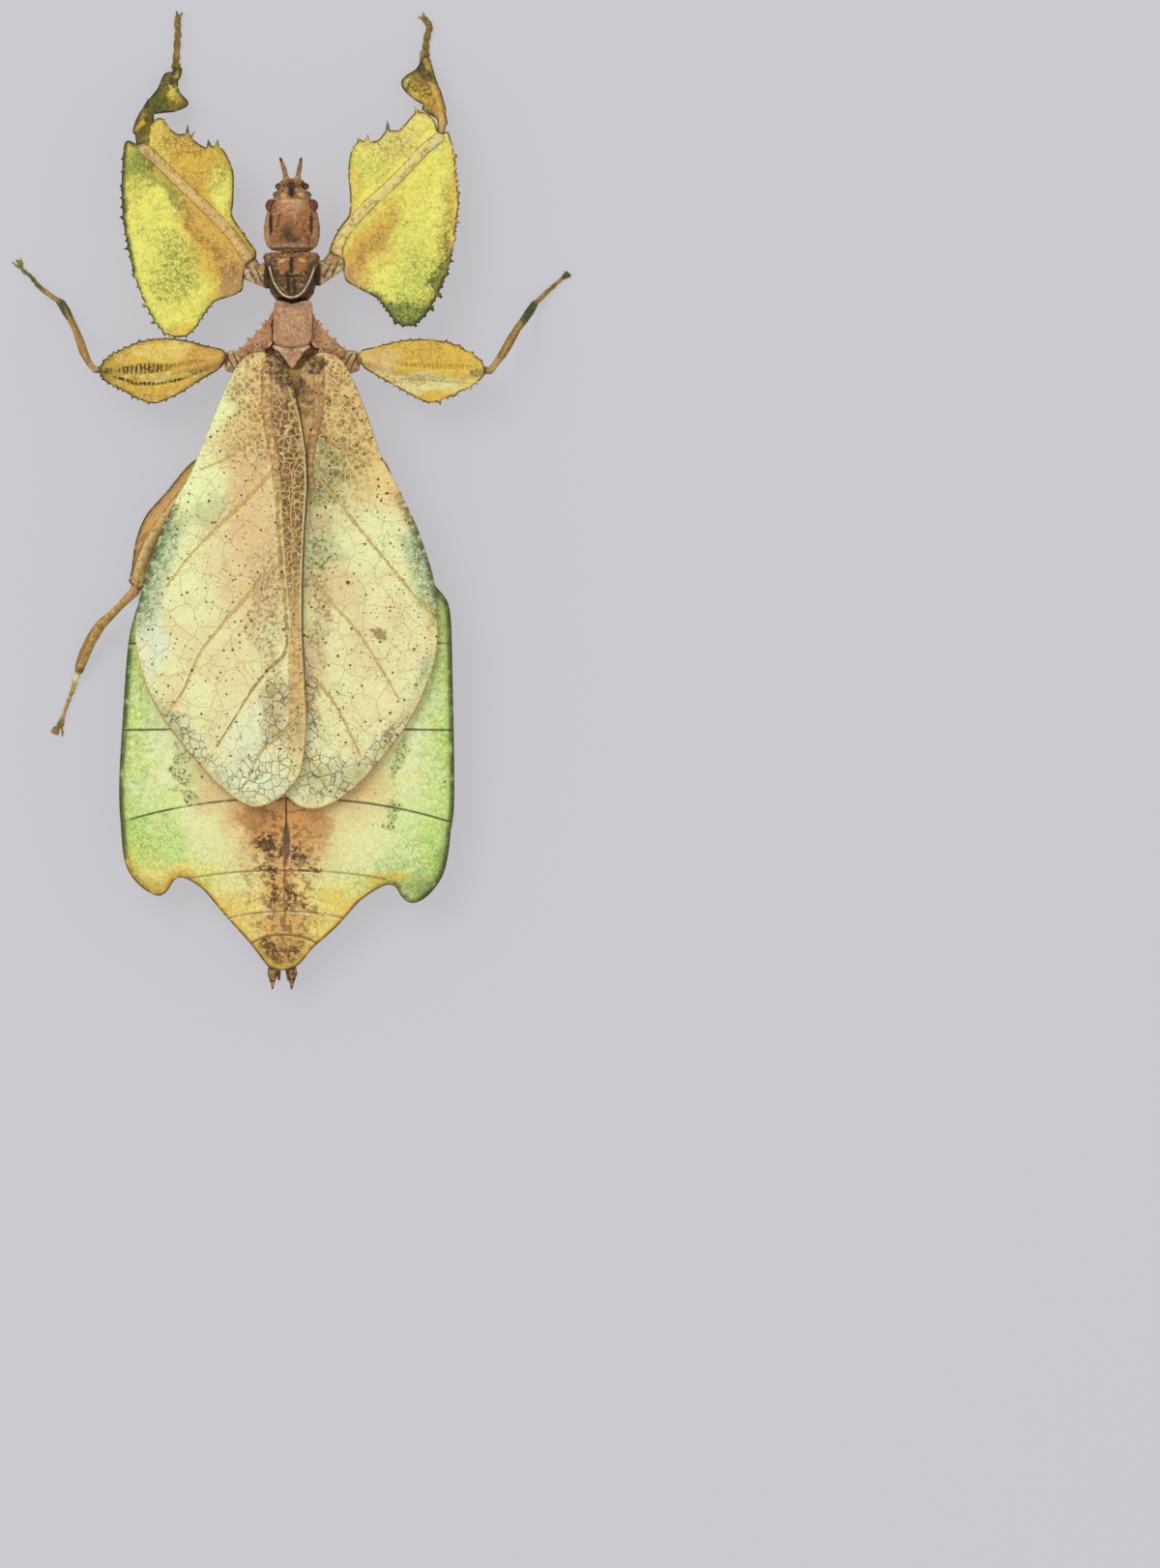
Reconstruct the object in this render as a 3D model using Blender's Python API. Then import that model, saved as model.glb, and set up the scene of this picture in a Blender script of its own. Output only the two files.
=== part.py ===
"""A female leaf insect, standing, at life size. Each named part of the body is one closed mesh.

Sizes are in millimetres and are turned to metres when a mesh is made. The head points to +Y, the back to +Z,
the animal's own left side is at -X, and the floor is z = 0. Outlines are seen from above, (x, y).
"""

import math

import bmesh
import bpy
from mathutils import Vector
from mathutils.geometry import delaunay_2d_cdt

# Driving dimensions
MM = 0.001
GAP = 0.3
LEAF = 0.55
MID_LINE = 0.27
TAIL_SWING = 0.0004
FOOT_SINK = 0.06
WING_RAISE = 0.36
WING_OVERLAP_LIFT = 0.86
VEIN_WIDTH = 0.34
VEIN_RISE = 0.24

# Heights along the body: (y, z). The rim is the middle of the abdomen's thin edge.
RIM_HEIGHT = ((-38.0, 3.15), (-32.0, 3.4), (-22.0, 3.8), (-8.0, 4.15), (2.0, 4.4), (11.0, 4.9))
BACK_CROWN = ((-38.0, 0.2), (-30.0, 0.35), (-18.0, 0.5), (-4.0, 0.7), (2.0, 0.75), (11.0, 0.5))
BELLY_DEPTH = ((-38.0, 0.2), (-30.0, 0.45), (-18.0, 0.75), (-4.0, 0.95), (2.0, 1.05), (11.0, 1.1))
HALF_WIDTH = ((-38.0, 0.9), (-35.0, 2.6), (-31.0, 7.0), (-28.0, 12.9), (-14.0, 13.0), (-6.6, 11.3),
              (-2.0, 8.0), (1.0, 6.2), (4.0, 4.6), (8.0, 3.6), (11.0, 3.2))
CORE_SHARE = 0.42
THORAX_REACH = 2.5

# Abdomen, left and right edges from the waist to the lobed seventh segment
ABDOMEN_LEFT = ((-4.45, 2.65), (-5.8, 1.0), (-7.8, -2.05), (-9.6, -4.35), (-11.2, -6.6), (-12.05, -8.7),
                (-12.65, -11.0), (-12.95, -14.1), (-13.2, -17.9), (-13.45, -21.5), (-13.5, -24.0),
                (-13.35, -25.8), (-13.25, -27.55))
ABDOMEN_RIGHT = ((5.0, 2.65), (6.3, 1.0), (8.3, -2.05), (10.1, -4.4), (11.45, -6.6), (12.4, -7.75),
                 (12.8, -8.85), (12.95, -11.0), (13.0, -14.1), (13.1, -18.45), (13.15, -22.5),
                 (13.1, -24.8), (12.85, -26.3), (12.7, -27.85))
TAIL_LEFT = ((-8.0, -30.3), (-6.85, -30.9), (-5.85, -32.05), (-4.8, -33.3), (-3.8, -34.4), (-3.1, -35.2),
             (-2.4, -36.1))
TAIL_RIGHT = ((7.75, -30.75), (6.5, -31.2), (5.45, -32.0), (4.5, -33.1), (3.55, -34.1), (2.65, -34.9),
              (1.95, -35.6))
# Each line between two segments: (y at the middle, how far it drops at the edge)
SEGMENT_LINES = ((2.65, 0.0), (-2.2, 0.0), (-6.4, 0.0), (-11.15, -0.3), (-18.2, -0.1), (-23.7, -1.9),
                 (-29.4, -0.7), (-33.1, -0.2), (-34.85, -0.3))
LOBES = ((-12.9, -29.15), (-12.2, -30.3), (-11.35, -31.05), (-10.5, -31.5), (-9.9, -31.35),
         (-9.45, -30.85), (-9.1, -30.25), (-8.5, -29.95), (-7.3, -29.7), (-3.5, -29.4), (0.0, -29.35),
         (3.5, -29.5), (6.6, -29.95), (7.9, -30.4), (8.5, -30.8), (8.7, -31.35), (9.15, -31.9),
         (9.85, -32.1), (10.6, -31.8), (11.5, -31.0), (12.3, -29.7))
ANAL_REAR = ((-2.35, -36.1), (-1.85, -36.9), (-1.35, -37.25), (-0.6, -37.4), (0.15, -37.25),
             (0.75, -36.95), (1.3, -36.35), (1.75, -35.6))

# Fore wings
LEFT_WING_EDGE = ((0.0, 10.0), (-0.8, 11.0), (-1.7, 11.5), (-2.55, 11.55), (-3.35, 11.25), (-3.95, 10.65),
                  (-4.55, 9.65), (-5.15, 8.35), (-5.85, 6.6), (-6.55, 4.9), (-7.1, 3.5), (-7.9, 1.7),
                  (-8.85, 0.1), (-9.7, -1.7), (-10.45, -3.6), (-11.15, -5.5), (-11.65, -7.2),
                  (-12.05, -9.1), (-12.15, -10.7), (-11.9, -12.55), (-11.45, -14.3), (-10.75, -16.0),
                  (-9.75, -17.65), (-8.6, -19.2), (-7.15, -20.95), (-5.6, -22.65), (-4.3, -23.7),
                  (-3.35, -24.25), (-2.5, -24.4), (-1.55, -24.15), (-0.8, -23.75))
SUTURE = ((-0.3, -23.4), (0.35, -22.65), (0.95, -21.75), (1.3, -19.95), (1.45, -17.3), (1.3, -14.45),
          (1.1, -10.65), (1.1, -6.8), (1.25, -2.85), (1.5, 1.0), (1.4, 3.65), (0.95, 6.45), (0.4, 8.85))
RIGHT_WING_EDGE = ((0.9, 9.9), (1.5, 10.95), (2.2, 11.45), (2.85, 11.5), (3.7, 11.3), (4.4, 10.7),
                   (5.0, 9.65), (5.6, 8.25), (6.25, 6.6), (6.85, 4.8), (7.45, 3.15), (8.4, 1.4),
                   (9.3, -0.4), (10.15, -2.2), (10.8, -4.05), (11.35, -5.8), (11.7, -7.5), (11.8, -9.5),
                   (11.75, -11.4), (11.45, -13.3), (10.8, -15.05), (10.15, -16.6), (9.3, -18.05),
                   (8.15, -19.6), (6.85, -21.2), (5.45, -22.65), (4.15, -23.7), (2.95, -24.35),
                   (1.85, -24.55), (0.9, -24.35), (0.2, -23.85))
RIGHT_INNER = ((-0.4, -23.2), (-0.7, -21.5), (-0.8, -17.0), (-0.8, -10.0), (-0.6, -3.0), (-0.5, 1.0),
               (-0.3, 4.0), (0.2, 6.8), (0.85, 8.6))
LEFT_VEINS = (((-1.65, 10.5), (-1.7, 7.3), (-1.4, 5.1), (-0.95, 2.4), (-0.75, -1.85), (-0.45, -6.4),
               (-0.1, -10.0), (-0.3, -12.3), (-1.4, -13.3), (-3.0, -15.3), (-4.3, -17.4), (-5.7, -19.6)),
              ((-1.45, 6.0), (-3.0, 4.6), (-4.9, 3.2), (-7.0, 2.3)),
              ((-1.1, 2.3), (-3.3, 0.0), (-5.7, -2.3), (-7.9, -4.6), (-9.7, -7.0)),
              ((-0.6, -5.0), (-2.6, -7.0), (-4.7, -9.3), (-6.9, -12.0), (-8.2, -14.9), (-9.8, -17.2)),
              ((0.9, -17.3), (-0.7, -18.7), (-2.2, -20.0), (-3.1, -22.0)))
RIGHT_VEINS = (((2.4, 10.3), (2.4, 7.4), (2.15, 5.5), (1.75, 3.6), (1.7, 1.8), (1.95, -0.6),
                (1.75, -4.5), (1.85, -9.5), (1.95, -14.5)),
               ((2.4, 5.8), (3.7, 4.4), (5.0, 3.5), (6.5, 2.6)),
               ((1.9, 2.1), (3.5, 0.3), (5.0, -1.6), (6.4, -3.3), (8.3, -5.6), (9.8, -7.5), (11.2, -9.0)),
               ((1.8, -6.2), (3.4, -8.2), (4.9, -9.8), (6.2, -11.6), (7.6, -13.9), (8.8, -16.0)),
               ((1.9, -14.2), (3.3, -15.7), (4.6, -18.0), (5.7, -20.4)),
               ((1.5, -20.4), (2.4, -21.6), (3.0, -23.0)))

# Head, seen from above: (y, half width, middle height, half height)
HEAD_RINGS = ((24.6, 0.75, 5.0, 0.75), (24.35, 1.12, 5.05, 1.1), (23.9, 1.45, 5.12, 1.38),
              (23.2, 1.82, 5.2, 1.56), (22.4, 2.08, 5.22, 1.66), (21.5, 2.24, 5.2, 1.68),
              (20.7, 2.22, 5.15, 1.6), (20.0, 2.0, 5.05, 1.42), (19.68, 1.6, 5.0, 1.15))
EYE_PLACE = (1.6, 23.15, 5.45)
EYE_RADII = (0.42, 0.5, 0.5)
ANTENNAE = (("antenna_left", ((-0.12, 24.92, 5.35), (-0.2, 25.4, 5.4), (-0.33, 26.0, 5.5), (-0.5, 26.5, 5.55),
                              (-0.65, 26.95, 5.6))),
            ("antenna_right", ((0.66, 24.92, 5.35), (0.74, 25.4, 5.4), (0.85, 26.0, 5.5), (0.94, 26.5, 5.55),
                               (1.0, 26.95, 5.6))))
ANTENNA_GIRTH = (0.3, 0.18)
ANTENNA_TIP = 0.08
BEAD_NECK = 0.82
MOUTH_RINGS = ((24.92, 4.45, 0.72, 0.5), (25.1, 4.4, 0.6, 0.45), (25.3, 4.35, 0.32, 0.3))
PALPS = (((0.5, 24.98, 4.3), (0.72, 25.3, 4.0)), ((0.28, 25.0, 4.15), (0.4, 25.3, 3.75)))
PALP_GIRTH = ((0.0, 0.18), (0.6, 0.17), (1.0, 0.08))

# Thorax. Plates are (height of the upper face, height of the lower face) at the middle line.
PRONOTUM = ((-1.75, 19.35), (0.25, 19.4), (2.2, 19.35), (2.35, 18.8), (2.05, 18.05), (1.72, 17.15),
            (1.3, 16.35), (0.85, 15.95), (0.25, 15.78), (-0.3, 15.95), (-0.7, 16.35), (-1.15, 17.15),
            (-1.45, 18.05), (-1.82, 18.8))
PROTHORAX_RINGS = ((19.3, 4.3, 1.25, 0.75), (18.8, 4.2, 1.55, 0.82), (17.9, 4.15, 1.85, 0.86),
                   (17.0, 4.1, 1.9, 0.88), (16.3, 4.1, 1.7, 0.88), (15.85, 4.15, 1.35, 0.8))
MESONOTUM = ((-0.92, 15.5), (0.27, 15.2), (1.66, 15.5), (1.72, 14.2), (1.7, 12.9), (1.45, 12.3),
             (0.27, 12.1), (-0.9, 12.3), (-1.05, 12.9), (-1.0, 14.2))
PRONOTUM_FACES = (6.25, 5.35)
MESONOTUM_FACES = (6.45, 5.2)
SCUTELLUM_FACES = (6.3, 5.6)
PLEURON_FACES = (6.05, 5.2)
PLATE_ARCH = 0.09
PLEURON_SLOPE = (0.2, 0.06)
MESOTHORAX_RINGS = ((15.55, 4.1, 1.1, 0.8), (15.0, 4.0, 1.5, 0.9), (13.5, 3.9, 2.2, 0.95),
                    (12.0, 3.85, 3.1, 0.97), (10.9, 3.85, 3.35, 0.98), (10.6, 3.85, 3.3, 0.95))
METATHORAX_STOPS = (10.3, 9.0, 7.0, 5.0, 4.2, 2.95)
METATHORAX_HALF = 4.1
SCUTELLUM = ((-0.5, 11.78), (0.27, 11.78), (1.05, 11.78), (0.75, 11.1), (0.35, 10.55), (0.0, 11.1))
PLEURON = ((-1.3, 14.7), (-1.45, 14.2), (-1.9, 13.75), (-2.35, 13.25), (-3.05, 12.6), (-3.55, 12.1),
           (-3.95, 11.75), (-3.6, 11.85), (-2.6, 11.85), (-1.6, 11.9), (-1.25, 12.3), (-1.32, 13.2))
PLEURON_SPINES = ((-1.55, 14.52), (-1.93, 14.15), (-2.15, 13.92), (-2.63, 13.4), (-3.3, 12.78),
                  (-3.95, 12.02))

# Front legs: femur outline without its teeth, tips of the teeth, run of the shaft
LEFT_FRONT_FEMUR = ((-13.05, 28.0), (-13.2, 26.3), (-13.25, 24.35), (-13.15, 22.2), (-12.8, 20.2),
                    (-12.3, 17.9), (-11.45, 15.6), (-10.6, 14.0), (-9.85, 13.15), (-9.05, 12.8),
                    (-8.3, 12.85), (-7.6, 13.25), (-7.0, 14.1), (-6.45, 14.9), (-5.85, 15.6),
                    (-5.0, 15.9), (-4.15, 16.2), (-3.65, 16.6), (-3.55, 17.6), (-3.35, 18.5),
                    (-2.6, 19.1), (-2.65, 19.75), (-3.1, 20.35), (-3.7, 21.25), (-4.45, 22.4),
                    (-4.4, 23.4), (-4.35, 25.4), (-4.5, 26.3), (-4.85, 27.1), (-5.3, 27.8),
                    (-6.0, 28.0), (-6.7, 27.9), (-7.4, 28.35), (-8.0, 28.95), (-8.7, 28.9),
                    (-9.25, 29.2), (-9.7, 29.75), (-10.15, 30.2), (-10.65, 30.0), (-10.98, 29.5),
                    (-11.2, 28.75), (-11.5, 28.3), (-12.1, 28.15), (-12.7, 28.4))
LEFT_FRONT_TEETH = ((-5.6, 28.5), (-6.4, 28.5), (-7.4, 29.2), (-8.0, 29.75), (-13.42, 24.8),
                    (-13.35, 22.25), (-13.05, 19.8), (-12.5, 17.7), (-11.6, 15.2), (-10.85, 13.85),
                    (-9.9, 12.9))
LEFT_FRONT_SHAFT = ((-11.7, 27.85), (-10.6, 27.0), (-9.05, 25.45), (-7.55, 24.0), (-6.0, 22.5),
                    (-4.5, 20.9), (-3.6, 19.6), (-3.0, 18.8))
RIGHT_FRONT_FEMUR = ((12.8, 28.6), (13.1, 27.45), (13.25, 25.85), (13.4, 24.4), (13.45, 23.25),
                     (13.25, 21.75), (13.05, 20.2), (12.75, 18.65), (12.3, 17.3), (11.75, 16.05),
                     (11.05, 14.85), (10.3, 14.0), (9.6, 13.7), (8.85, 13.75), (8.2, 14.3),
                     (7.6, 15.15), (7.0, 15.85), (6.1, 16.35), (5.15, 16.85), (4.5, 17.3),
                     (4.3, 18.2), (4.28, 18.95), (3.3, 19.45), (3.28, 19.95), (3.7, 20.9),
                     (4.25, 21.8), (4.8, 22.65), (4.82, 24.4), (4.7, 25.55), (4.75, 26.6),
                     (4.9, 27.4), (5.25, 28.1), (5.8, 28.4), (6.75, 28.35), (7.25, 28.6),
                     (7.7, 29.2), (8.55, 29.2), (9.05, 29.55), (9.6, 30.2), (10.1, 30.62),
                     (10.8, 30.6), (11.4, 30.15), (11.65, 29.7), (11.8, 29.2), (12.2, 29.0),
                     (12.6, 29.1))
RIGHT_FRONT_TEETH = ((5.45, 28.75), (6.25, 28.9), (7.8, 30.0), (10.0, 31.05), (13.35, 27.2),
                     (13.58, 24.2), (13.5, 21.9), (13.3, 20.6), (13.05, 18.8), (12.75, 17.8),
                     (12.2, 16.0), (11.55, 14.95), (10.05, 13.6), (8.3, 13.85))
RIGHT_FRONT_SHAFT = ((11.9, 28.6), (10.8, 27.75), (9.45, 26.3), (8.0, 24.8), (6.6, 23.55),
                     (5.45, 22.35), (4.5, 21.2), (3.95, 20.2), (3.8, 19.2))
LEFT_FRONT_SHIN = ((-12.35, 28.95), (-12.15, 30.0), (-11.65, 31.0), (-11.15, 31.75), (-10.5, 32.6),
                   (-10.2, 33.35), (-9.95, 33.85), (-9.5, 34.0), (-9.05, 34.0), (-8.85, 33.6),
                   (-8.85, 32.75), (-8.55, 32.15), (-8.1, 31.7), (-8.05, 31.35), (-8.4, 31.05),
                   (-9.15, 30.75), (-10.0, 30.65), (-10.85, 30.45), (-11.4, 29.65), (-11.65, 28.8))
RIGHT_FRONT_SHIN = ((11.2, 34.95), (11.35, 34.4), (11.65, 33.35), (12.05, 32.3), (12.35, 31.05),
                    (12.5, 30.2), (12.55, 29.65), (12.15, 29.5), (12.0, 30.2), (11.55, 30.7),
                    (10.75, 31.2), (10.1, 31.6), (9.35, 32.2), (8.9, 32.8), (8.9, 33.3), (9.3, 33.75),
                    (10.0, 34.2), (10.35, 34.75), (10.55, 34.95))
LEFT_FRONT_SHIN_SHAFT = ((-11.9, 29.2), (-11.4, 30.4), (-10.6, 31.6), (-9.9, 32.6), (-9.5, 33.3),
                         (-9.3, 33.8))
RIGHT_FRONT_SHIN_SHAFT = ((12.3, 29.8), (12.0, 31.0), (11.5, 32.4), (11.1, 33.7), (10.9, 34.7))

# Middle legs
LEFT_MIDDLE_FEMUR = ((-5.1, 11.75), (-6.4, 12.1), (-7.85, 12.5), (-9.05, 12.7), (-10.2, 12.72),
                     (-11.3, 12.6), (-12.3, 12.3), (-13.25, 11.85), (-14.1, 11.4), (-14.65, 10.95),
                     (-14.95, 10.4), (-14.95, 9.95), (-14.75, 9.5), (-14.2, 9.1), (-13.25, 8.65),
                     (-12.35, 8.1), (-11.5, 7.75), (-10.6, 7.55), (-9.6, 7.9), (-8.55, 8.4),
                     (-7.55, 9.05), (-6.4, 9.75), (-5.25, 10.5))
LEFT_MIDDLE_TEETH = ((-11.9, 12.58), (-13.0, 12.1), (-13.95, 11.6), (-11.2, 7.54), (-12.4, 8.0),
                     (-13.6, 8.7))
LEFT_MIDDLE_SHAFT = ((-5.2, 11.1), (-6.4, 10.9), (-7.9, 10.4), (-9.85, 10.0), (-11.75, 9.85),
                     (-13.4, 10.0), (-14.8, 10.2))
RIGHT_MIDDLE_FEMUR = ((5.65, 11.7), (6.6, 12.0), (7.75, 12.3), (8.9, 12.55), (10.05, 12.65),
                      (11.2, 12.65), (12.05, 12.5), (12.9, 12.35), (13.75, 11.95), (14.65, 11.45),
                      (15.25, 10.95), (15.5, 10.45), (15.5, 9.9), (15.2, 9.45), (14.35, 8.85),
                      (13.2, 8.3), (12.35, 7.9), (11.35, 7.6), (10.6, 7.75), (9.7, 8.2),
                      (8.55, 8.85), (7.4, 9.5), (6.45, 10.05), (5.8, 10.55))
RIGHT_MIDDLE_TEETH = ((12.5, 12.65), (13.6, 12.25), (14.6, 11.7), (12.0, 7.5), (13.2, 8.1), (14.4, 8.65))
RIGHT_MIDDLE_SHAFT = ((5.8, 11.1), (7.0, 10.85), (8.55, 10.4), (10.45, 10.1), (12.35, 10.0),
                      (14.0, 10.1), (15.3, 10.2))

# Hind legs. The right one is the left one turned over and folded in under the abdomen.
LEFT_HIND_FEMUR = ((-5.95, 3.55), (-7.1, 3.35), (-8.3, 2.35), (-9.85, 0.45), (-11.2, -1.05),
                   (-11.9, -2.45), (-12.3, -4.0), (-12.5, -5.65), (-12.7, -6.4), (-12.5, -6.75),
                   (-12.05, -6.7), (-11.75, -6.3), (-11.1, -5.2), (-10.3, -3.6), (-9.2, -1.9),
                   (-8.3, -0.2), (-7.1, 1.3), (-6.15, 2.45))
LEFT_HIND_SHAFT = ((-6.05, 3.0), (-7.55, 1.45), (-9.2, -0.7), (-10.75, -2.85), (-11.65, -4.9), (-12.3, -6.6))
HIND_PIVOT = (6.7, 3.0)
HIND_TURN = math.radians(-29)

# Legs beyond the femur: each run is (x, y, z) from the knee down, with the leg's width
LEFT_MIDDLE_SHIN = ((-15.6, 10.35, 4.2), (-16.05, 10.95, 3.9), (-16.4, 11.7, 3.5), (-16.8, 12.7, 3.0),
                    (-17.25, 13.8, 2.35), (-17.7, 14.7, 1.8), (-18.2, 15.45, 1.25), (-18.5, 15.8, 0.9))
RIGHT_MIDDLE_SHIN = ((16.15, 10.45, 4.2), (16.7, 11.1, 3.85), (17.15, 12.0, 3.4), (17.6, 12.9, 2.9),
                     (18.1, 13.8, 2.35), (18.6, 14.6, 1.75), (19.1, 15.2, 1.2), (19.4, 15.55, 0.9))
LEFT_HIND_SHIN = ((-12.45, -7.3, 2.95), (-13.05, -7.9, 2.75), (-13.9, -8.65, 2.45), (-14.8, -9.5, 2.1),
                  (-15.55, -10.5, 1.75), (-16.2, -11.55, 1.4), (-16.55, -12.6, 1.1), (-16.8, -13.65, 0.85))
RIGHT_HIND_SHIN = ((9.0, -7.75, 1.75), (8.7, -8.6, 1.7), (8.2, -9.7, 1.55), (7.6, -11.0, 1.4),
                   (7.0, -12.2, 1.2), (6.4, -13.4, 1.0), (5.9, -14.4, 0.85))
LEFT_FRONT_FOOT = ((-9.2, 34.35), (-9.05, 35.05), (-9.0, 35.9), (-8.95, 36.6), (-8.9, 37.25), (-8.95, 37.95),
                   (-8.9, 38.3))
RIGHT_FRONT_FOOT = ((10.85, 35.3), (10.8, 35.95), (10.85, 36.55), (11.0, 37.2), (11.1, 37.6), (10.95, 37.95),
                    (10.75, 38.2))
LEFT_MIDDLE_FOOT = ((-18.8, 16.1), (-19.3, 16.5), (-19.85, 17.0), (-20.4, 17.5), (-20.9, 18.0),
                    (-21.4, 18.45), (-21.75, 18.75))
RIGHT_MIDDLE_FOOT = ((19.7, 15.85), (20.25, 16.3), (20.75, 16.8), (21.15, 17.2), (21.5, 17.5), (21.75, 17.75),
                     (21.9, 17.85))
LEFT_HIND_FOOT = ((-16.93, -14.05), (-17.2, -14.85), (-17.5, -15.7), (-17.8, -16.45), (-18.1, -17.2),
                  (-18.3, -17.8), (-18.4, -18.2))
RIGHT_HIND_FOOT = ((5.75, -14.85), (5.5, -15.6), (5.3, -16.4), (5.1, -17.15), (4.95, -17.9), (4.85, -18.5),
                   (4.8, -18.9))
CLAW_LENGTH = 0.62
CLAW_RINGS = ((-0.15, 0.12), (0.35, 0.12), (0.75, 0.09), (1.0, 0.04))
CLAW_ARCH = 0.06
CLAWS = ((math.radians(-23), 0.2), (math.radians(26), 0.225))

# Hips: rings (x, y, z, half width, half height)
COXAE = (
    ("front_left",
     ((-2.6, 16.9, 4.1, 0.35, 0.35), (-2.6, 17.4, 4.15, 0.6, 0.5), (-2.55, 18.0, 4.25, 0.6, 0.52),
      (-2.5, 18.45, 4.35, 0.46, 0.45), (-2.48, 18.7, 4.4, 0.26, 0.3))),
    ("front_right",
     ((3.2, 16.95, 4.1, 0.4, 0.35), (3.22, 17.5, 4.15, 0.68, 0.5), (3.2, 18.1, 4.25, 0.7, 0.52),
      (3.1, 18.6, 4.35, 0.52, 0.45), (3.05, 18.95, 4.4, 0.3, 0.3))),
    ("middle_left",
     ((-3.55, 10.9, 3.95, 0.85, 0.7), (-4.2, 10.85, 4.05, 0.95, 0.7), (-4.85, 10.95, 4.25, 0.8, 0.55))),
    ("middle_right",
     ((4.05, 10.9, 3.95, 0.85, 0.7), (4.75, 10.85, 4.05, 0.95, 0.7), (5.4, 10.95, 4.25, 0.8, 0.55))),
    ("hind_left",
     ((-4.3, 3.75, 3.6, 0.7, 0.6), (-5.0, 3.6, 3.55, 0.75, 0.6), (-5.6, 3.2, 3.45, 0.6, 0.5))),
    ("hind_right",
     ((4.85, 3.75, 3.6, 0.7, 0.6), (5.6, 3.6, 3.5, 0.75, 0.6), (6.15, 3.2, 3.3, 0.6, 0.5))),
)
# Heights of the thighs at the hip and at the knee, and the half width and half thickness of their shafts
FRONT_FEMUR_HEIGHTS = (4.5, 4.1)
MIDDLE_FEMUR_HEIGHTS = (4.3, 4.3)
LEFT_HIND_HEIGHTS = (3.05, 3.4)
RIGHT_HIND_HEIGHTS = (2.1, 3.1)
FRONT_BAR = (0.52, 0.32)
MIDDLE_BAR = (0.55, 0.3)
HIND_BAR = (0.55, 0.25)
FRONT_SHIN_HEIGHTS = (4.0, 0.95)
FRONT_SHIN_BAR = (0.36, 0.2)
FRONT_SHIN_LOWEST = 0.45
MIDDLE_SHIN_WIDTHS = ((0.0, 0.36), (0.5, 0.34), (1.0, 0.28))
HIND_SHIN_WIDTHS = ((0.0, 0.45), (0.15, 0.5), (0.6, 0.4), (1.0, 0.28))
SHIN_THICKNESS = 0.38
FOOT_SWELL = (0.27, 0.04, 0.02)
FOOT_JOINTS = 5

# Tail: each cercus is its two front corners and the x of its tip
CERCI = (("cercus_left", (-1.75, -37.75), (-0.88, -37.75), -1.34),
         ("cercus_right", (-0.17, -37.72), (0.68, -37.5), 0.2))
CERCUS_TIP = (-38.92, 0.1)
CERCUS_FACES = (3.4, 2.85)
SUBGENITAL_PLATE = ((-2.9, -30.2), (-0.4, -30.0), (2.2, -30.2), (1.6, -32.2), (0.8, -34.2), (-0.1, -35.7),
                    (-0.55, -35.9), (-1.0, -35.7), (-1.8, -34.2), (-2.5, -32.2))
VALVES = (("gonapophysis_left", -0.95), ("gonapophysis_right", -0.2))
VALVE_RINGS = ((0.0, -36.25, 2.15, 0.27, 0.26), (0.03, -36.73, 2.11, 0.25, 0.24),
               (0.06, -37.21, 2.07, 0.22, 0.2), (0.09, -37.69, 2.03, 0.17, 0.16),
               (0.12, -38.17, 1.99, 0.11, 0.1))

# Colours
BROWN = (0.24, 0.11, 0.06, 1.0)
TAN = (0.45, 0.27, 0.1, 1.0)
OLIVE = (0.11, 0.09, 0.035, 1.0)
GREEN = (0.33, 0.38, 0.06, 1.0)
YELLOW = (0.62, 0.5, 0.1, 1.0)
CREAM = (0.66, 0.58, 0.3, 1.0)
ORANGE = (0.5, 0.24, 0.06, 1.0)
EYE_RED = (0.16, 0.05, 0.03, 1.0)


def ramp(place, stops):
    """The size at a place, straight between stops (place, size) in rising order."""
    if place <= stops[0][0]:
        return stops[0][1]
    for (low, first), (high, second) in zip(stops, stops[1:]):
        if place <= high:
            return first + (second - first) * (place - low) / (high - low)
    return stops[-1][1]


def ease(value):
    """0 to 1 with a flat start and end."""
    value = min(max(value, 0.0), 1.0)
    return value * value * (3 - 2 * value)


def smooth(points, rounds=1, closed=True):
    """Puts a point between each two, on the cubic through its four neighbours."""
    for _ in range(rounds):
        count = len(points)
        finer = []
        for i in range(count if closed else count - 1):
            if closed:
                before, after, last = points[i - 1], points[(i + 1) % count], points[(i + 2) % count]
            else:
                before, after, last = points[max(i - 1, 0)], points[i + 1], points[min(i + 2, count - 1)]
            here = points[i]
            finer.append(tuple(here))
            finer.append(tuple((9 * (a + b) - c - d) / 16 for a, b, c, d in zip(here, after, before, last)))
        if not closed:
            finer.append(tuple(points[-1]))
        points = finer
    return points


def mirrored(points):
    """The same points on the other side of the body's middle line."""
    return [(2 * MID_LINE - point[0], *point[1:]) for point in points]


def turned(points, pivot, angle):
    """Points turned about a pivot, seen from above."""
    cos, sin = math.cos(angle), math.sin(angle)
    found = []
    for x, y in points:
        dx, dy = x - pivot[0], y - pivot[1]
        found.append((pivot[0] + dx * cos - dy * sin, pivot[1] + dx * sin + dy * cos))
    return found


def nearest(path, x, y):
    """Distance from a point to a path, and how far along the path that is."""
    best, along, run = math.inf, 0.0, 0.0
    for (ax, ay), (bx, by) in zip(path, path[1:]):
        dx, dy = bx - ax, by - ay
        length = math.hypot(dx, dy)
        share = min(max(((x - ax) * dx + (y - ay) * dy) / length**2, 0.0), 1.0)
        distance = math.hypot(ax + share * dx - x, ay + share * dy - y)
        if distance < best:
            best, along = distance, run + share * length
        run += length
    return best, along


def inside(outline, x, y):
    """True when the point is within the closed outline."""
    found = False
    for (ax, ay), (bx, by) in zip(outline, [*outline[1:], outline[0]]):
        if (ay > y) != (by > y) and x < ax + (bx - ax) * (y - ay) / (by - ay):
            found = not found
    return found


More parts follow.
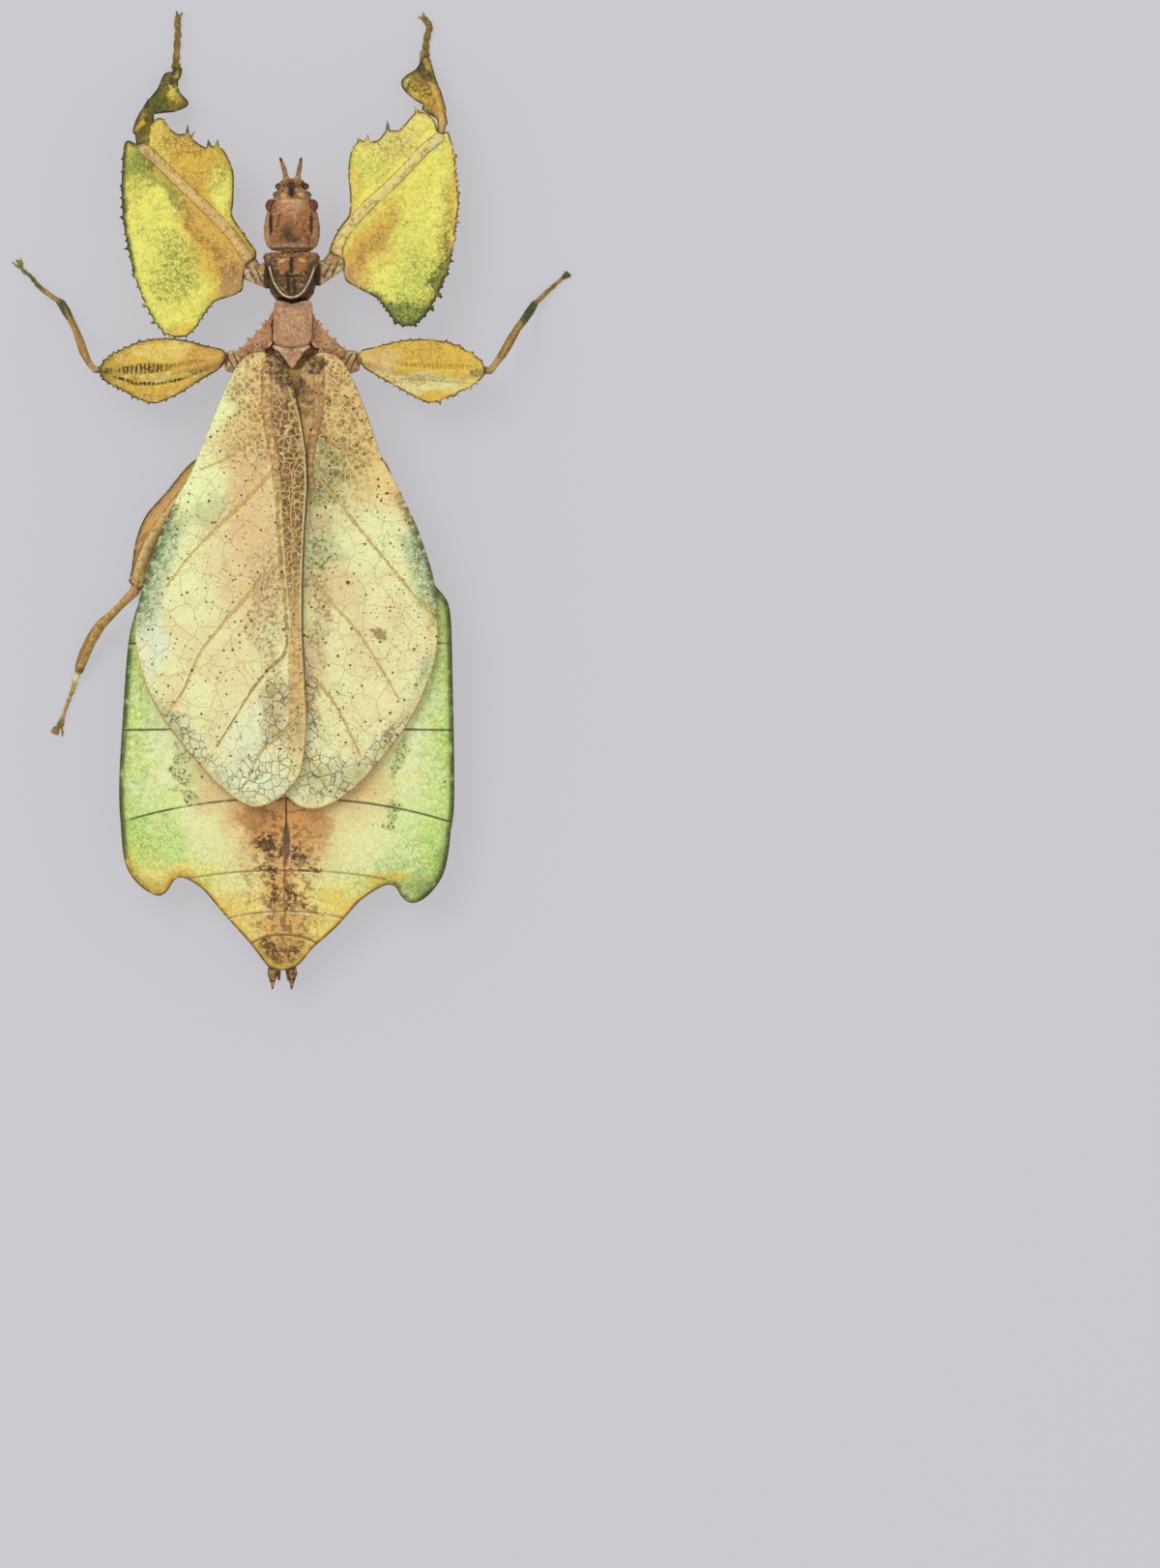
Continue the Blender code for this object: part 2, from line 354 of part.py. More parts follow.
def with_teeth(outline, tips, root=0.2):
    """The outline with a tooth at each tip, its root as wide as two roots."""
    closed = [*outline, outline[0]]
    runs = [0.0]
    for (ax, ay), (bx, by) in zip(closed, closed[1:]):
        runs.append(runs[-1] + math.hypot(bx - ax, by - ay))
    marks = [(run, point) for run, point in zip(runs, outline)]
    for tip in tips:
        along = nearest(closed, *tip)[1]
        marks = [mark for mark in marks if abs(mark[0] - along) > root]
        for place in (along - root, along + root):
            index = next(i for i in range(len(closed) - 1) if runs[i + 1] >= place)
            share = (place - runs[index]) / (runs[index + 1] - runs[index])
            (ax, ay), (bx, by) = closed[index], closed[index + 1]
            marks.append((place, (ax + share * (bx - ax), ay + share * (by - ay))))
        marks.append((along, tip))
    return [point for _, point in sorted(marks)]


def beside(path, distance):
    """The path moved to its left by a distance."""
    found = []
    for i, (x, y) in enumerate(path):
        before, after = path[max(i - 1, 0)], path[min(i + 1, len(path) - 1)]
        dx, dy = after[0] - before[0], after[1] - before[1]
        length = math.hypot(dx, dy)
        found.append((x - dy / length * distance, y + dx / length * distance))
    return found


def roof(share):
    """A ridge with straight sides."""
    return 1 - share


def round_bar(share):
    """A ridge with a round section."""
    return math.sqrt(max(0.0, 1 - share * share))


class Ridge:
    """A raised line along a path: a wing's vein, or the shaft of a leg."""

    def __init__(self, path, width, rise, sink=0.0, section=roof, lines=(0.0, 1.0), taper=0.0):
        self.path = smooth(path, closed=False)
        self.width = width
        self.rise = rise
        self.sink = sink
        self.section = section
        self.lines = lines
        self.taper = taper
        self.length = sum(math.dist(a, b) for a, b in zip(self.path, self.path[1:]))

    def share_at(self, x, y):
        """How much of the ridge's height is reached at a point."""
        distance, along = nearest(self.path, x, y)
        if distance >= self.width:
            return 0.0
        thinner = 1 - self.taper * along / self.length
        return self.section(distance / self.width) * thinner

    def guides(self):
        """The lines that the surface is split along."""
        sides = [side * line * self.width for line in self.lines for side in ((1, -1) if line else (1,))]
        return [beside(self.path, side) for side in sides]


def new_object(name, points, faces, colour, roughness=0.55):
    """A mesh object from points in millimetres, with its own material."""
    mesh = bpy.data.meshes.new(name)
    mesh.from_pydata([tuple(value * MM for value in point) for point in points], [], faces)
    shaped = bmesh.new()
    shaped.from_mesh(mesh)
    bmesh.ops.recalc_face_normals(shaped, faces=shaped.faces)
    if shaped.calc_volume(signed=True) < 0:
        bmesh.ops.reverse_faces(shaped, faces=shaped.faces)
    shaped.to_mesh(mesh)
    shaped.free()
    obj = bpy.data.objects.new(name, mesh)
    bpy.context.scene.collection.objects.link(obj)
    material = bpy.data.materials.new(name)
    material.use_nodes = True
    finish = material.node_tree.nodes["Principled BSDF"]
    finish.inputs["Base Color"].default_value = colour
    finish.inputs["Roughness"].default_value = roughness
    finish.inputs["Metallic"].default_value = 0.0
    mesh.materials.append(material)
    return obj


def sheet(name, outline, top, bottom, colour, ridges=(), spacing=1.3):
    """A closed leaf: both faces have the same triangles, joined by a wall round the outline."""
    points = [tuple(point) for point in outline]
    edges = [(i, (i + 1) % len(points)) for i in range(len(points))]
    guides = [line for ridge in ridges for line in ridge.guides()]
    for line in guides:
        start = len(points)
        points.extend(line)
        edges.extend((start + i, start + i + 1) for i in range(len(line) - 1))
    fixed = list(points)
    lows = [min(point[axis] for point in outline) for axis in (0, 1)]
    highs = [max(point[axis] for point in outline) for axis in (0, 1)]
    rows = int((highs[1] - lows[1]) / spacing) + 1
    columns = int((highs[0] - lows[0]) / spacing) + 1
    for row in range(rows):
        for column in range(columns):
            x = lows[0] + (column + 0.25 + 0.5 * (row % 2)) * spacing
            y = lows[1] + (row + 0.5) * spacing
            if inside(outline, x, y) and all(math.dist((x, y), point) > 0.6 * spacing for point in fixed):
                points.append((x, y))
    flat, _, triangles, *_ = delaunay_2d_cdt([Vector(point) for point in points], edges, [], 1, 1e-4)
    used = sorted({index for triangle in triangles for index in triangle})
    place = {index: order for order, index in enumerate(used)}
    count = len(used)

    def level(x, y, base, amount):
        return base(x, y) + max((amount(ridge) * ridge.share_at(x, y) for ridge in ridges), default=0.0)

    upper = [(flat[i].x, flat[i].y, level(flat[i].x, flat[i].y, top, lambda r: r.rise)) for i in used]
    lower = []
    for i in used:
        sunk = level(flat[i].x, flat[i].y, lambda x, y: 0.0, lambda r: r.sink)
        lower.append((flat[i].x, flat[i].y, bottom(flat[i].x, flat[i].y) - sunk))
    faces = []
    borders = set()
    for triangle in triangles:
        a, b, c = (place[index] for index in triangle)
        if (flat[used[b]] - flat[used[a]]).cross(flat[used[c]] - flat[used[a]]) < 0:
            b, c = c, b
        faces.append((a, b, c))
        faces.append((count + c, count + b, count + a))
        for edge in ((a, b), (b, c), (c, a)):
            if edge[::-1] in borders:
                borders.remove(edge[::-1])
            else:
                borders.add(edge)
    for a, b in sorted(borders):
        faces.append((b, a, count + a))
        faces.append((b, count + a, count + b))
    return new_object(name, upper + lower, faces, colour)


def tube(name, rings, colour, sides=8, power=1.0, floor=False):
    """A closed tube through rings (x, y, z, half width, half height), each square to the run."""
    middles = [Vector(ring[:3]) for ring in rings]
    points = []
    for i, ring in enumerate(rings):
        run = (middles[min(i + 1, len(rings) - 1)] - middles[max(i - 1, 0)]).normalized()
        across = run.cross(Vector((0, 0, 1))).normalized()
        up = across.cross(run)
        for side in range(sides):
            angle = math.tau * (side + 0.5) / sides
            cos, sin = math.cos(angle), math.sin(angle)
            wide = math.copysign(abs(cos) ** power, cos) * ring[3]
            high = math.copysign(abs(sin) ** power, sin) * ring[4]
            point = middles[i] + across * wide + up * high
            points.append((point.x, point.y, max(point.z, 0.0) if floor else point.z))
    faces = []
    for i in range(len(rings) - 1):
        for side in range(sides):
            a, b = i * sides + side, i * sides + (side + 1) % sides
            faces.append((a, b, b + sides, a + sides))
    faces.append(tuple(range(sides))[::-1])
    faces.append(tuple(range((len(rings) - 1) * sides, len(rings) * sides)))
    return new_object(name, points, faces, colour)


def triangulated(obj):
    """Splits every face of an object into triangles."""
    shaped = bmesh.new()
    shaped.from_mesh(obj.data)
    bmesh.ops.triangulate(shaped, faces=shaped.faces)
    shaped.to_mesh(obj.data)
    shaped.free()


def apply_modifiers(obj):
    """Makes what an object's modifiers give its own mesh."""
    graph = bpy.context.evaluated_depsgraph_get()
    mesh = bpy.data.meshes.new_from_object(obj.evaluated_get(graph))
    obj.modifiers.clear()
    obj.data = mesh


def keep_largest(obj):
    """Leaves only the largest closed surface of a mesh."""
    shaped = bmesh.new()
    shaped.from_mesh(obj.data)
    left = set(shaped.verts)
    islands = []
    while left:
        island, edge = set(), [left.pop()]
        while edge:
            vert = edge.pop()
            island.add(vert)
            linked = {link.other_vert(vert) for link in vert.link_edges} & left
            left -= linked
            edge.extend(linked)
        islands.append(island)
    islands.sort(key=len)
    for island in islands[:-1]:
        bmesh.ops.delete(shaped, geom=list(island), context="VERTS")
    shaped.to_mesh(obj.data)
    shaped.free()


def fuse(obj, pieces, solver="EXACT"):
    """Joins closed pieces to an object in one union and removes them."""
    group = bpy.data.collections.new("pieces")
    bpy.context.scene.collection.children.link(group)
    for piece in [obj, *pieces]:
        triangulated(piece)
    for piece in pieces:
        bpy.context.scene.collection.objects.unlink(piece)
        group.objects.link(piece)
    join = obj.modifiers.new("join", "BOOLEAN")
    join.operation = "UNION"
    join.operand_type = "COLLECTION"
    join.collection = group
    join.solver = solver
    apply_modifiers(obj)
    for piece in pieces:
        bpy.data.objects.remove(piece)
    bpy.data.collections.remove(group)
    keep_largest(obj)


def carve(obj, cutter):
    """Cuts one closed shape out of an object and removes the cutter."""
    for piece in (obj, cutter):
        triangulated(piece)
    cut = obj.modifiers.new("cut", "BOOLEAN")
    cut.operation = "DIFFERENCE"
    cut.object = cutter
    cut.solver = "EXACT"
    apply_modifiers(obj)
    bpy.data.objects.remove(cutter)
    keep_largest(obj)


def ellipsoid(name, place, radii, colour, sides=12, rings=7):
    """A closed egg shape with its length along Y."""
    stops = [math.pi * (i + 0.35) / (rings - 0.3) for i in range(rings)]
    shape = [(place[0], place[1] - radii[1] * math.cos(stop), place[2], radii[0] * math.sin(stop),
              radii[2] * math.sin(stop)) for stop in stops]
    return tube(name, shape, colour, sides)


def middle_of(y):
    """Where the body's middle line is: the abdomen swings a little to the left."""
    return MID_LINE - TAIL_SWING * max(0.0, 10 - y) ** 2


def core_share(x, y):
    """1 on the body's middle line, falling to 0 where the thin side of the abdomen starts."""
    reach = CORE_SHARE * ramp(y, HALF_WIDTH) * (1 + THORAX_REACH * ease((y - 0.5) / 3.5))
    return 1 - ease(abs(x - middle_of(y)) / (reach + 0.6))


def back_height(x, y):
    """Upper surface of the abdomen and of the hind part of the thorax."""
    return ramp(y, RIM_HEIGHT) + LEAF / 2 + ramp(y, BACK_CROWN) * core_share(x, y)


def belly_height(x, y):
    """Lower surface of the same parts."""
    return ramp(y, RIM_HEIGHT) - LEAF / 2 - ramp(y, BELLY_DEPTH) * core_share(x, y)


def edge_between(edge, front, rear):
    """The part of an edge, listed from front to rear, between two places along the body."""
    stops = sorted((y, x) for x, y in edge)
    inner = [point for point in edge if rear + 0.25 < point[1] < front - 0.25]
    return [(ramp(front, stops), front), *inner, (ramp(rear, stops), rear)]


def segment_line(line, shift, left, right, steps=6):
    """Points along a line between two segments, from the left edge to the right one."""
    middle, drop = line
    found = []
    for i in range(1, steps):
        share = 2 * i / steps - 1
        x = left + (right - left) * i / steps
        found.append((x, middle + shift + drop * abs(share) ** 2.2))
    return found


def segment_outline(front, rear, left_edge, right_edge):
    """Outline of one abdominal segment, clear of its neighbours by half the gap at each end."""
    front_y = front[0] + front[1] - GAP / 2
    rear_y = rear[0] + rear[1] + GAP / 2
    left = edge_between(left_edge, front_y, rear_y)
    right = edge_between(right_edge, front_y, rear_y)
    back = segment_line(rear, GAP / 2, left[-1][0], right[-1][0])
    head = segment_line(front, -GAP / 2, left[0][0], right[0][0])
    return [*left, *back, *right[::-1], *head[::-1]]


def abdomen():
    """Nine segments, from the second to the tenth, and the parts at the tail."""
    colours = (GREEN, GREEN, GREEN, GREEN, GREEN, YELLOW, YELLOW, YELLOW)
    for number, (front, rear) in enumerate(zip(SEGMENT_LINES, SEGMENT_LINES[1:])):
        if number == 5:
            front_y = front[0] + front[1] - GAP / 2
            left = edge_between(ABDOMEN_LEFT, front_y, ABDOMEN_LEFT[-1][1])
            right = edge_between(ABDOMEN_RIGHT, front_y, ABDOMEN_RIGHT[-1][1])
            head = segment_line(front, -GAP / 2, left[0][0], right[0][0])
            outline = smooth([*left, *LOBES, *right[::-1]], closed=False) + head[::-1]
        elif number < 5:
            outline = segment_outline(front, rear, ABDOMEN_LEFT, ABDOMEN_RIGHT)
        else:
            outline = segment_outline(front, rear, TAIL_LEFT, TAIL_RIGHT)
        sheet(f"abdomen_{number + 2}", outline, back_height, belly_height, colours[number], spacing=2.0)
    last = SEGMENT_LINES[-1]
    front_y = last[0] + last[1] - GAP / 2
    left = edge_between(TAIL_LEFT, front_y, ANAL_REAR[0][1])[:1]
    right = edge_between(TAIL_RIGHT, front_y, ANAL_REAR[-1][1])[:1]
    head = segment_line(last, -GAP / 2, left[0][0], right[0][0])
    sheet("abdomen_10", [*left, *ANAL_REAR, *right, *head[::-1]], back_height, belly_height, YELLOW)


def tail():
    """Cerci, the plate under the tail and the egg-laying valves."""
    for name, left, right, tip in CERCI:
        outline = [left, right, (tip + CERCUS_TIP[1], CERCUS_TIP[0]), (tip - CERCUS_TIP[1], CERCUS_TIP[0])]
        sheet(name, outline, lambda x, y: CERCUS_FACES[0], lambda x, y: CERCUS_FACES[1], GREEN)
    sheet("subgenital_plate", smooth(SUBGENITAL_PLATE), lambda x, y: belly_height(x, y) - GAP,
          lambda x, y: belly_height(x, y) - GAP - LEAF, OLIVE)
    for name, place in VALVES:
        tube(name, [(place + x, *ring) for x, *ring in VALVE_RINGS], GREEN)


def wing_lift(x, y):
    """How far the left fore wing stands above the right one where it lies over it."""
    return WING_OVERLAP_LIFT * ease((x + 3.4) / 1.9) * ease((10.6 - y) / 2.2)


def wings():
    """Two fore wings with raised main veins, the left one lying over the right one."""

    def under(x, y):
        return back_height(x, y) + WING_RAISE

    for name, outline, veins, lift in (
        ("fore_wing_left", LEFT_WING_EDGE + SUTURE, LEFT_VEINS, wing_lift),
        ("fore_wing_right", RIGHT_WING_EDGE + RIGHT_INNER, RIGHT_VEINS, lambda x, y: 0.0),
    ):
        ridges = [Ridge(vein, VEIN_WIDTH, VEIN_RISE, taper=0.35) for vein in veins]
        sheet(name, smooth(outline), lambda x, y: under(x, y) + lift(x, y) + LEAF,
              lambda x, y: under(x, y) + lift(x, y), CREAM, ridges, spacing=1.9)


def head():
    """The head with a socket for each eye, the eyes, the feelers and the mouthparts."""
    rings = [(MID_LINE, y, z, wide, high) for y, wide, z, high in HEAD_RINGS]
    skull = tube("head", rings, BROWN, sides=20, power=0.85)
    for side, word in ((-1, "left"), (1, "right")):
        place = (MID_LINE + side * EYE_PLACE[0], EYE_PLACE[1], EYE_PLACE[2])
        carve(skull, ellipsoid("socket", place, [radius + GAP for radius in EYE_RADII], BROWN))
        ellipsoid(f"eye_{word}", place, EYE_RADII, EYE_RED)
    for name, path in ANTENNAE:
        beads = smooth(path, 2, closed=False)
        feeler = []
        for i, place in enumerate(beads):
            girth = ramp(i / (len(beads) - 1), tuple(enumerate(ANTENNA_GIRTH)))
            radius = girth if i % 2 else girth * BEAD_NECK
            feeler.append((*place, radius, radius))
        feeler[-1] = (*beads[-1], ANTENNA_TIP, ANTENNA_TIP)
        tube(name, feeler, ORANGE)
    mouth = tube("mouthparts", [(MID_LINE, y, z, wide, high) for y, z, wide, high in MOUTH_RINGS], OLIVE, 10)
    palps = []
    for side in (-1, 1):
        for start, stop in PALPS:
            root = Vector((MID_LINE + side * start[0], *start[1:]))
            tip = Vector((MID_LINE + side * stop[0], *stop[1:]))
            shape = [(*root.lerp(tip, share), size, size) for share, size in PALP_GIRTH]
            palps.append(tube("palp", shape, OLIVE, sides=6))
    fuse(mouth, palps)


def plate(name, outline, faces, arch, colour, spacing=0.9):
    """A plate on the back that is highest on the middle line."""
    sheet(name, outline, lambda x, y: faces[0] - arch * (x - MID_LINE) ** 2, lambda x, y: faces[1], colour,
          spacing=spacing)


def thorax():
    """Shield, neck piece, middle and hind thorax, and the spiny side plates."""
    plate("pronotum", smooth(PRONOTUM), PRONOTUM_FACES, PLATE_ARCH, TAN)
    plate("mesonotum", smooth(MESONOTUM), MESONOTUM_FACES, PLATE_ARCH, TAN)
    plate("scutellum", SCUTELLUM, SCUTELLUM_FACES, 0.0, BROWN)
    tube("prothorax", [(MID_LINE, *ring) for ring in PROTHORAX_RINGS], BROWN, sides=16, power=0.7)
    for word, place in (("left", lambda points: points), ("right", mirrored)):
        outline = with_teeth(place(PLEURON), place(PLEURON_SPINES), root=0.17)
        sheet(f"mesopleuron_{word}", outline,
              lambda x, y: PLEURON_FACES[0] - PLEURON_SLOPE[0] * abs(x - MID_LINE),
              lambda x, y: PLEURON_FACES[1] - PLEURON_SLOPE[1] * abs(x - MID_LINE), BROWN, spacing=1.0)
    tube("mesothorax", [(MID_LINE, *ring) for ring in MESOTHORAX_RINGS], BROWN, sides=16, power=0.6)
    rings = []
    for y in METATHORAX_STOPS:
        half = min(ramp(y, HALF_WIDTH), METATHORAX_HALF)
        top, low = back_height(middle_of(y), y), belly_height(middle_of(y), y)
        rings.append((MID_LINE, y, (top + low) / 2, half, (top - low) / 2 - 0.02))
    tube("metathorax", rings, BROWN, sides=20, power=0.6)


def leg_plane(near, far, rise_near, rise_far):
    """A height that runs straight from one end of a leg's part to the other."""
    start, stop = Vector(near), Vector(far)
    run = stop - start

    def level(x, y):
        share = (Vector((x, y)) - start).dot(run) / run.length_squared
        return rise_near + (rise_far - rise_near) * share

    return level


def femur(name, outline, teeth, shaft, heights, bar, colour):
    """A flat, lobed thigh with a round shaft running through it."""
    level = leg_plane(shaft[-1], shaft[0], *heights)
    ridge = Ridge(shaft, bar[0], bar[1], bar[1], round_bar, (0.0, 0.62, 1.0))
    rim = with_teeth(smooth(outline), teeth) if teeth else smooth(outline)
    return sheet(name, rim, lambda x, y: level(x, y) + LEAF / 2, lambda x, y: level(x, y) - LEAF / 2,
                 colour, [ridge], spacing=1.7)


def front_shin(name, outline, shaft):
    """A front shin: a short bar with a three-cornered lobe on its inner side."""
    level = leg_plane(shaft[0], shaft[-1], *FRONT_SHIN_HEIGHTS)
    ridge = Ridge(shaft, FRONT_SHIN_BAR[0], FRONT_SHIN_BAR[1], FRONT_SHIN_BAR[1], round_bar, (0.0, 1.0))
    sheet(name, outline, lambda x, y: level(x, y) + LEAF / 2,
          lambda x, y: max(level(x, y) - LEAF / 2, FRONT_SHIN_LOWEST), OLIVE, [ridge], spacing=1.2)


def shin(name, run, widths, colour):
    """A slender shin, narrowing from the knee."""
    path = smooth(run, closed=False)
    rings = []
    for i, place in enumerate(path):
        share = i / (len(path) - 1)
        wide = ramp(share, widths)
        rings.append((*place, wide, min(wide, SHIN_THICKNESS)))
    tube(name, rings, colour)


def foot(name, run, colour):
    """A foot of five joints that lies on the floor and ends in two claws and a pad."""
    path = smooth(run, 2, closed=False)
    rings = []
    for i, (x, y) in enumerate(path):
        share = i / (len(path) - 1)
        joints = FOOT_SWELL[1] * math.cos(math.tau * share * FOOT_JOINTS)
        swell = FOOT_SWELL[0] + joints - FOOT_SWELL[2] * share
        height = swell - FOOT_SINK
        rings.append((x, y, height, swell, swell))
    rings.append((path[-1][0] * 2 - path[-2][0], path[-1][1] * 2 - path[-2][1], 0.16, 0.14, 0.16))
    sole = tube(name, rings, colour, floor=True)
    start, stop = Vector(path[-2]), Vector(path[-1])
    ahead = (stop - start).normalized()
    claws = []
    for turn, height in CLAWS:
        way = Vector((ahead.x * math.cos(turn) - ahead.y * math.sin(turn),
                      ahead.x * math.sin(turn) + ahead.y * math.cos(turn)))
        shape = []
        for share, size in CLAW_RINGS:
            spot = stop + way * CLAW_LENGTH * share
            shape.append((spot.x, spot.y, height + CLAW_ARCH * math.sin(math.pi * max(share, 0)), size, size))
        claws.append(tube("claw", shape, colour, sides=6))
    fuse(sole, claws, "MANIFOLD")


def hind_right(points):
    """Points of the left hind thigh, turned over and folded in under the abdomen."""
    return turned(mirrored(points), HIND_PIVOT, HIND_TURN)


def legs():
    """Six legs: hip, thigh, shin and foot."""
    for place, rings in COXAE:
        tube(f"coxa_{place}", rings, TAN, sides=10)
    front = FRONT_FEMUR_HEIGHTS, FRONT_BAR, GREEN
    middle = MIDDLE_FEMUR_HEIGHTS, MIDDLE_BAR, ORANGE
    femur("femur_front_left", LEFT_FRONT_FEMUR, LEFT_FRONT_TEETH, LEFT_FRONT_SHAFT, *front)
    femur("femur_front_right", RIGHT_FRONT_FEMUR, RIGHT_FRONT_TEETH, RIGHT_FRONT_SHAFT, *front)
    femur("femur_middle_left", LEFT_MIDDLE_FEMUR, LEFT_MIDDLE_TEETH, LEFT_MIDDLE_SHAFT, *middle)
    femur("femur_middle_right", RIGHT_MIDDLE_FEMUR, RIGHT_MIDDLE_TEETH, RIGHT_MIDDLE_SHAFT, *middle)
    femur("femur_hind_left", LEFT_HIND_FEMUR, (), LEFT_HIND_SHAFT, LEFT_HIND_HEIGHTS, HIND_BAR, TAN)
    right = hind_right(LEFT_HIND_FEMUR), (), hind_right(LEFT_HIND_SHAFT)
    femur("femur_hind_right", *right, RIGHT_HIND_HEIGHTS, HIND_BAR, TAN)
    front_shin("tibia_front_left", LEFT_FRONT_SHIN, LEFT_FRONT_SHIN_SHAFT)
    front_shin("tibia_front_right", RIGHT_FRONT_SHIN, RIGHT_FRONT_SHIN_SHAFT)
    shin("tibia_middle_left", LEFT_MIDDLE_SHIN, MIDDLE_SHIN_WIDTHS, OLIVE)
    shin("tibia_middle_right", RIGHT_MIDDLE_SHIN, MIDDLE_SHIN_WIDTHS, OLIVE)
    shin("tibia_hind_left", LEFT_HIND_SHIN, HIND_SHIN_WIDTHS, TAN)
    shin("tibia_hind_right", RIGHT_HIND_SHIN, HIND_SHIN_WIDTHS, TAN)
    for place, run in (("front_left", LEFT_FRONT_FOOT), ("front_right", RIGHT_FRONT_FOOT),
                       ("middle_left", LEFT_MIDDLE_FOOT), ("middle_right", RIGHT_MIDDLE_FOOT),
                       ("hind_left", LEFT_HIND_FOOT), ("hind_right", RIGHT_HIND_FOOT)):
        foot(f"tarsus_{place}", run, OLIVE)


def main():
    for obj in list(bpy.data.objects):
        bpy.data.objects.remove(obj)
    head()
    thorax()
    abdomen()
    tail()
    wings()
    legs()


main()
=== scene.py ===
"""A female leaf insect as a museum shows one: the finish of every part of her body, on a plain floor under soft light.

Sizes and places in the code are in millimetres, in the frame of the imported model: the head points to +Y, the back
to +Z and her own left side to -X. They are turned to metres where a mesh is made.
"""

import math
from functools import partial, reduce

import bmesh
import bpy
import numpy as np
from bpy.props import FloatProperty, FloatVectorProperty, PointerProperty
from mathutils import Matrix, Vector
from mathutils.bvhtree import BVHTree
from mathutils.geometry import delaunay_2d_cdt
from mathutils.kdtree import KDTree


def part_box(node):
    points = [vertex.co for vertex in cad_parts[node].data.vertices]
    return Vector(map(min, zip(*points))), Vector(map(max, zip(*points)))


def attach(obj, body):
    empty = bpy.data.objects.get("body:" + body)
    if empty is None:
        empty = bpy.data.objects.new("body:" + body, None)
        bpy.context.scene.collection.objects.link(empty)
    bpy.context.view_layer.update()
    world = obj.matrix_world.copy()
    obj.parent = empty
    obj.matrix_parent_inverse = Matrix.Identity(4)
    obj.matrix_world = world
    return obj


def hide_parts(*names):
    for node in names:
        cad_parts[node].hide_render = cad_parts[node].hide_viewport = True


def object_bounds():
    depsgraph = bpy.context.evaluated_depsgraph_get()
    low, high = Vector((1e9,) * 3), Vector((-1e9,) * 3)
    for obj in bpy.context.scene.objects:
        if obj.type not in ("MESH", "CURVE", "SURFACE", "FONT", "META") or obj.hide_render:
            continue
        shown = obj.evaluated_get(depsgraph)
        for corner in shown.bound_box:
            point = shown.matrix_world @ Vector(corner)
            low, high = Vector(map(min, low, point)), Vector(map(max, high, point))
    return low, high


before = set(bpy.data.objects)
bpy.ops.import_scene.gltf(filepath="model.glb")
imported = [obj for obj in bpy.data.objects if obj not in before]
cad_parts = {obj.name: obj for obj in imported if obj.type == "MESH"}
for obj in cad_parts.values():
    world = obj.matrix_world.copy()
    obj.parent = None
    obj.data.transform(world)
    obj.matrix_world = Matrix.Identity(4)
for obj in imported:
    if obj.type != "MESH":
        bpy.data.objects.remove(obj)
CAD_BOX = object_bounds()

bl_info = {
    "name": "Leaf insect",
    "version": (1, 0, 0),
    "blender": (4, 5, 0),
    "location": "View3D > Sidebar > Leaf insect",
    "description": "Dresses the solids of a leaf insect with fine skins and lights them for a still picture",
    "category": "Object",
}

MM = 0.001
# The body's middle line, what a stored distance says where nothing is near, and the reach of a patch in height
MIDDLE = 0.27
FAR = 9.0
ANY_HEIGHT = 1000.0

# Main veins of the fore wings, from the base outwards, (x, y) from above
LEFT_VEINS = (
    (
        (-1.65, 10.5), (-1.7, 7.3), (-1.4, 5.1), (-0.95, 2.4), (-0.75, -1.85), (-0.45, -6.4), (-0.1, -10),
        (-0.3, -12.3), (-1.4, -13.3), (-3, -15.3), (-4.3, -17.4), (-5.7, -19.6),
    ),
    ((-1.45, 6), (-3, 4.6), (-4.9, 3.2), (-7, 2.3)), ((-1.1, 2.3), (-3.3, 0), (-5.7, -2.3), (-7.9, -4.6), (-9.7, -7)),
    ((-0.6, -5), (-2.6, -7), (-4.7, -9.3), (-6.9, -12), (-8.2, -14.9), (-9.8, -17.2)),
    ((0.9, -17.3), (-0.7, -18.7), (-2.2, -20), (-3.1, -22)),
)
RIGHT_VEINS = (
    (
        (2.4, 10.3), (2.4, 7.4), (2.15, 5.5), (1.75, 3.6), (1.7, 1.8), (1.95, -0.6), (1.75, -4.5), (1.85, -9.5),
        (1.95, -14.5),
    ),
    ((2.4, 5.8), (3.7, 4.4), (5, 3.5), (6.5, 2.6)),
    ((1.9, 2.1), (3.5, 0.3), (5, -1.6), (6.4, -3.3), (8.3, -5.6), (9.8, -7.5), (11.2, -9)),
    ((1.8, -6.2), (3.4, -8.2), (4.9, -9.8), (6.2, -11.6), (7.6, -13.9), (8.8, -16)),
    ((1.9, -14.2), (3.3, -15.7), (4.6, -18), (5.7, -20.4)), ((1.5, -20.4), (2.4, -21.6), (3, -23)),
)
SUTURE = (
    (0.35, -22.65), (0.95, -21.75), (1.3, -19.95), (1.45, -17.3), (1.3, -14.45), (1.1, -10.65), (1.1, -6.8),
    (1.25, -2.85), (1.5, 1), (1.4, 3.65), (0.95, 6.45), (0.4, 8.85),
)
# Vein along the middle of the left wing's dark field
MID_VEIN = (
    (-0.25, 9.7), (0.2, 8.2), (0.75, 6.6), (1.1, 5.3), (1.15, 4.2), (0.7, 3), (0.3, 2), (0.4, 0.8), (0.2, -1.2),
    (0.35, -3), (0.25, -5), (0.4, -7.4), (0.3, -10),
)

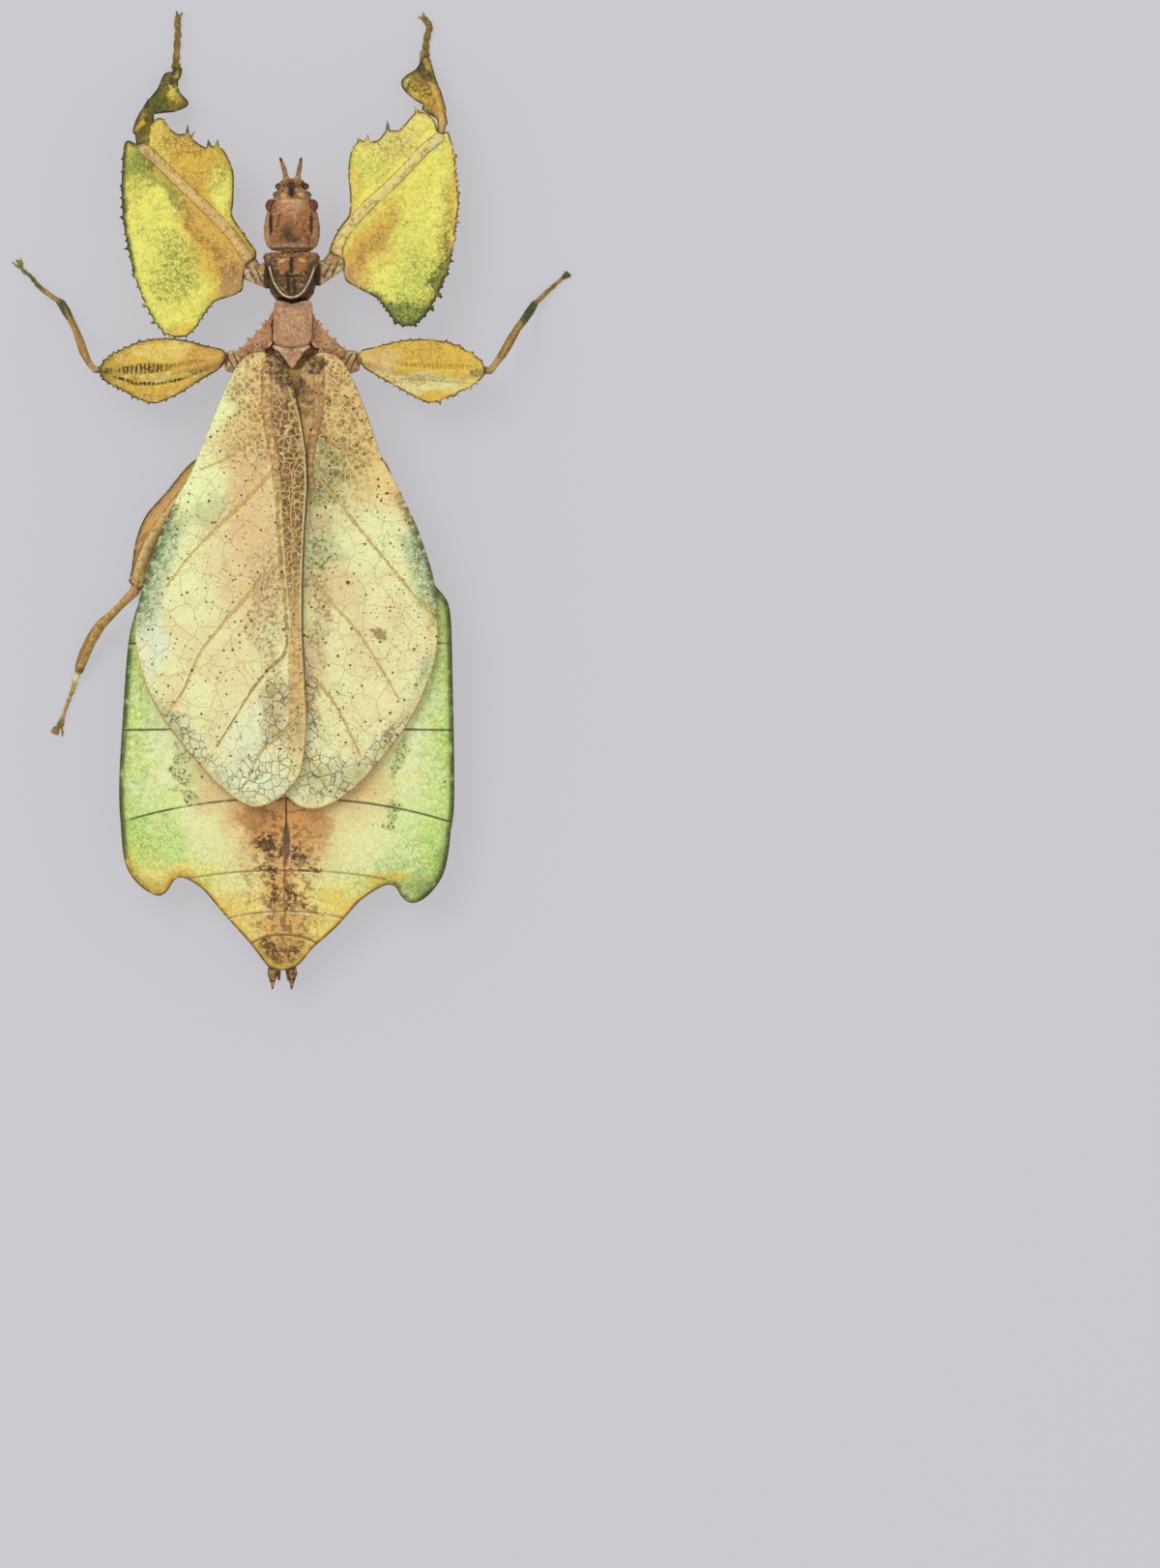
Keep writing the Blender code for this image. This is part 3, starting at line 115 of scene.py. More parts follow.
# Edge of the abdomen from its left front corner round the tail, and the lines between its segments: y at the
# middle, and how far the line drops towards the edge
ABDOMEN_EDGE = (
    (-4.45, 2.65), (-5.8, 1), (-7.8, -2.05), (-9.6, -4.35), (-11.2, -6.6), (-12.05, -8.7), (-12.65, -11),
    (-12.95, -14.1), (-13.2, -17.9), (-13.42, -21.5), (-13.45, -24), (-13.33, -25.8), (-13.2, -27.55), (-12.9, -29.1),
    (-12.2, -30.25), (-11.35, -31), (-10.5, -31.42), (-9.95, -31.3), (-9.5, -30.85), (-9.15, -30.25), (-8.6, -29.98),
    (-7.8, -30.25), (-6.85, -30.9), (-5.85, -32.05), (-4.8, -33.3), (-3.8, -34.4), (-3.1, -35.2), (-2.4, -36.1),
    (-1.85, -36.85), (-1.35, -37.2), (-0.6, -37.35), (0.15, -37.2), (0.75, -36.9), (1.3, -36.3), (1.85, -35.6),
    (2.65, -34.9), (3.55, -34.1), (4.5, -33.1), (5.45, -32), (6.5, -31.2), (7.5, -30.65), (8.2, -30.6), (8.6, -30.95),
    (8.85, -31.4), (9.3, -31.85), (9.85, -32), (10.6, -31.72), (11.45, -30.95), (12.25, -29.65), (12.66, -27.85),
    (12.82, -26.3), (13.05, -24.8), (13.1, -22.5), (13.06, -18.45), (12.96, -14.1), (12.9, -11), (12.76, -8.85),
    (12.35, -7.75), (11.4, -6.6), (10.05, -4.4), (8.3, -2.05), (6.3, 1), (5, 2.65),
)
SEGMENT_LINES = (
    (-2.2, 0), (-6.4, 0), (-11.15, -0.3), (-18.2, -0.1), (-23.7, -1.9), (-29.4, -0.7), (-32.65, -0.55), (-34.5, -0.7),
)
LOBE_LINE = -29.4
LOBE_LINE_ENDS = (-8.3, 7.6)


def tone(red, green, blue):
    """A colour as a shader takes it, from its three display values out of 255."""
    values = []
    for value in (red, green, blue):
        share = value / 255
        values.append(share / 12.92 if share <= 0.04045 else ((share + 0.055) / 1.055) ** 2.4)
    return (*values, 1.0)


def colour_property(name, purpose, rgb):
    return FloatVectorProperty(name=name.replace("_", " ").capitalize(), description=purpose, default=tone(*rgb),
                               size=4, min=0.0, max=1.0, subtype="COLOR")


def length_property(name, description, millimetres):
    return FloatProperty(name=name, description=description, default=millimetres * MM, min=0.0, unit="LENGTH",
                         precision=5)


class LeafInsectSizes(bpy.types.PropertyGroup):
    """Sizes of the fine relief"""

    wing_thickness: length_property("Wing thickness", "Thickness of a fore wing between its veins", 0.24)
    rim_thickness: length_property("Rim thickness", "Thickness of a leaf at its edge", 0.07)
    vein_rise: length_property("Vein rise", "How far a main vein stands out of the wing", 0.1)
    groove_depth: length_property("Groove depth", "Depth of the line between two segments", 0.1)
    leaf_spacing: length_property("Leaf spacing", "Distance between mesh points on wings and lobes", 0.15)


# Each colour's name and purpose, and its red, green and blue on a screen, out of 255
COLOURS = (
    ("wing_cream", "Main colour of the fore wings", 240, 234, 174),
    ("wing_pale", "Lemon white fields of the fore wings", 240, 246, 178),
    ("wing_mint", "Mint white near the edges of the fore wings", 226, 238, 200),
    ("wing_pink", "Pinkish tan fields of the fore wings", 230, 196, 142),
    ("bar_tan", "Main vein bar at the wing base", 228, 194, 132),
    ("wing_ochre", "Warm yellow towards the wing base", 240, 212, 134),
    ("wing_tan", "Brown stain at the wing base", 224, 180, 112),
    ("wing_strip", "Dark field between the main vein and the midline", 162, 128, 84),
    ("wing_teal", "Blue green at the outer edges", 150, 178, 122),
    ("wing_grey", "Grey green at the wing tips", 172, 172, 116),
    ("vein", "Side veins", 212, 182, 100),
    ("vein_pale", "Pale veinlets of the wing base", 236, 216, 146),
    ("orange_line", "Lines along the main veins and the wing edge", 206, 134, 76),
    # Painted shade along the edge where the left fore wing lies over the right one
    ("speck", "Fine dark dots", 96, 58, 34),
    ("suture", "Dark line where the wings meet", 92, 64, 44),
    ("lime", "Bright green sides of the abdomen", 204, 232, 124),
    ("leaf_green", "Deeper green at the edges", 116, 142, 56),
    ("dark_green", "Dark green fringes and rims", 66, 82, 34),
    ("pale_green", "Pale field of the abdomen", 240, 246, 184),
    ("halo", "Orange pink tint of the abdomen behind the wings", 226, 178, 112),
    ("cream_yellow", "Pale yellow of the rear segments", 238, 232, 162),
    ("tail_yellow", "Yellow of the tail segments", 244, 224, 128),
    ("yellow", "Bright yellow of the lobes", 242, 236, 112),
    ("gold", "Warm yellow of the lobes", 232, 192, 78),
    ("orange", "Orange brown middle of the abdomen", 218, 158, 88),
    ("tan", "Pale brown", 224, 186, 118),
    ("brown", "Mid brown", 134, 94, 52),
    ("grey_brown", "Spindle on the seventh segment", 96, 78, 66),
    ("dark_brown", "Darkest marks", 56, 38, 22),
    ("head_brown", "Pinkish brown of the head", 180, 122, 80),
    ("thorax_pink", "Pinkish tan of the thorax", 212, 164, 122),
    ("cream", "Cream rims and ridges", 236, 216, 170),
    ("orange_gold", "Strip along the shaft of the front thighs", 226, 178, 84),
    ("orange_brown", "Orange panels of the head and neck shield", 176, 110, 62),
    ("side_brown", "Side plates of the thorax", 188, 130, 86),
    ("antenna_brown", "Antennae", 164, 112, 64),
    ("ochre", "Hind legs", 212, 170, 92),
    ("hip_tan", "Hips", 214, 164, 108),
    ("shin_olive", "Left front shin", 132, 112, 40),
    ("shin_gold", "Right front shin", 190, 148, 70),
    ("olive", "Olive brown of shins and feet", 120, 102, 44),
    ("eye_red", "Red brown of the eyes", 110, 52, 34),
    ("floor", "Plain floor", 202, 201, 206),
)


class LeafInsectColours(bpy.types.PropertyGroup):
    """Colours of the body"""

    __annotations__ = {name: colour_property(name, purpose, rgb) for name, purpose, *rgb in COLOURS}


def size(name):
    """One of the panel's sizes, in millimetres."""
    return getattr(bpy.context.scene.leaf_insect_sizes, name) / MM


class LeafInsectLight(bpy.types.PropertyGroup):
    """Studio light"""

    sky: FloatProperty(name="Sky", description="Strength of the even light from all round", default=0.79, min=0.0)
    key: FloatProperty(name="Key", description="Power of the large soft light", default=5.9, min=0.0, unit="POWER")


# Shader node groups


class Wires:
    """Adds nodes to a tree and joins them. An input is a number, a vector, a colour or another node's output."""

    def __init__(self, tree):
        self.tree = tree

    def node(self, kind, inputs, **settings):
        made = self.tree.nodes.new(kind)
        for key, value in settings.items():
            setattr(made, key, value)
        for socket, value in inputs.items():
            if isinstance(value, bpy.types.NodeSocket):
                self.tree.links.new(value, made.inputs[socket])
            else:
                made.inputs[socket].default_value = value
        return made

    def maths(self, operation, *values, clamp=False):
        return self.node("ShaderNodeMath", dict(enumerate(values)), operation=operation, use_clamp=clamp).outputs[0]

    def plus(self, first, second):
        return self.maths("ADD", first, second)

    def minus(self, first, second):
        return self.maths("SUBTRACT", first, second)

    def times(self, first, second):
        return self.maths("MULTIPLY", first, second)

    def over(self, first, second):
        return self.maths("DIVIDE", first, second)

    def vector(self, operation, *values):
        made = self.node("ShaderNodeVectorMath", dict(enumerate(values)), operation=operation)
        return made.outputs["Value" if operation == "LENGTH" else "Vector"]

    def stretched(self, vector, factor):
        return self.node("ShaderNodeVectorMath", {0: vector, "Scale": factor}, operation="SCALE").outputs[0]

    def noise(self, place, scale, detail, roughness=0.5):
        return self.node("ShaderNodeTexNoise", {"Vector": place, "Scale": scale, "Detail": detail,
                                                "Roughness": roughness}).outputs

    def cells(self, place, pitch, feature="F1"):
        return self.node("ShaderNodeTexVoronoi", {"Vector": place, "Scale": self.over(1.0, pitch)},
                         feature=feature).outputs

    def join(self, source, target):
        self.tree.links.new(source, target)

    def ramped(self, value, low, high):
        """0 at low and 1 at high, with soft ends."""
        made = self.node("ShaderNodeMapRange", {"Value": value, "From Min": low, "From Max": high},
                         interpolation_type="SMOOTHSTEP")
        return made.outputs[0]


# Sockets of the groups that hold a place or a reach; the others hold a number
VECTORS = {"Place", "Ragged", "Centre", "Reach", "Seed"}


def new_group(name, inputs, outputs):
    """A node group, its wires and its two ends, from the names of its sockets."""
    tree = bpy.data.node_groups.new(name, "ShaderNodeTree")
    for labels, way in ((inputs, "INPUT"), (outputs, "OUTPUT")):
        for label in labels.split():
            kind = "NodeSocketVector" if label in VECTORS else "NodeSocketFloat"
            tree.interface.new_socket(name=label, in_out=way, socket_type=kind)
    return Wires(tree), tree.nodes.new("NodeGroupInput").outputs, tree.nodes.new("NodeGroupOutput").inputs


def drift(w, place, scale, detail, reach):
    """A shift that wanders from place to place, by up to half the reach either way."""
    return w.stretched(w.vector("SUBTRACT", w.noise(place, scale, detail)["Color"], (0.5, 0.5, 0.5)), reach)


def place_group():
    """Place on the piece in millimetres, the same place with ragged edges, and a fine noise."""
    w, _, out = new_group("leaf_place", "", "Place Ragged Fine")
    place = w.stretched(w.node("ShaderNodeTexCoord", {}).outputs["Object"], 1 / MM)
    shift = w.vector("ADD", drift(w, place, 0.45, 3.0, 3.6), drift(w, place, 2.3, 3.0, 1.3))
    w.join(place, out["Place"])
    w.join(w.vector("ADD", place, shift), out["Ragged"])
    w.join(w.noise(place, 4.5, 4.0, 0.65)["Fac"], out["Fine"])


def patch_group():
    """A soft oval: 1 inside, 0 outside, with an edge that the noise breaks up."""
    w, into, out = new_group("leaf_patch", "Place Noise Centre Reach Turn Soft Grain", "Mask")
    moved = w.vector("SUBTRACT", into["Place"], into["Centre"])
    turned = w.node("ShaderNodeVectorRotate", {"Vector": moved, "Angle": into["Turn"]}, rotation_type="Z_AXIS")
    away = w.vector("LENGTH", w.vector("DIVIDE", turned.outputs[0], into["Reach"]))
    depth = w.over(w.minus(1.0, away), into["Soft"])
    broken = w.times(w.minus(into["Noise"], 0.5), into["Grain"])
    w.join(w.ramped(w.plus(w.plus(depth, 0.5), broken), 0.0, 1.0), out["Mask"])


def blotch_group():
    """Clouds of colour: 1 where a noise of the given size stands above the level."""
    w, into, out = new_group("leaf_blotches", "Place Size Level Soft Seed", "Mask")
    there = w.vector("ADD", into["Place"], into["Seed"])
    noise = w.noise(there, w.over(1.0, into["Size"]), 4.0, 0.6)["Fac"]
    low, high = w.minus(into["Level"], into["Soft"]), w.plus(into["Level"], into["Soft"])
    w.join(w.ramped(noise, low, high), out["Mask"])


def speck_group():
    """Round dots of one size, one in each cell of a loose net, with only a share of the cells filled."""
    w, into, out = new_group("leaf_specks", "Place Pitch Radius Share Seed", "Mask")
    cells = w.cells(w.vector("ADD", into["Place"], into["Seed"]), into["Pitch"])
    parts = w.node("ShaderNodeSeparateColor", {"Color": cells["Color"]}).outputs
    radius = w.times(into["Radius"], w.plus(parts["Green"], 0.45))
    dot = w.ramped(w.times(cells["Distance"], into["Pitch"]), radius, w.times(radius, 0.45))
    w.join(w.times(dot, w.maths("LESS_THAN", parts["Red"], into["Share"])), out["Mask"])


def net_group():
    """A net of fine veins: 1 on its lines, and a value that differs from cell to cell."""
    w, into, out = new_group("leaf_net", "Place Pitch Width Wobble", "Mask Cell")
    shift = drift(w, into["Place"], w.over(1.3, into["Pitch"]), 2.0, into["Wobble"])
    flat = w.vector("MULTIPLY", w.vector("ADD", into["Place"], shift), (1.0, 1.0, 0.3))
    edge = w.times(w.cells(flat, into["Pitch"], "DISTANCE_TO_EDGE")["Distance"], into["Pitch"])
    cells = w.node("ShaderNodeSeparateColor", {"Color": w.cells(flat, into["Pitch"])["Color"]}).outputs
    w.join(w.ramped(edge, into["Width"], 0.0), out["Mask"])
    w.join(cells["Red"], out["Cell"])


class Finish:
    """A material laid on in coats: each coat is a named colour, a mask for where it goes, and how strong it is."""

    def __init__(self, base, roughness=0.5, specular=0.2):
        self.material = bpy.data.materials.new("finish")
        self.material.use_nodes = True
        self.wires = Wires(self.material.node_tree)
        self.shader = self.material.node_tree.nodes["Principled BSDF"]
        self.shader.inputs["Roughness"].default_value = roughness
        self.shader.inputs["Specular IOR Level"].default_value = specular
        ends = self.group("leaf_place", {}).outputs
        self.place, self.ragged, self.fine = (ends[key] for key in ("Place", "Ragged", "Fine"))
        self.colours = bpy.context.scene.leaf_insect_colours
        self.colour = tuple(getattr(self.colours, base))
        self.heights = []

    def group(self, name, inputs):
        return self.wires.node("ShaderNodeGroup", inputs, node_tree=bpy.data.node_groups[name])

    def oval(self, place, x, y, reach_x, reach_y, turn, soft, grain):
        return self.group("leaf_patch", {"Place": place, "Noise": self.fine, "Centre": (x, y, 0.0),
                                         "Reach": (reach_x, reach_y, ANY_HEIGHT), "Turn": -math.radians(turn),
                                         "Soft": soft, "Grain": grain}).outputs[0]

    def patch(self, x, y, reach_x, reach_y, turn=0.0, soft=0.6, grain=1.2):
        """A soft oval with a ragged outline, in millimetres, turned by an angle in degrees."""
        return self.oval(self.ragged, x, y, reach_x, reach_y, turn, soft, grain)

    def sharp_patch(self, x, y, reach_x, reach_y, turn=0.0, soft=0.6, grain=0.6):
        """The same oval with its outline kept true."""
        return self.oval(self.place, x, y, reach_x, reach_y, turn, soft, grain)

    def blotches(self, size, level=0.5, soft=0.08, seed=0.0):
        return self.group("leaf_blotches", {"Place": self.place, "Size": size, "Level": level, "Soft": soft,
                                            "Seed": (seed, seed * 0.7, seed * 0.3)}).outputs[0]

    def specks(self, pitch, radius, share, seed=0.0):
        return self.group("leaf_specks", {"Place": self.place, "Pitch": pitch, "Radius": radius, "Share": share,
                                          "Seed": (seed, seed * 0.6, 0.0)}).outputs[0]

    def net(self, pitch, width, wobble=0.5):
        return self.group("leaf_net", {"Place": self.place, "Pitch": pitch, "Width": width,
                                       "Wobble": wobble}).outputs

    def mark(self, name, low=0.0, high=1.0):
        """A value stored on the mesh, as a mask that is 0 at low and 1 at high."""
        value = self.wires.node("ShaderNodeAttribute", {}, attribute_name=name).outputs["Fac"]
        return self.wires.ramped(value, low, high)

    def comb(self, pitch, seed=0.0):
        """Uneven strokes side by side across the body."""
        wave = self.wires.node("ShaderNodeTexWave", {"Vector": self.place, "Scale": 0.314 / pitch, "Distortion": 2.2,
                                                     "Detail": 2.0, "Phase Offset": seed})
        return self.wires.ramped(wave.outputs["Fac"], 0.45, 0.75)

    def both(self, *masks):
        return reduce(self.wires.times, masks)

    def either(self, *masks):
        return reduce(partial(self.wires.maths, "MAXIMUM"), masks)

    def without(self, mask):
        return self.wires.maths("SUBTRACT", 1.0, mask, clamp=True)

    def coat(self, colour, strength, *masks):
        """Lays a colour over what is there, where all the masks are."""
        amount = self.wires.maths("MULTIPLY", self.both(*masks), strength, clamp=True)
        over = tuple(getattr(self.colours, colour))
        mixed = self.wires.node("ShaderNodeMix", {0: amount, 6: self.colour, 7: over}, data_type="RGBA")
        self.colour = mixed.outputs[2]

    def mottle(self, colour, strength, clouds, *masks):
        """Lays a colour over the clouds (size, level, softness and seed) within the masks."""
        self.coat(colour, strength, *masks, self.blotches(*clouds))

    def lay(self, stains):
        """Lays ragged ovals: colour, strength, x, y, reach across and along, and the turn where there is one."""
        for colour, strength, x, y, reach_x, reach_y, *turn in stains:
            self.coat(colour, strength, self.patch(x, y, reach_x, reach_y, *turn, soft=0.9))

    def shade(self, mask, factor):
        """Darkens or lightens what is there, to a factor where the mask is 1."""
        mixed = self.wires.node("ShaderNodeMix", {0: mask, 6: self.colour, 7: (factor, factor, factor, 1.0)},
                                data_type="RGBA", blend_type="MULTIPLY")
        self.colour = mixed.outputs[2]

    def relief(self, mask, millimetres):
        """Raises the surface in the light by so much where the mask is 1."""
        self.heights.append(self.wires.times(mask, millimetres))

    def weather(self, fine, clouds, dark, depth):
        """Darkens the fine noise and clouds a little, and raises the fine noise."""
        self.shade(self.fine, fine)
        self.shade(self.blotches(*clouds), dark)
        self.relief(self.fine, depth)

    def done(self):
        """Joins the coats and the relief to the shader."""
        self.wires.join(self.colour, self.shader.inputs["Base Color"])
        if self.heights:
            total = reduce(self.wires.plus, self.heights)
            bump = self.wires.node("ShaderNodeBump", {"Height": total, "Distance": MM, "Strength": 1.0})
            self.wires.join(bump.outputs[0], self.shader.inputs["Normal"])
        return self.material

    def dress(self, obj, slot, nodes):
        """Gives a finished piece this material and its place on the frame."""
        self.material.name = f"{obj.name.rsplit('_', 1)[0]}_finish"
        obj.data.materials.append(self.done())
        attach(obj, "root")
        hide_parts(*nodes)


def build_groups():
    place_group()
    patch_group()
    blotch_group()
    speck_group()
    net_group()


# Meshes


def smooth(points, rounds=1, closed=True):
    """Puts a point between each two, on the cubic through its four neighbours."""
    points = np.asarray(points, float)
    for _ in range(rounds):
        if closed:
            before, after, last = np.roll(points, 1, 0), np.roll(points, -1, 0), np.roll(points, -2, 0)
            between = (9 * (points + after) - before - last) / 16
            points = np.stack([points, between], 1).reshape(-1, points.shape[1])
        else:
            padded = np.vstack([points[:1], points, points[-1:]])
            between = (9 * (padded[1:-2] + padded[2:-1]) - padded[:-3] - padded[3:]) / 16
            woven = np.empty((len(points) + len(between), points.shape[1]))
            woven[0::2], woven[1::2] = points, between
            points = woven
    return points


def along(line, spacing):
    """An open line with its points set about one spacing apart, its corners kept."""
    found = []
    for start, stop in zip(line, line[1:]):
        count = max(1, round(float(np.linalg.norm(stop - start)) / spacing))
        found.extend(start + (stop - start) * i / count for i in range(count))
    return np.array([*found, line[-1]])


def evenly(loop, spacing):
    """The same for a closed loop."""
    return along(np.vstack([loop, loop[:1]]), spacing)[:-1]


def tree_of(points):
    """A search tree over flat points."""
    tree = KDTree(len(points))
    for i, point in enumerate(points):
        tree.insert((*point, 0.0), i)
    tree.balance()
    return tree


def sides_of(triangles):
    return np.concatenate([triangles[:, [0, 1]], triangles[:, [1, 2]], triangles[:, [2, 0]]])


def merged(nodes):
    """One mesh of copies of CAD nodes, in millimetres, with each node's loose triangles joined up."""
    shaped = bmesh.new()
    for name in nodes:
        shaped.from_mesh(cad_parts[name].data)
    bmesh.ops.remove_doubles(shaped, verts=shaped.verts, dist=2e-6)
    bmesh.ops.scale(shaped, vec=(1 / MM,) * 3, verts=shaped.verts)
    return shaped


def silhouette(nodes):
    """The outline of CAD nodes from above, as one closed loop."""
    shaped = merged(nodes)
    shaped.normal_update()
    points = [vertex.co.xy for vertex in shaped.verts]
    faces = [[vertex.index for vertex in face.verts] for face in shaped.faces if face.normal.z > 0.02]
    flat, _, triangles, *_ = delaunay_2d_cdt(points, [], faces, 1, 1e-4)
    shaped.free()
    flat = np.array([tuple(point) for point in flat])
    loop = flat[chained(border_of(wound(flat, np.array(triangles))))]
    return loop[np.hypot(*(loop - np.roll(loop, 1, 0)).T) > 0.02]


def wound(points, triangles):
    """Triangles with their corners in one turning sense."""
    a, b, c = (points[triangles[:, i]] for i in range(3))
    turned = (b - a)[:, 0] * (c - a)[:, 1] - (b - a)[:, 1] * (c - a)[:, 0] < 0
    triangles[turned] = triangles[turned][:, ::-1]
    return triangles


def within(loop, points):
    """True for each point that lies inside the closed loop."""
    found = np.zeros(len(points), bool)
    for (ax, ay), (bx, by) in zip(loop, np.roll(loop, -1, 0)):
        if ay == by:
            continue
        crossing = (ay > points[:, 1]) != (by > points[:, 1])
        found ^= crossing & (points[:, 0] < ax + (bx - ax) * (points[:, 1] - ay) / (by - ay))
    return found


def away_from(path, points, closed=False):
    """Each point's distance from a path, and how far along the path its nearest place is."""
    path = np.asarray(path, float)
    stops = np.roll(path, -1, 0) if closed else path[1:]
    starts = path if closed else path[:-1]
    best = np.full(len(points), np.inf)
    along = np.zeros(len(points))
    run = 0.0
    for start, stop in zip(starts, stops):
        step = stop - start
        length = float(np.hypot(*step))
        if length == 0:
            continue
        share = np.clip(((points - start) @ step) / length**2, 0, 1)
        distance = np.hypot(*(points - start - share[:, None] * step).T)
        nearer = distance < best
        best[nearer] = distance[nearer]
        along[nearer] = run + share[nearer] * length
        run += length
    return best, along


def filled(loops, spacing, lines=()):
    """Points and triangles that fill closed loops, on an even grid of three-cornered cells that also has edges
    along the given lines."""
    points = [tuple(point) for loop in loops for point in loop]
    edges = []
    for loop in loops:
        start = len(edges)
        edges.extend((start + i, start + (i + 1) % len(loop)) for i in range(len(loop)))
    for line in lines:
        start = len(points)
        points.extend(tuple(point) for point in line)
        edges.extend((start + i, start + i + 1) for i in range(len(line) - 1))
    every = np.array(points)
    low, high = every.min(0), every.max(0)
    rows = np.arange(low[1], high[1], spacing * math.sqrt(3) / 2)
    columns = np.arange(low[0], high[0], spacing)
    grid = np.array([(x + spacing * (0.25 + 0.5 * (i % 2)), y) for i, y in enumerate(rows) for x in columns])
    tree = tree_of(every)
    inside = np.zeros(len(grid), bool)
    for loop in loops:
        inside |= within(loop, grid)
    points.extend((x, y) for x, y in grid[inside] if tree.find((x, y, 0.0))[2] > 0.6 * spacing)
    flat, _, triangles, *_ = delaunay_2d_cdt([Vector(point) for point in points], edges, [], 1, 1e-5)
    flat = np.array([tuple(point) for point in flat])
    return flat, wound(flat, np.array(triangles))


def border_of(triangles):
    """The edges that only one triangle has, each in its triangle's direction."""
    known = {tuple(edge) for edge in sides_of(triangles).tolist()}
    return [edge for edge in known if edge[::-1] not in known]


def chained(edges):
    """Edges put in order as one closed run of point numbers, the longest where there are several."""
    following = dict(edges)
    runs = []
    while following:
        start = at = next(iter(following))
        run = []
        while at in following:
            run.append(at)
            at = following.pop(at)
            if at == start:
                break
        runs.append(run)
    return max(runs, key=len)


def merged_outline(loops):
    """The outline round several loops that overlap."""
    points, triangles = filled(loops, 1.5)
    return points[chained(border_of(triangles))]


def nearest_places(node, other):
    """The places on two CAD nodes where they come closest to each other, in millimetres."""
    shaped = [merged([node]), merged([other])]
    best = (math.inf, None)
    for here, there in ((0, 1), (1, 0)):
        tree = BVHTree.FromBMesh(shaped[there])
        for vertex in shaped[here].verts:
            place, _, _, distance = tree.find_nearest(vertex.co)
            if distance < best[0]:
                best = (distance, {here: vertex.co.copy(), there: place})
    for mesh in shaped:
        mesh.free()
    return best[1][0], best[1][1]


def levels_of(nodes, points):
    """Height of the upper and the lower face of CAD nodes at each point, with gaps filled from beside them."""
    shaped = merged(nodes)
    tree = BVHTree.FromBMesh(shaped)
    shaped.free()
    upper = np.full(len(points), np.nan)
    lower = np.full(len(points), np.nan)
    for i, (x, y) in enumerate(points):
        hit = tree.ray_cast((x, y, 30.0), (0, 0, -1))[0]
        if hit is not None:
            upper[i] = hit.z
            lower[i] = tree.ray_cast((x, y, -30.0), (0, 0, 1))[0].z
    missed = np.isnan(upper)
    known = np.flatnonzero(~missed)
    tree = tree_of(points[known])
    for i in np.flatnonzero(missed):
        near = known[tree.find((*points[i], 0.0))[1]]
        upper[i], lower[i] = upper[near], lower[near]
    return upper, lower


def relaxed(values, edges, rounds):
    """Values on mesh points, each moved to the mean of its neighbours again and again."""
    both = np.concatenate([edges, edges[:, ::-1]])
    counts = np.bincount(both[:, 0], minlength=len(values))
    for _ in range(rounds):
        sums = np.bincount(both[:, 0], weights=values[both[:, 1]], minlength=len(values))
        values = 0.5 * values + 0.5 * sums / np.maximum(counts, 1)
    return values


def eased(value, low=0.0, high=1.0):
    """0 below low, 1 above high, with soft ends."""
    share = np.clip((value - low) / (high - low), 0, 1)
    return share * share * (3 - 2 * share)


def rippled(points, waves):
    """Random surfaces laid on each other: height, pitch and seed of each."""
    return sum(height * ripples(points, pitch, seed) for height, pitch, seed in waves)


def ripples(points, pitch, seed):
    """A smooth random surface from -1 to 1, made of a few crossing waves."""
    draw = np.random.default_rng(seed)
    total = np.zeros(len(points))
    for _ in range(7):
        angle, phase, stretch = draw.uniform(0, math.tau), draw.uniform(0, math.tau), draw.uniform(0.7, 1.5)
        run = points @ np.array([math.cos(angle), math.sin(angle)]) * math.tau / (pitch * stretch)
        total += np.sin(run + phase + 1.1 * np.sin(0.37 * run + seed))
    return total / 4


class Leaf:
    """The fine flat mesh of a leaf-like part, with the heights of its CAD nodes read at each point."""

    def __init__(self, nodes, outline, spacing, lines=()):
        lines = [along(line, spacing) for line in lines]
        self.points, self.triangles = filled([outline], spacing, lines)
        self.edges = np.unique(np.sort(sides_of(self.triangles), axis=1), axis=0)
        self.upper, self.lower = levels_of(nodes, self.points)
        self.rim = away_from(outline, self.points, closed=True)[0]
        self.marks = {"rim": self.rim}

    def relax(self, values, rounds):
        return relaxed(values, self.edges, rounds)

    def beside(self, path, width, taper=0.0):
        """Each point's distance from a path in widths of the path, which narrows towards its end."""
        distance, run = away_from(path, self.points)
        length = float(np.hypot(*np.diff(path, axis=0).T).sum())
        return distance / (width * (1 - taper * run / length))

    def build(self, name, upper, lower):
        """The closed mesh between the two faces, with its marks stored on it."""
        count = len(self.points)
        points = np.vstack([np.column_stack([self.points, upper]), np.column_stack([self.points, lower])])
        walls = []
        for a, b in sorted(border_of(self.triangles)):
            walls.append((b, a, count + a))
            walls.append((b, count + a, count + b))
        faces = np.vstack([self.triangles, self.triangles[:, ::-1] + count, walls])
        marks = {key: np.tile(value, 2) for key, value in self.marks.items()}
        marks["upper"] = np.repeat([1.0, 0.0], count)
        return mesh_piece(name, points, faces, marks)


def linked(name, mesh):
    """A new object in the scene."""
    obj = bpy.data.objects.new(name, mesh)
    bpy.context.scene.collection.objects.link(obj)
    return obj


def boxed(places):
    """Places in metres, kept inside the solids' box."""
    return np.clip(places, *(np.array(corner) for corner in CAD_BOX))


def store(mesh, marks):
    """Stores named values on a mesh's points."""
    for key, values in marks.items():
        mesh.attributes.new(key, "FLOAT", "POINT").data.foreach_set("value", np.asarray(values, np.float32))


def mesh_piece(name, points, faces, marks):
    """A smooth-shaded mesh object from points in millimetres, with values stored on its points."""
    mesh = bpy.data.meshes.new(name)
    mesh.from_pydata(boxed(np.asarray(points) * MM).tolist(), [], np.asarray(faces).tolist())
    mesh.polygons.foreach_set("use_smooth", [True] * len(mesh.polygons))
    store(mesh, marks)
    mesh.update()
    return linked(name, mesh)


# Melted skins

# How far a joint's rod reaches into the next part
ROD_END = 0.3


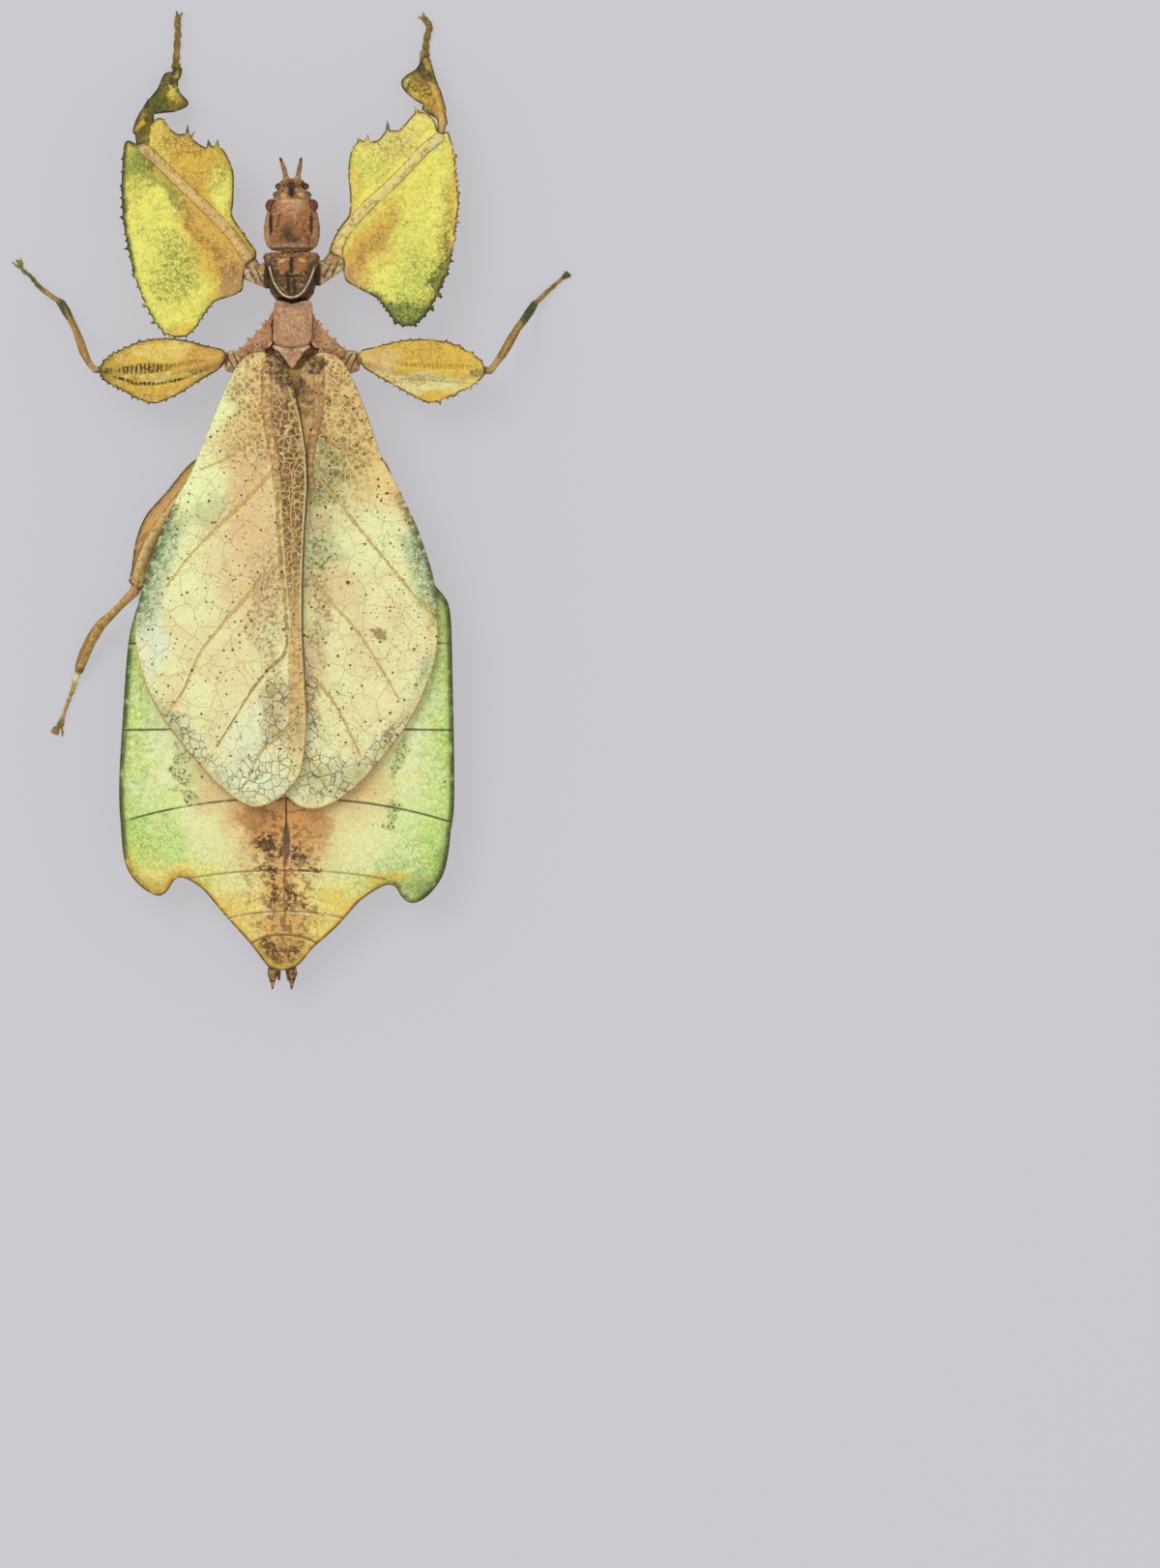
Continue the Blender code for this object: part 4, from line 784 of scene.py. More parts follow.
def capsule(shaped, start, stop, radius):
    """Adds a rod with round ends to a mesh."""
    middle, ahead = (start + stop) / 2, stop - start
    turn = ahead.to_track_quat("Z", "Y").to_matrix().to_4x4()
    made = bmesh.ops.create_uvsphere(shaped, u_segments=16, v_segments=12, radius=radius)["verts"]
    for vertex in made:
        vertex.co.z += math.copysign(ahead.length / 2, vertex.co.z) if abs(vertex.co.z) > 1e-6 else 0.0
    bmesh.ops.transform(shaped, matrix=Matrix.Translation(middle) @ turn, verts=made)


def egg(shaped, place, reach, segments=24):
    """Adds an egg shape to a mesh."""
    made = bmesh.ops.create_uvsphere(shaped, u_segments=segments, v_segments=segments // 2, radius=1.0)["verts"]
    bmesh.ops.scale(shaped, vec=reach, verts=made)
    bmesh.ops.translate(shaped, vec=place, verts=made)


def hull(shaped, balls):
    """Adds the tight wrap round several balls, each (x, y, z, radius)."""
    made = []
    for *place, radius in balls:
        ball = bmesh.ops.create_uvsphere(shaped, u_segments=14, v_segments=10, radius=radius)["verts"]
        bmesh.ops.translate(shaped, vec=place, verts=ball)
        made.extend(ball)
    wrapped = bmesh.ops.convex_hull(shaped, input=made)
    inside = [part for part in wrapped["geom_interior"] if isinstance(part, bmesh.types.BMVert)]
    bmesh.ops.delete(shaped, geom=inside, context="VERTS")


def altered(obj, kind, **settings):
    """Applies one modifier to the selected object."""
    modifier = obj.modifiers.new(kind.lower(), kind)
    for key, value in settings.items():
        setattr(modifier, key, value)
    bpy.ops.object.modifier_apply(modifier=modifier.name)


def displaced(obj, distance):
    """Moves the whole surface out along its normals by so many millimetres, or in where negative."""
    if distance:
        altered(obj, "DISPLACE", mid_level=0.0, strength=distance * MM)


def grained(obj, size, depth):
    """Gives a skin fine grains of a size and depth in millimetres."""
    clouds = bpy.data.textures.new(f"{obj.name}_grain", "CLOUDS")
    clouds.noise_scale = size * MM
    clouds.noise_depth = 1
    altered(obj, "DISPLACE", texture=clouds, strength=depth * MM)


def mark_faces(obj, paths):
    """Keeps a skin inside the solids' box and stores how far each point faces up and lies from each named path."""
    vertices = obj.data.vertices
    normals, places = np.empty(len(vertices) * 3), np.empty(len(vertices) * 3)
    obj.data.vertex_normals.foreach_get("vector", normals)
    vertices.foreach_get("co", places)
    places = boxed(places.reshape(-1, 3))
    vertices.foreach_set("co", places.ravel())
    marks = {"facing": normals.reshape(-1, 3)[:, 2] * 0.5 + 0.5}
    for key, path in (paths or {}).items():
        marks[key] = np.minimum(away_from(smooth(path, 2, closed=False), places[:, :2] / MM)[0], FAR)
    store(obj.data, marks)


def melted(name, shaped, voxel, rounds, grain=None, paths=None, swell=0.0, grow=0.0):
    """One closed fine skin over the shapes in a mesh, in millimetres: they are swollen, melted together, evened out
    in so many rounds, and drawn back until the skin stands out by its growth."""
    bmesh.ops.scale(shaped, vec=(MM,) * 3, verts=shaped.verts)
    mesh = bpy.data.meshes.new(name)
    shaped.to_mesh(mesh)
    shaped.free()
    obj = linked(name, mesh)
    bpy.ops.object.select_all(action="DESELECT")
    obj.select_set(True)
    bpy.context.view_layer.objects.active = obj
    displaced(obj, swell)
    altered(obj, "REMESH", mode="VOXEL", voxel_size=voxel * MM, use_smooth_shade=True)
    altered(obj, "SMOOTH", factor=0.6, iterations=rounds)
    displaced(obj, grow - swell)
    if grain:
        grained(obj, *grain)
    mark_faces(obj, paths)
    return obj


def cast_of(name, nodes, voxel, rounds, joints, grain, paths=None, swell=0.0, grow=0.0):
    """A melted skin over CAD nodes. Each joint is a node of the skin, a node it reaches over to, and the radius of
    the rod between them."""
    shaped = merged(nodes)
    for near_node, far_node, radius in joints:
        near, far = nearest_places(near_node, far_node)
        ahead = (far - near).normalized()
        capsule(shaped, near - ahead * radius, far + ahead * ROD_END, radius)
    return melted(name, shaped, voxel, rounds, grain, paths, swell, grow)


# Wings


def beside_path(path, points):
    """How far each point lies to the right of a path that runs along the body, at its own place along it."""
    stops = np.array(sorted((y, x) for x, y in path))
    return points[:, 0] - np.interp(points[:, 1], stops[:, 0], stops[:, 1])


# Width of a vein or of the hollow round it in millimetres, and the share that is lost towards its end
BAR = (0.36, 0.8)
SIDE_VEIN = (0.12, 0.45)
FINE_VEIN = (0.07, 0.3)
HOLLOW = (1.5, 0.4)
# Height of a wing's skin above the lower face of its solid, and its surface: height, pitch and seed of its waves
WING_LIFT = 0.52
WING_WAVES = ((0.06, 3.2, 4), (0.035, 1.3, 9), (0.012, 0.55, 12))
# The main vein's upper part, beside which the left wing is dark
FIELD_STOPS = 8


def wing_piece(node, veins):
    """One fore wing: a thin sheet with raised veins, and a soft swell between them."""
    spacing = size("leaf_spacing")
    lines = [smooth(path, 2, closed=False) for path in veins]
    if node.endswith("left"):
        lines.append(smooth(MID_VEIN, 2, closed=False))
    leaf = Leaf([node], evenly(smooth(silhouette([node])), spacing), spacing, lines)
    bar = leaf.beside(lines[0], *BAR)
    vein = np.full(len(leaf.points), FAR)
    hollow = vein
    for path in lines[1:len(veins)]:
        vein = np.minimum(vein, leaf.beside(path, *SIDE_VEIN))
        hollow = np.minimum(hollow, leaf.beside(path, *HOLLOW))
    for path in lines[len(veins):]:
        vein = np.minimum(vein, leaf.beside(path, *FINE_VEIN))
    leaf.marks["bar"] = np.minimum(bar, FAR)
    leaf.marks["vein"] = vein
    leaf.marks["main_side"] = beside_path(veins[0][:FIELD_STOPS], leaf.points)
    leaf.marks["midline"] = beside_path(SUTURE, leaf.points)
    relief = rippled(leaf.points, WING_WAVES) - 0.1 * (1 - eased(hollow))
    relief = leaf.relax(relief, 2) * eased(leaf.rim, 0.0, 1.2)
    ridge = size("vein_rise") * np.maximum(1 - eased(bar), 0.7 * (1 - eased(vein, 0.2, 1.6)))
    thin = size("rim_thickness")
    body = thin + (size("wing_thickness") - thin) * eased(leaf.rim, 0.0, 1.5)
    middle = leaf.relax(leaf.lower, 40) + WING_LIFT + relief - 0.1 * (1 - eased(leaf.rim, 0.0, 1.0))
    return leaf.build(f"{node}_skin", middle + ridge, middle - body - 0.4 * ridge)


# Stains of the wings: colour, strength, x, y, reach across and along, and the turn in degrees
LEFT_WING_STAINS = (
    ("wing_ochre", 1, -3.4, 8.6, 2.8, 3.6), ("wing_tan", 0.6, -2.9, 6.4, 1.4, 4.2),
    ("wing_ochre", 0.5, -3.4, 3, 2.8, 3.2, 10), ("wing_pink", 0.5, -3.6, 2.6, 1.8, 2.4),
    ("wing_pink", 0.7, -2.6, -0.4, 2, 3.6), ("wing_pink", 0.75, -2.8, -5.6, 2.4, 4.2),
    ("wing_pink", 0.4, -4.4, -3.2, 3.6, 2.2, 30), ("wing_pale", 1, -5.2, 7.6, 1.2, 2.8, -28),
    ("wing_pale", 0.9, -7.2, 0.9, 1.7, 2.3, -25), ("wing_pale", 0.7, -9, -4.2, 1.8, 3.4, 5),
    ("wing_mint", 0.8, -10.8, -10.4, 1.2, 3), ("wing_teal", 0.32, -6, -0.9, 2, 0.9, 25),
    ("wing_teal", 0.3, -9.3, -1.6, 1.2, 1.8, -30), ("wing_pink", 0.3, -4.5, -14.5, 1.5, 2.2),
    ("wing_strip", 0.4, -0.9, -16.8, 1.1, 2.6), ("wing_pink", 0.25, -6.4, -12, 2.4, 2),
    ("wing_mint", 0.5, -3.2, -18.6, 2.2, 2.4), ("wing_mint", 0.6, -3.6, -22.4, 3.4, 1.1, -20),
    ("wing_teal", 0.45, -9.6, -17.6, 2.6, 0.8, -50),
)
RIGHT_WING_STAINS = (
    ("wing_ochre", 1, 4, 9, 2.6, 3.6), ("wing_tan", 0.75, 4.4, 7, 2.3, 4.6, 18),
    ("wing_ochre", 0.7, 5.4, 3.2, 2.4, 3.4, 24), ("wing_strip", 0.15, 3.2, 3.2, 1.6, 2.6, 20),
    ("wing_teal", 0.75, 2.7, 1, 1.1, 1.5), ("wing_teal", 0.55, 2.9, -4.4, 1.5, 1),
    ("wing_strip", 0.25, 2.4, -2, 0.8, 2.4), ("wing_ochre", 0.7, 7.4, 2.4, 1.6, 3.6, 25),
    ("orange", 0.4, 9.1, -0.8, 0.6, 2.6, 24), ("wing_pink", 0.6, 3.6, -6.6, 2.2, 1.8),
    ("wing_pale", 0.5, 6.4, -3.6, 2.6, 2.2, 30), ("wing_ochre", 0.5, 11.4, -8.8, 0.8, 2.2),
    ("wing_pink", 0.22, 7.2, -11, 2.6, 3.6), ("wing_teal", 0.6, 10.6, -13.6, 0.6, 1.7, -16),
    ("wing_teal", 0.45, 8.8, -18.6, 2.2, 0.5, 46), ("wing_pink", 0.5, 2.2, -13, 0.8, 3.4),
    ("wing_grey", 0.5, 2.6, -22.4, 2.2, 1.1, 10), ("wing_grey", 0.4, 5.6, -21.6, 2.4, 0.7, 38),
    ("brown", 0.7, 7.1, -10.6, 0.42, 0.36),
)


def wing_finish(left):
    """The wing's colours: cream with stains, a fine net of veins, dots, green edges and grey tips."""
    f = Finish("wing_cream")
    f.coat("wing_pale", 0.45, f.blotches(3.4, 0.5, 0.1, 3))
    f.coat("wing_pink", 0.35, f.blotches(2.4, 0.54, 0.1, 11))
    f.lay(LEFT_WING_STAINS if left else RIGHT_WING_STAINS)
    side = -1 if left else 1
    base = f.patch(-2.5, 7.4, 2.3, 5, 0, 0.8) if left else f.patch(3.8, 6.4, 3.4, 6.2, 0, 0.8)
    # base: brown ground with a net of pale veinlets
    fine = f.net(0.46, 0.07, 0.3)
    cells = f.both(base, f.without(fine[0]), f.blotches(0.7, 0.44, 0.14, 21))
    f.coat("wing_tan", 0.3 if left else 0.5, base)
    f.coat("brown", 0.62 if left else 0.68, cells)
    f.mottle("dark_brown", 0.5, (0.3, 0.58, 0.05, 26), cells)
    f.coat("vein_pale", 0.6, base, fine[0])
    if left:
        strip = f.both(f.mark("main_side", 0.2, 0.4), f.mark("midline", 0.35, -0.05))
        f.coat("wing_tan", 0.85, strip, f.sharp_patch(0.4, -6, 3, 14, 0, 0.5, 0.3))
        f.mottle("brown", 0.45, (0.4, 0.5, 0.06, 95), strip, f.sharp_patch(0.6, -11, 3, 8, 0, 0.7, 0.3))
        field = f.both(strip, f.sharp_patch(0.3, 1, 3, 9.8, 0, 0.7, 0.3))
        f.coat("wing_strip", 0.9, field)
        web = f.net(0.56, 0.045, 0.35)
        dark = f.both(strip, f.without(web[0]), f.patch(0.4, 3.4, 1.6, 8, 0, 0.9))
        f.mottle("brown", 0.75, (0.4, 0.42, 0.12, 5), dark)
        f.mottle("dark_brown", 0.65, (0.3, 0.53, 0.06, 6), dark)
        f.coat("vein_pale", 0.75, strip, web[0], f.sharp_patch(0.3, -3, 3, 15))
    else:
        near = f.both(f.mark("midline", 0, 0.3), f.patch(2.6, 0.6, 1.5, 5.8, 0, 0.8))
        f.coat("wing_strip", 0.12, near)
        dark = f.both(f.without(fine[0]), f.patch(3.3, 2.6, 1.8, 3.2, 20), f.blotches(0.6, 0.5, 0.06, 7))
        f.coat("dark_green", 0.55, dark)
        f.mottle("wing_teal", 0.4, (0.9, 0.5, 0.1, 78), f.patch(3.3, 2.2, 1.8, 3, 20))
        f.mottle("dark_green", 0.7, (0.35, 0.56, 0.05, 9), f.patch(2.6, -4.4, 1.2, 2.4))
        f.coat("wing_tan", 0.7, f.mark("midline", -0.2, 0), f.mark("main_side", 0, -0.3), f.patch(1, 7.2, 2, 3.2))
        f.mottle("brown", 0.7, (0.5, 0.46, 0.1, 8), f.patch(0.9, 8.4, 1.2, 2.8))
    beside = f.either(f.patch(-1.7, -9, 1.3, 5), f.patch(-0.9, -16.6, 1, 2.4)) if left else f.either(
        f.patch(2.3, -9.6, 0.8, 3.6), f.patch(2, -16.6, 0.7, 2))
    f.mottle("brown", 0.6, (0.3, 0.54, 0.04, 73), beside)
    f.coat("wing_strip", 0.2, beside)
    # edges: a green band low on the outer side, and green dots along the rear edge
    band = f.both(f.mark("rim", 2.1, 0.9), f.patch(11 * side, -5.4, 3.4, 4.6 if left else 3, 0, 0.5))
    tiny = f.net(0.24, 0.04, 0.2)
    f.coat("wing_teal", 0.75, band)
    beads = f.net(0.4, 0.09, 0.2)
    f.mottle("wing_mint", 0.75, (0.8, 0.46, 0.06, 2), band, f.without(beads[0]))
    f.mottle("dark_green", 0.6, (0.6, 0.5, 0.06, 22), band, beads[0])
    f.mottle("dark_green", 0.85, (0.5, 0.44, 0.1, 32), f.mark("rim", 0.9, 0.1),
             f.patch(10.6 * side, -4.6, 3, 5.4, 0, 0.5))
    rear = f.both(f.mark("rim", 1.5, 0.3), f.patch(6.4 * side, -20.4, 7, 6, 0, 0.6))
    f.mottle("wing_grey", 0.5, (0.8, 0.45, 0.12, 12), rear)
    # veinlets
    wide = f.net(2.1, 0.05, 1.3)
    f.coat("vein", 0.42, wide[0], f.without(base))
    tips = f.net(0.8, 0.045, 0.6)
    tip = f.either(f.patch(0.3 + 2.4 * side, -21.9, 2.7, 2, 0, 0.8),
                   f.patch(7.8 * side, -19, 3, 0.8, 47 * side, 0.8),
                   f.patch(0.4 + 1.3 * side, -16.8, 0.9, 3.4, 0, 0.9))
    f.coat("wing_mint", 0.3, tip, f.wires.ramped(tips[1], 0.45, 0.6))
    f.coat("wing_cream", 0.3, tip, f.wires.ramped(tips[1], 0.35, 0.2))
    f.coat("brown", 0.8, tip, tips[0])
    f.mottle("brown", 0.4, (0.8, 0.58, 0.06, 14), tip, f.without(tiny[0]))
    # main veins
    edge = f.mark("vein", 2.2, 1.2)
    f.mottle("brown", 0.55, (0.5, 0.5, 0.06, 41), edge)
    f.coat("vein", 0.9, f.mark("vein", 1.1, 0.7))
    upper_half = f.sharp_patch(1.6 * side, 7, 4, 6 if left else 6.4, 0, 0.3)
    lower_half = f.without(upper_half)
    f.coat("orange_line", 0.65, f.mark("bar", 1.3, 1.05), upper_half)
    f.coat("bar_tan", 0.9, f.mark("bar", 0.85, 0.65), upper_half)
    f.mottle("orange_line", 0.2, (0.5, 0.52, 0.08, 47), f.mark("bar", 1.1, 0.8), upper_half)
    f.mottle("brown", 0.6, (0.4, 0.48, 0.06, 49), f.mark("bar", 1.6, 1.2), upper_half)
    if left:
        f.coat("vein", 0.9, f.mark("bar", 0.8, 0.5), lower_half)
        f.mottle("brown", 0.6, (0.5, 0.46, 0.06, 93), f.mark("bar", 1.2, 0.8), lower_half)
    if left:
        f.coat("vein_pale", 0.7, f.mark("midline", -0.24, -0.14), f.patch(1.2, -8, 4, 15))
        # Painted shade: the left wing's edge is darkened where it drops onto the right wing
        f.coat("suture", 0.9, f.mark("midline", -0.08, 0), f.patch(1.2, -2, 4, 14))
    else:
        # Painted shade: a thin dark band on the right wing beside the edge of the left wing, which lies over it
        f.coat("suture", 0.75, f.mark("midline", 0.16, 0.04), f.patch(1.2, -2, 4, 14))
    hinge = f.either(f.patch(-1.3, 11.1, 0.8, 0.9) if left else f.patch(2.1, 11, 0.7, 0.9),
                     f.patch(0.2, 9.4, 0.9, 1.6, 20))
    f.coat("brown", 0.65, hinge)
    f.mottle("dark_brown", 0.8, (0.35, 0.48, 0.06, 28), hinge)
    # dots
    f.coat("speck", 0.95, f.specks(0.56, 0.115, 0.8, 31))
    f.mottle("speck", 0.85, (1.8, 0.52, 0.05, 17), f.specks(0.36, 0.09, 0.85, 13))
    f.mottle("brown", 0.55, (2.6, 0.54, 0.06, 57), f.specks(0.3, 0.06, 0.8, 53))
    f.coat("speck", 0.95, f.specks(1.7, 0.15, 0.4, 45))
    f.mottle("brown", 0.6, (3, 0.5, 0.1, 98), f.blotches(0.2, 0.62, 0.03, 97))
    rear_rim = f.both(f.mark("rim", 0.2, 0.08), f.patch(4 * side, -18, 10, 8))
    f.coat("orange_line", 0.6, rear_rim)
    f.shade(f.mark("rim", 0.07, 0), 0.6)
    f.relief(wide[0], 0.03)
    f.relief(f.both(tip, tips[0]), 0.05)
    f.relief(fine[0], 0.016)
    f.weather(0.93, (0.26, 0.54, 0.1, 83), 0.9, 0.03)
    f.coat("pale_green", 0.35, f.mark("upper", 0.6, 0.4))
    return f


def build_wings():
    for word, veins in (("left", LEFT_VEINS), ("right", RIGHT_VEINS)):
        node = f"fore_wing_{word}"
        piece = wing_piece(node, veins)
        wing_finish(word == "left").dress(piece, "fore_wing", [node])


# Abdomen


def segment_paths(edge):
    """The lines between segments, from the left edge of the abdomen to its right edge."""
    paths = []
    for y, drop in SEGMENT_LINES:
        level = y + drop
        crossing = [ax + (bx - ax) * (level - ay) / (by - ay)
                    for (ax, ay), (bx, by) in zip(edge, np.roll(edge, -1, 0)) if (ay > level) != (by > level)]
        left, right = min(crossing) + 0.05, max(crossing) - 0.05
        if y == LOBE_LINE:
            left, right = LOBE_LINE_ENDS
        shares = np.linspace(-1, 1, 31)
        paths.append(np.column_stack([(left + right) / 2 + (right - left) / 2 * shares,
                                      y + drop * np.abs(shares) ** 2.2]))
    return paths


# Point spacing of the abdomen as a share of the wings', half the thickness of its flat sides, and its waves
ABDOMEN_SPACING = 1.15
ABDOMEN_HALF = 0.17
ABDOMEN_WAVES = ((0.06, 3.6, 14), (0.035, 1.2, 19))


def abdomen_piece():
    """One skin over nine segments, with a fine groove at each line between two of them."""
    nodes = [f"abdomen_{number}" for number in range(2, 11)]
    spacing = size("leaf_spacing") * ABDOMEN_SPACING
    edge = smooth(ABDOMEN_EDGE, 2)
    paths = segment_paths(edge)
    leaf = Leaf(nodes, evenly(edge, spacing), spacing, paths)
    upper, lower = leaf.relax(leaf.upper, 16), leaf.relax(leaf.lower, 16)
    middle, half = (upper + lower) / 2, (upper - lower) / 2
    thin = size("rim_thickness")
    solid = np.percentile(half, 5)
    line = np.min([away_from(path, leaf.points)[0] for path in paths], axis=0)
    leaf.marks["joint"] = line
    leaf.marks["core"] = eased(half - solid, 0.02, 0.5)
    x, y = leaf.points.T
    across = np.abs(x - MIDDLE + 0.0004 * np.maximum(0, 10 - y) ** 2)
    leaf.marks["across"] = across
    side_half = thin + (ABDOMEN_HALF - thin) * eased(leaf.rim, 0.0, 1.3)
    swell = np.maximum(half - solid, 0) + side_half
    bead = 0.06 * np.exp(-(((leaf.rim - 0.22) / 0.16) ** 2))
    relief = rippled(leaf.points, ABDOMEN_WAVES) * eased(leaf.rim, 0.0, 1.4)
    step = 0.08 * np.clip(1 - line / 0.9, 0, 1)
    depth = size("groove_depth") * (1 - eased(line, 0.0, 0.22)) - step
    inner = eased(leaf.rim, 0.5, 2.0)
    keel = 0.16 * np.exp(-((across / 0.4) ** 2)) * inner
    ridge = 0.12 * np.exp(-(((across - 2.1) / 0.3) ** 2)) * inner
    top = middle + swell + relief + bead - depth + 0.25 * keel
    bottom = middle - swell + relief - bead + depth - keel - ridge
    return leaf.build("abdomen_skin", top, bottom), nodes


ABDOMEN_STAINS = (
    ("lime", 0.6, -10.4, -26.4, 2.6, 3.4), ("gold", 0.3, -11.8, -28.8, 1.6, 1.6),
    ("lime", 0.45, 9.8, -25.4, 2.2, 2.6), ("halo", 0.85, 0.2, -22.4, 7.4, 4.4), ("halo", 0.7, -0.4, -27, 4.6, 3.6),
    ("cream_yellow", 0.6, -5.6, -27, 2.2, 2.6), ("cream_yellow", 0.6, 5.6, -27, 2.4, 2.6),
    ("tail_yellow", 1, -0.4, -34, 7.5, 4.4), ("tail_yellow", 0.8, -10.9, -30.2, 2.4, 1.3, 15),
    ("olive", 0.35, -9.8, -30.8, 1.9, 0.6, -10), ("tail_yellow", 0.8, -8, -29.6, 2.4, 0.7),
    ("lime", 0.6, -12.2, -28, 0.9, 2.2), ("cream_yellow", 0.5, -4.4, -31.2, 2, 1.2, 40),
    ("gold", 0.5, -5.2, -33, 1, 2.4, -48), ("gold", 0.45, 4.6, -32.6, 1, 2.4, 48),
    ("gold", 0.7, 7.6, -30.2, 1.8, 0.6), ("leaf_green", 0.45, 11.2, -30.9, 2, 1.3, -20),
    ("lime", 0.6, 11.8, -27.6, 1, 2.6), ("orange", 0.8, -0.9, -25.4, 3.8, 1.8),
    ("orange", 0.65, -0.3, -27.2, 2.7, 2.4), ("brown", 0.4, -2.7, -25.4, 0.9, 1.5, 10),
    ("brown", 0.22, 2.4, -25.6, 1, 1.5, -10), ("orange", 0.75, -0.8, -31.2, 1.9, 2.3),
    ("orange", 0.6, -0.6, -34, 2, 1.2), ("orange", 0.8, -0.5, -36.2, 2.4, 1.6),
    ("orange", 0.4, -0.4, -33.6, 2.6, 0.9), ("head_brown", 0.35, -0.4, -36.3, 1.6, 1),
)


def abdomen_finish():
    """Lime sides with green edges, gold rear lobes, and an orange brown middle with dark marks."""
    f = Finish("pale_green", 0.45)
    f.coat("lime", 0.7, f.mark("rim", 3.4, 0.7))
    f.coat("lime", 0.25, f.blotches(2.6, 0.52, 0.1, 6))
    f.coat("leaf_green", 0.45, f.blotches(0.4, 0.54, 0.05, 86), f.mark("rim", 5.5, 0.4))
    f.coat("tail_yellow", 0.35, f.blotches(0.8, 0.54, 0.06, 88))
    f.coat("wing_mint", 0.25, f.blotches(1.8, 0.56, 0.1, 16))
    f.lay(ABDOMEN_STAINS)
    strokes = f.net(0.3, 0.05, 0.3)
    fringe = f.either(f.patch(-8.6, -20.9, 0.7, 1.9, 10), f.patch(8.7, -20.8, 0.5, 2, -8),
                      f.patch(8.2, -25.4, 0.4, 1.4), f.patch(-8.2, -23.6, 1.5, 0.45))
    f.mottle("leaf_green", 0.4, (0.8, 0.46, 0.1, 71), fringe)
    f.mottle("dark_green", 0.8, (0.24, 0.55, 0.04, 4), fringe)
    lobes = f.either(f.patch(-10.6, -26.6, 2.4, 2.2), f.patch(10.8, -28.6, 2.4, 3))
    f.mottle("leaf_green", 0.6, (0.9, 0.46, 0.1, 15), strokes[0], lobes)
    f.mottle("dark_green", 0.6, (0.3, 0.44, 0.1, 18), f.mark("rim", 1.3, 0.1), f.patch(11.6, -29.8, 3, 2.4))
    middle = f.patch(-0.5, -30.5, 2.8, 8, 0, 0.8)
    f.mottle("brown", 0.75, (0.5, 0.53, 0.05, 25), middle)
    for x, y, reach_x, reach_y in ((-1.5, -27.7, 0.75, 1.2), (0.6, -28, 0.9, 0.7), (-1.4, -31.3, 0.8, 1.4),
                                   (0.5, -31.6, 0.5, 1.2), (-1.6, -29.2, 1.2, 0.35), (1.7, -29, 1.3, 0.3),
                                   (-1.3, -36, 1, 0.9), (0.5, -36.2, 0.8, 0.9), (-0.4, -37, 1.4, 0.3)):
        f.mottle("dark_brown", 0.85, (0.3, 0.48, 0.05, 35), f.patch(x, y, reach_x, reach_y))
    f.coat("grey_brown", 0.85, f.sharp_patch(-0.2, -27.2, 0.3, 1.5, 0, 0.35))
    f.coat("dark_brown", 0.8, f.sharp_patch(-0.22, -25, 0.09, 1.6, 0, 0.6))
    f.coat("brown", 0.85, f.sharp_patch(-0.36, -30.6, 0.07, 3.4, 0, 0.6))
    # edges
    tail = f.patch(-0.6, -33.9, 9.8, 5, 0, 0.4)
    front = f.without(tail)
    f.coat("leaf_green", 0.5, f.mark("rim", 0.9, 0.2), front)
    f.mottle("dark_green", 0.85, (1.2, 0.42, 0.1, 61), f.mark("rim", 0.5, 0.24), front)
    lobe = f.patch(-10.4, -29.6, 3.4, 2.4)
    f.coat("gold", 0.75, f.mark("rim", 1.2, 0.2), lobe)
    f.mottle("brown", 0.5, (0.5, 0.5, 0.08, 64), f.mark("rim", 0.6, 0.2), lobe)
    f.coat("gold", 0.8, f.mark("rim", 0.8, 0.1), tail)
    f.mottle("brown", 0.5, (0.5, 0.4, 0.1, 65), f.mark("rim", 0.35, 0.1), tail)
    f.mottle("dark_brown", 0.75, (0.7, 0.4, 0.1, 62), f.mark("rim", 0.2, 0.08))
    net = f.net(0.5, 0.05, 0.4)
    f.coat("leaf_green", 0.3, net[0], f.mark("rim", 4.5, 1))
    pits = f.both(f.specks(0.3, 0.06, 0.8, 63), f.blotches(1.5, 0.52, 0.06, 67))
    f.coat("dark_green", 0.45, pits)
    joint = f.mark("joint", 0.13, 0.05)
    rear = f.sharp_patch(-0.6, -35.6, 12, 7.6, 0, 0.2)
    f.mottle("dark_green", 0.85, (1.2, 0.36, 0.12, 68), joint, f.without(rear))
    f.mottle("brown", 0.6, (0.8, 0.36, 0.16, 69), joint, rear)
    f.coat("brown", 0.7, joint, f.sharp_patch(-0.4, -35.2, 3.6, 1))
    f.mottle("dark_brown", 0.8, (0.6, 0.52, 0.06, 72), joint, f.sharp_patch(-0.3, -29.4, 2.4, 0.6))
    f.coat("cream", 0.9, f.sharp_patch(1.4, -29.62, 0.5, 0.07, 6, 0.4))
    f.coat("cream", 0.8, f.mark("joint", 0.28, 0.12), f.without(joint), f.patch(-0.5, -33.3, 5, 0.6))
    f.coat("speck", 0.7, f.specks(0.6, 0.07, 0.4, 3))
    f.coat("speck", 0.75, f.specks(1.9, 0.12, 0.4, 5))
    # the underside: brown and orange plates in the middle, pale ridges and white dots
    below = f.mark("upper", 0.6, 0.4)
    core = f.both(below, f.mark("core", 0.15, 0.75))
    f.coat("tan", 0.2, below)
    f.coat("head_brown", 0.85, core)
    f.mottle("brown", 0.7, (1.1, 0.5, 0.08, 27), core)
    f.mottle("dark_brown", 0.6, (0.6, 0.6, 0.06, 37), core)
    ridge = f.both(f.mark("across", 1.8, 2.05), f.mark("across", 2.4, 2.15))
    f.coat("cream", 0.65, below, f.either(ridge, f.mark("across", 0.3, 0.1)))
    f.coat("wing_pale", 0.6, below, f.specks(0.34, 0.08, 0.7, 57))
    f.relief(net[0], 0.015)
    f.weather(0.93, (0.28, 0.54, 0.1, 83), 0.91, 0.035)
    return f


def build_abdomen():
    piece, nodes = abdomen_piece()
    abdomen_finish().dress(piece, "abdomen", nodes)


# Thighs

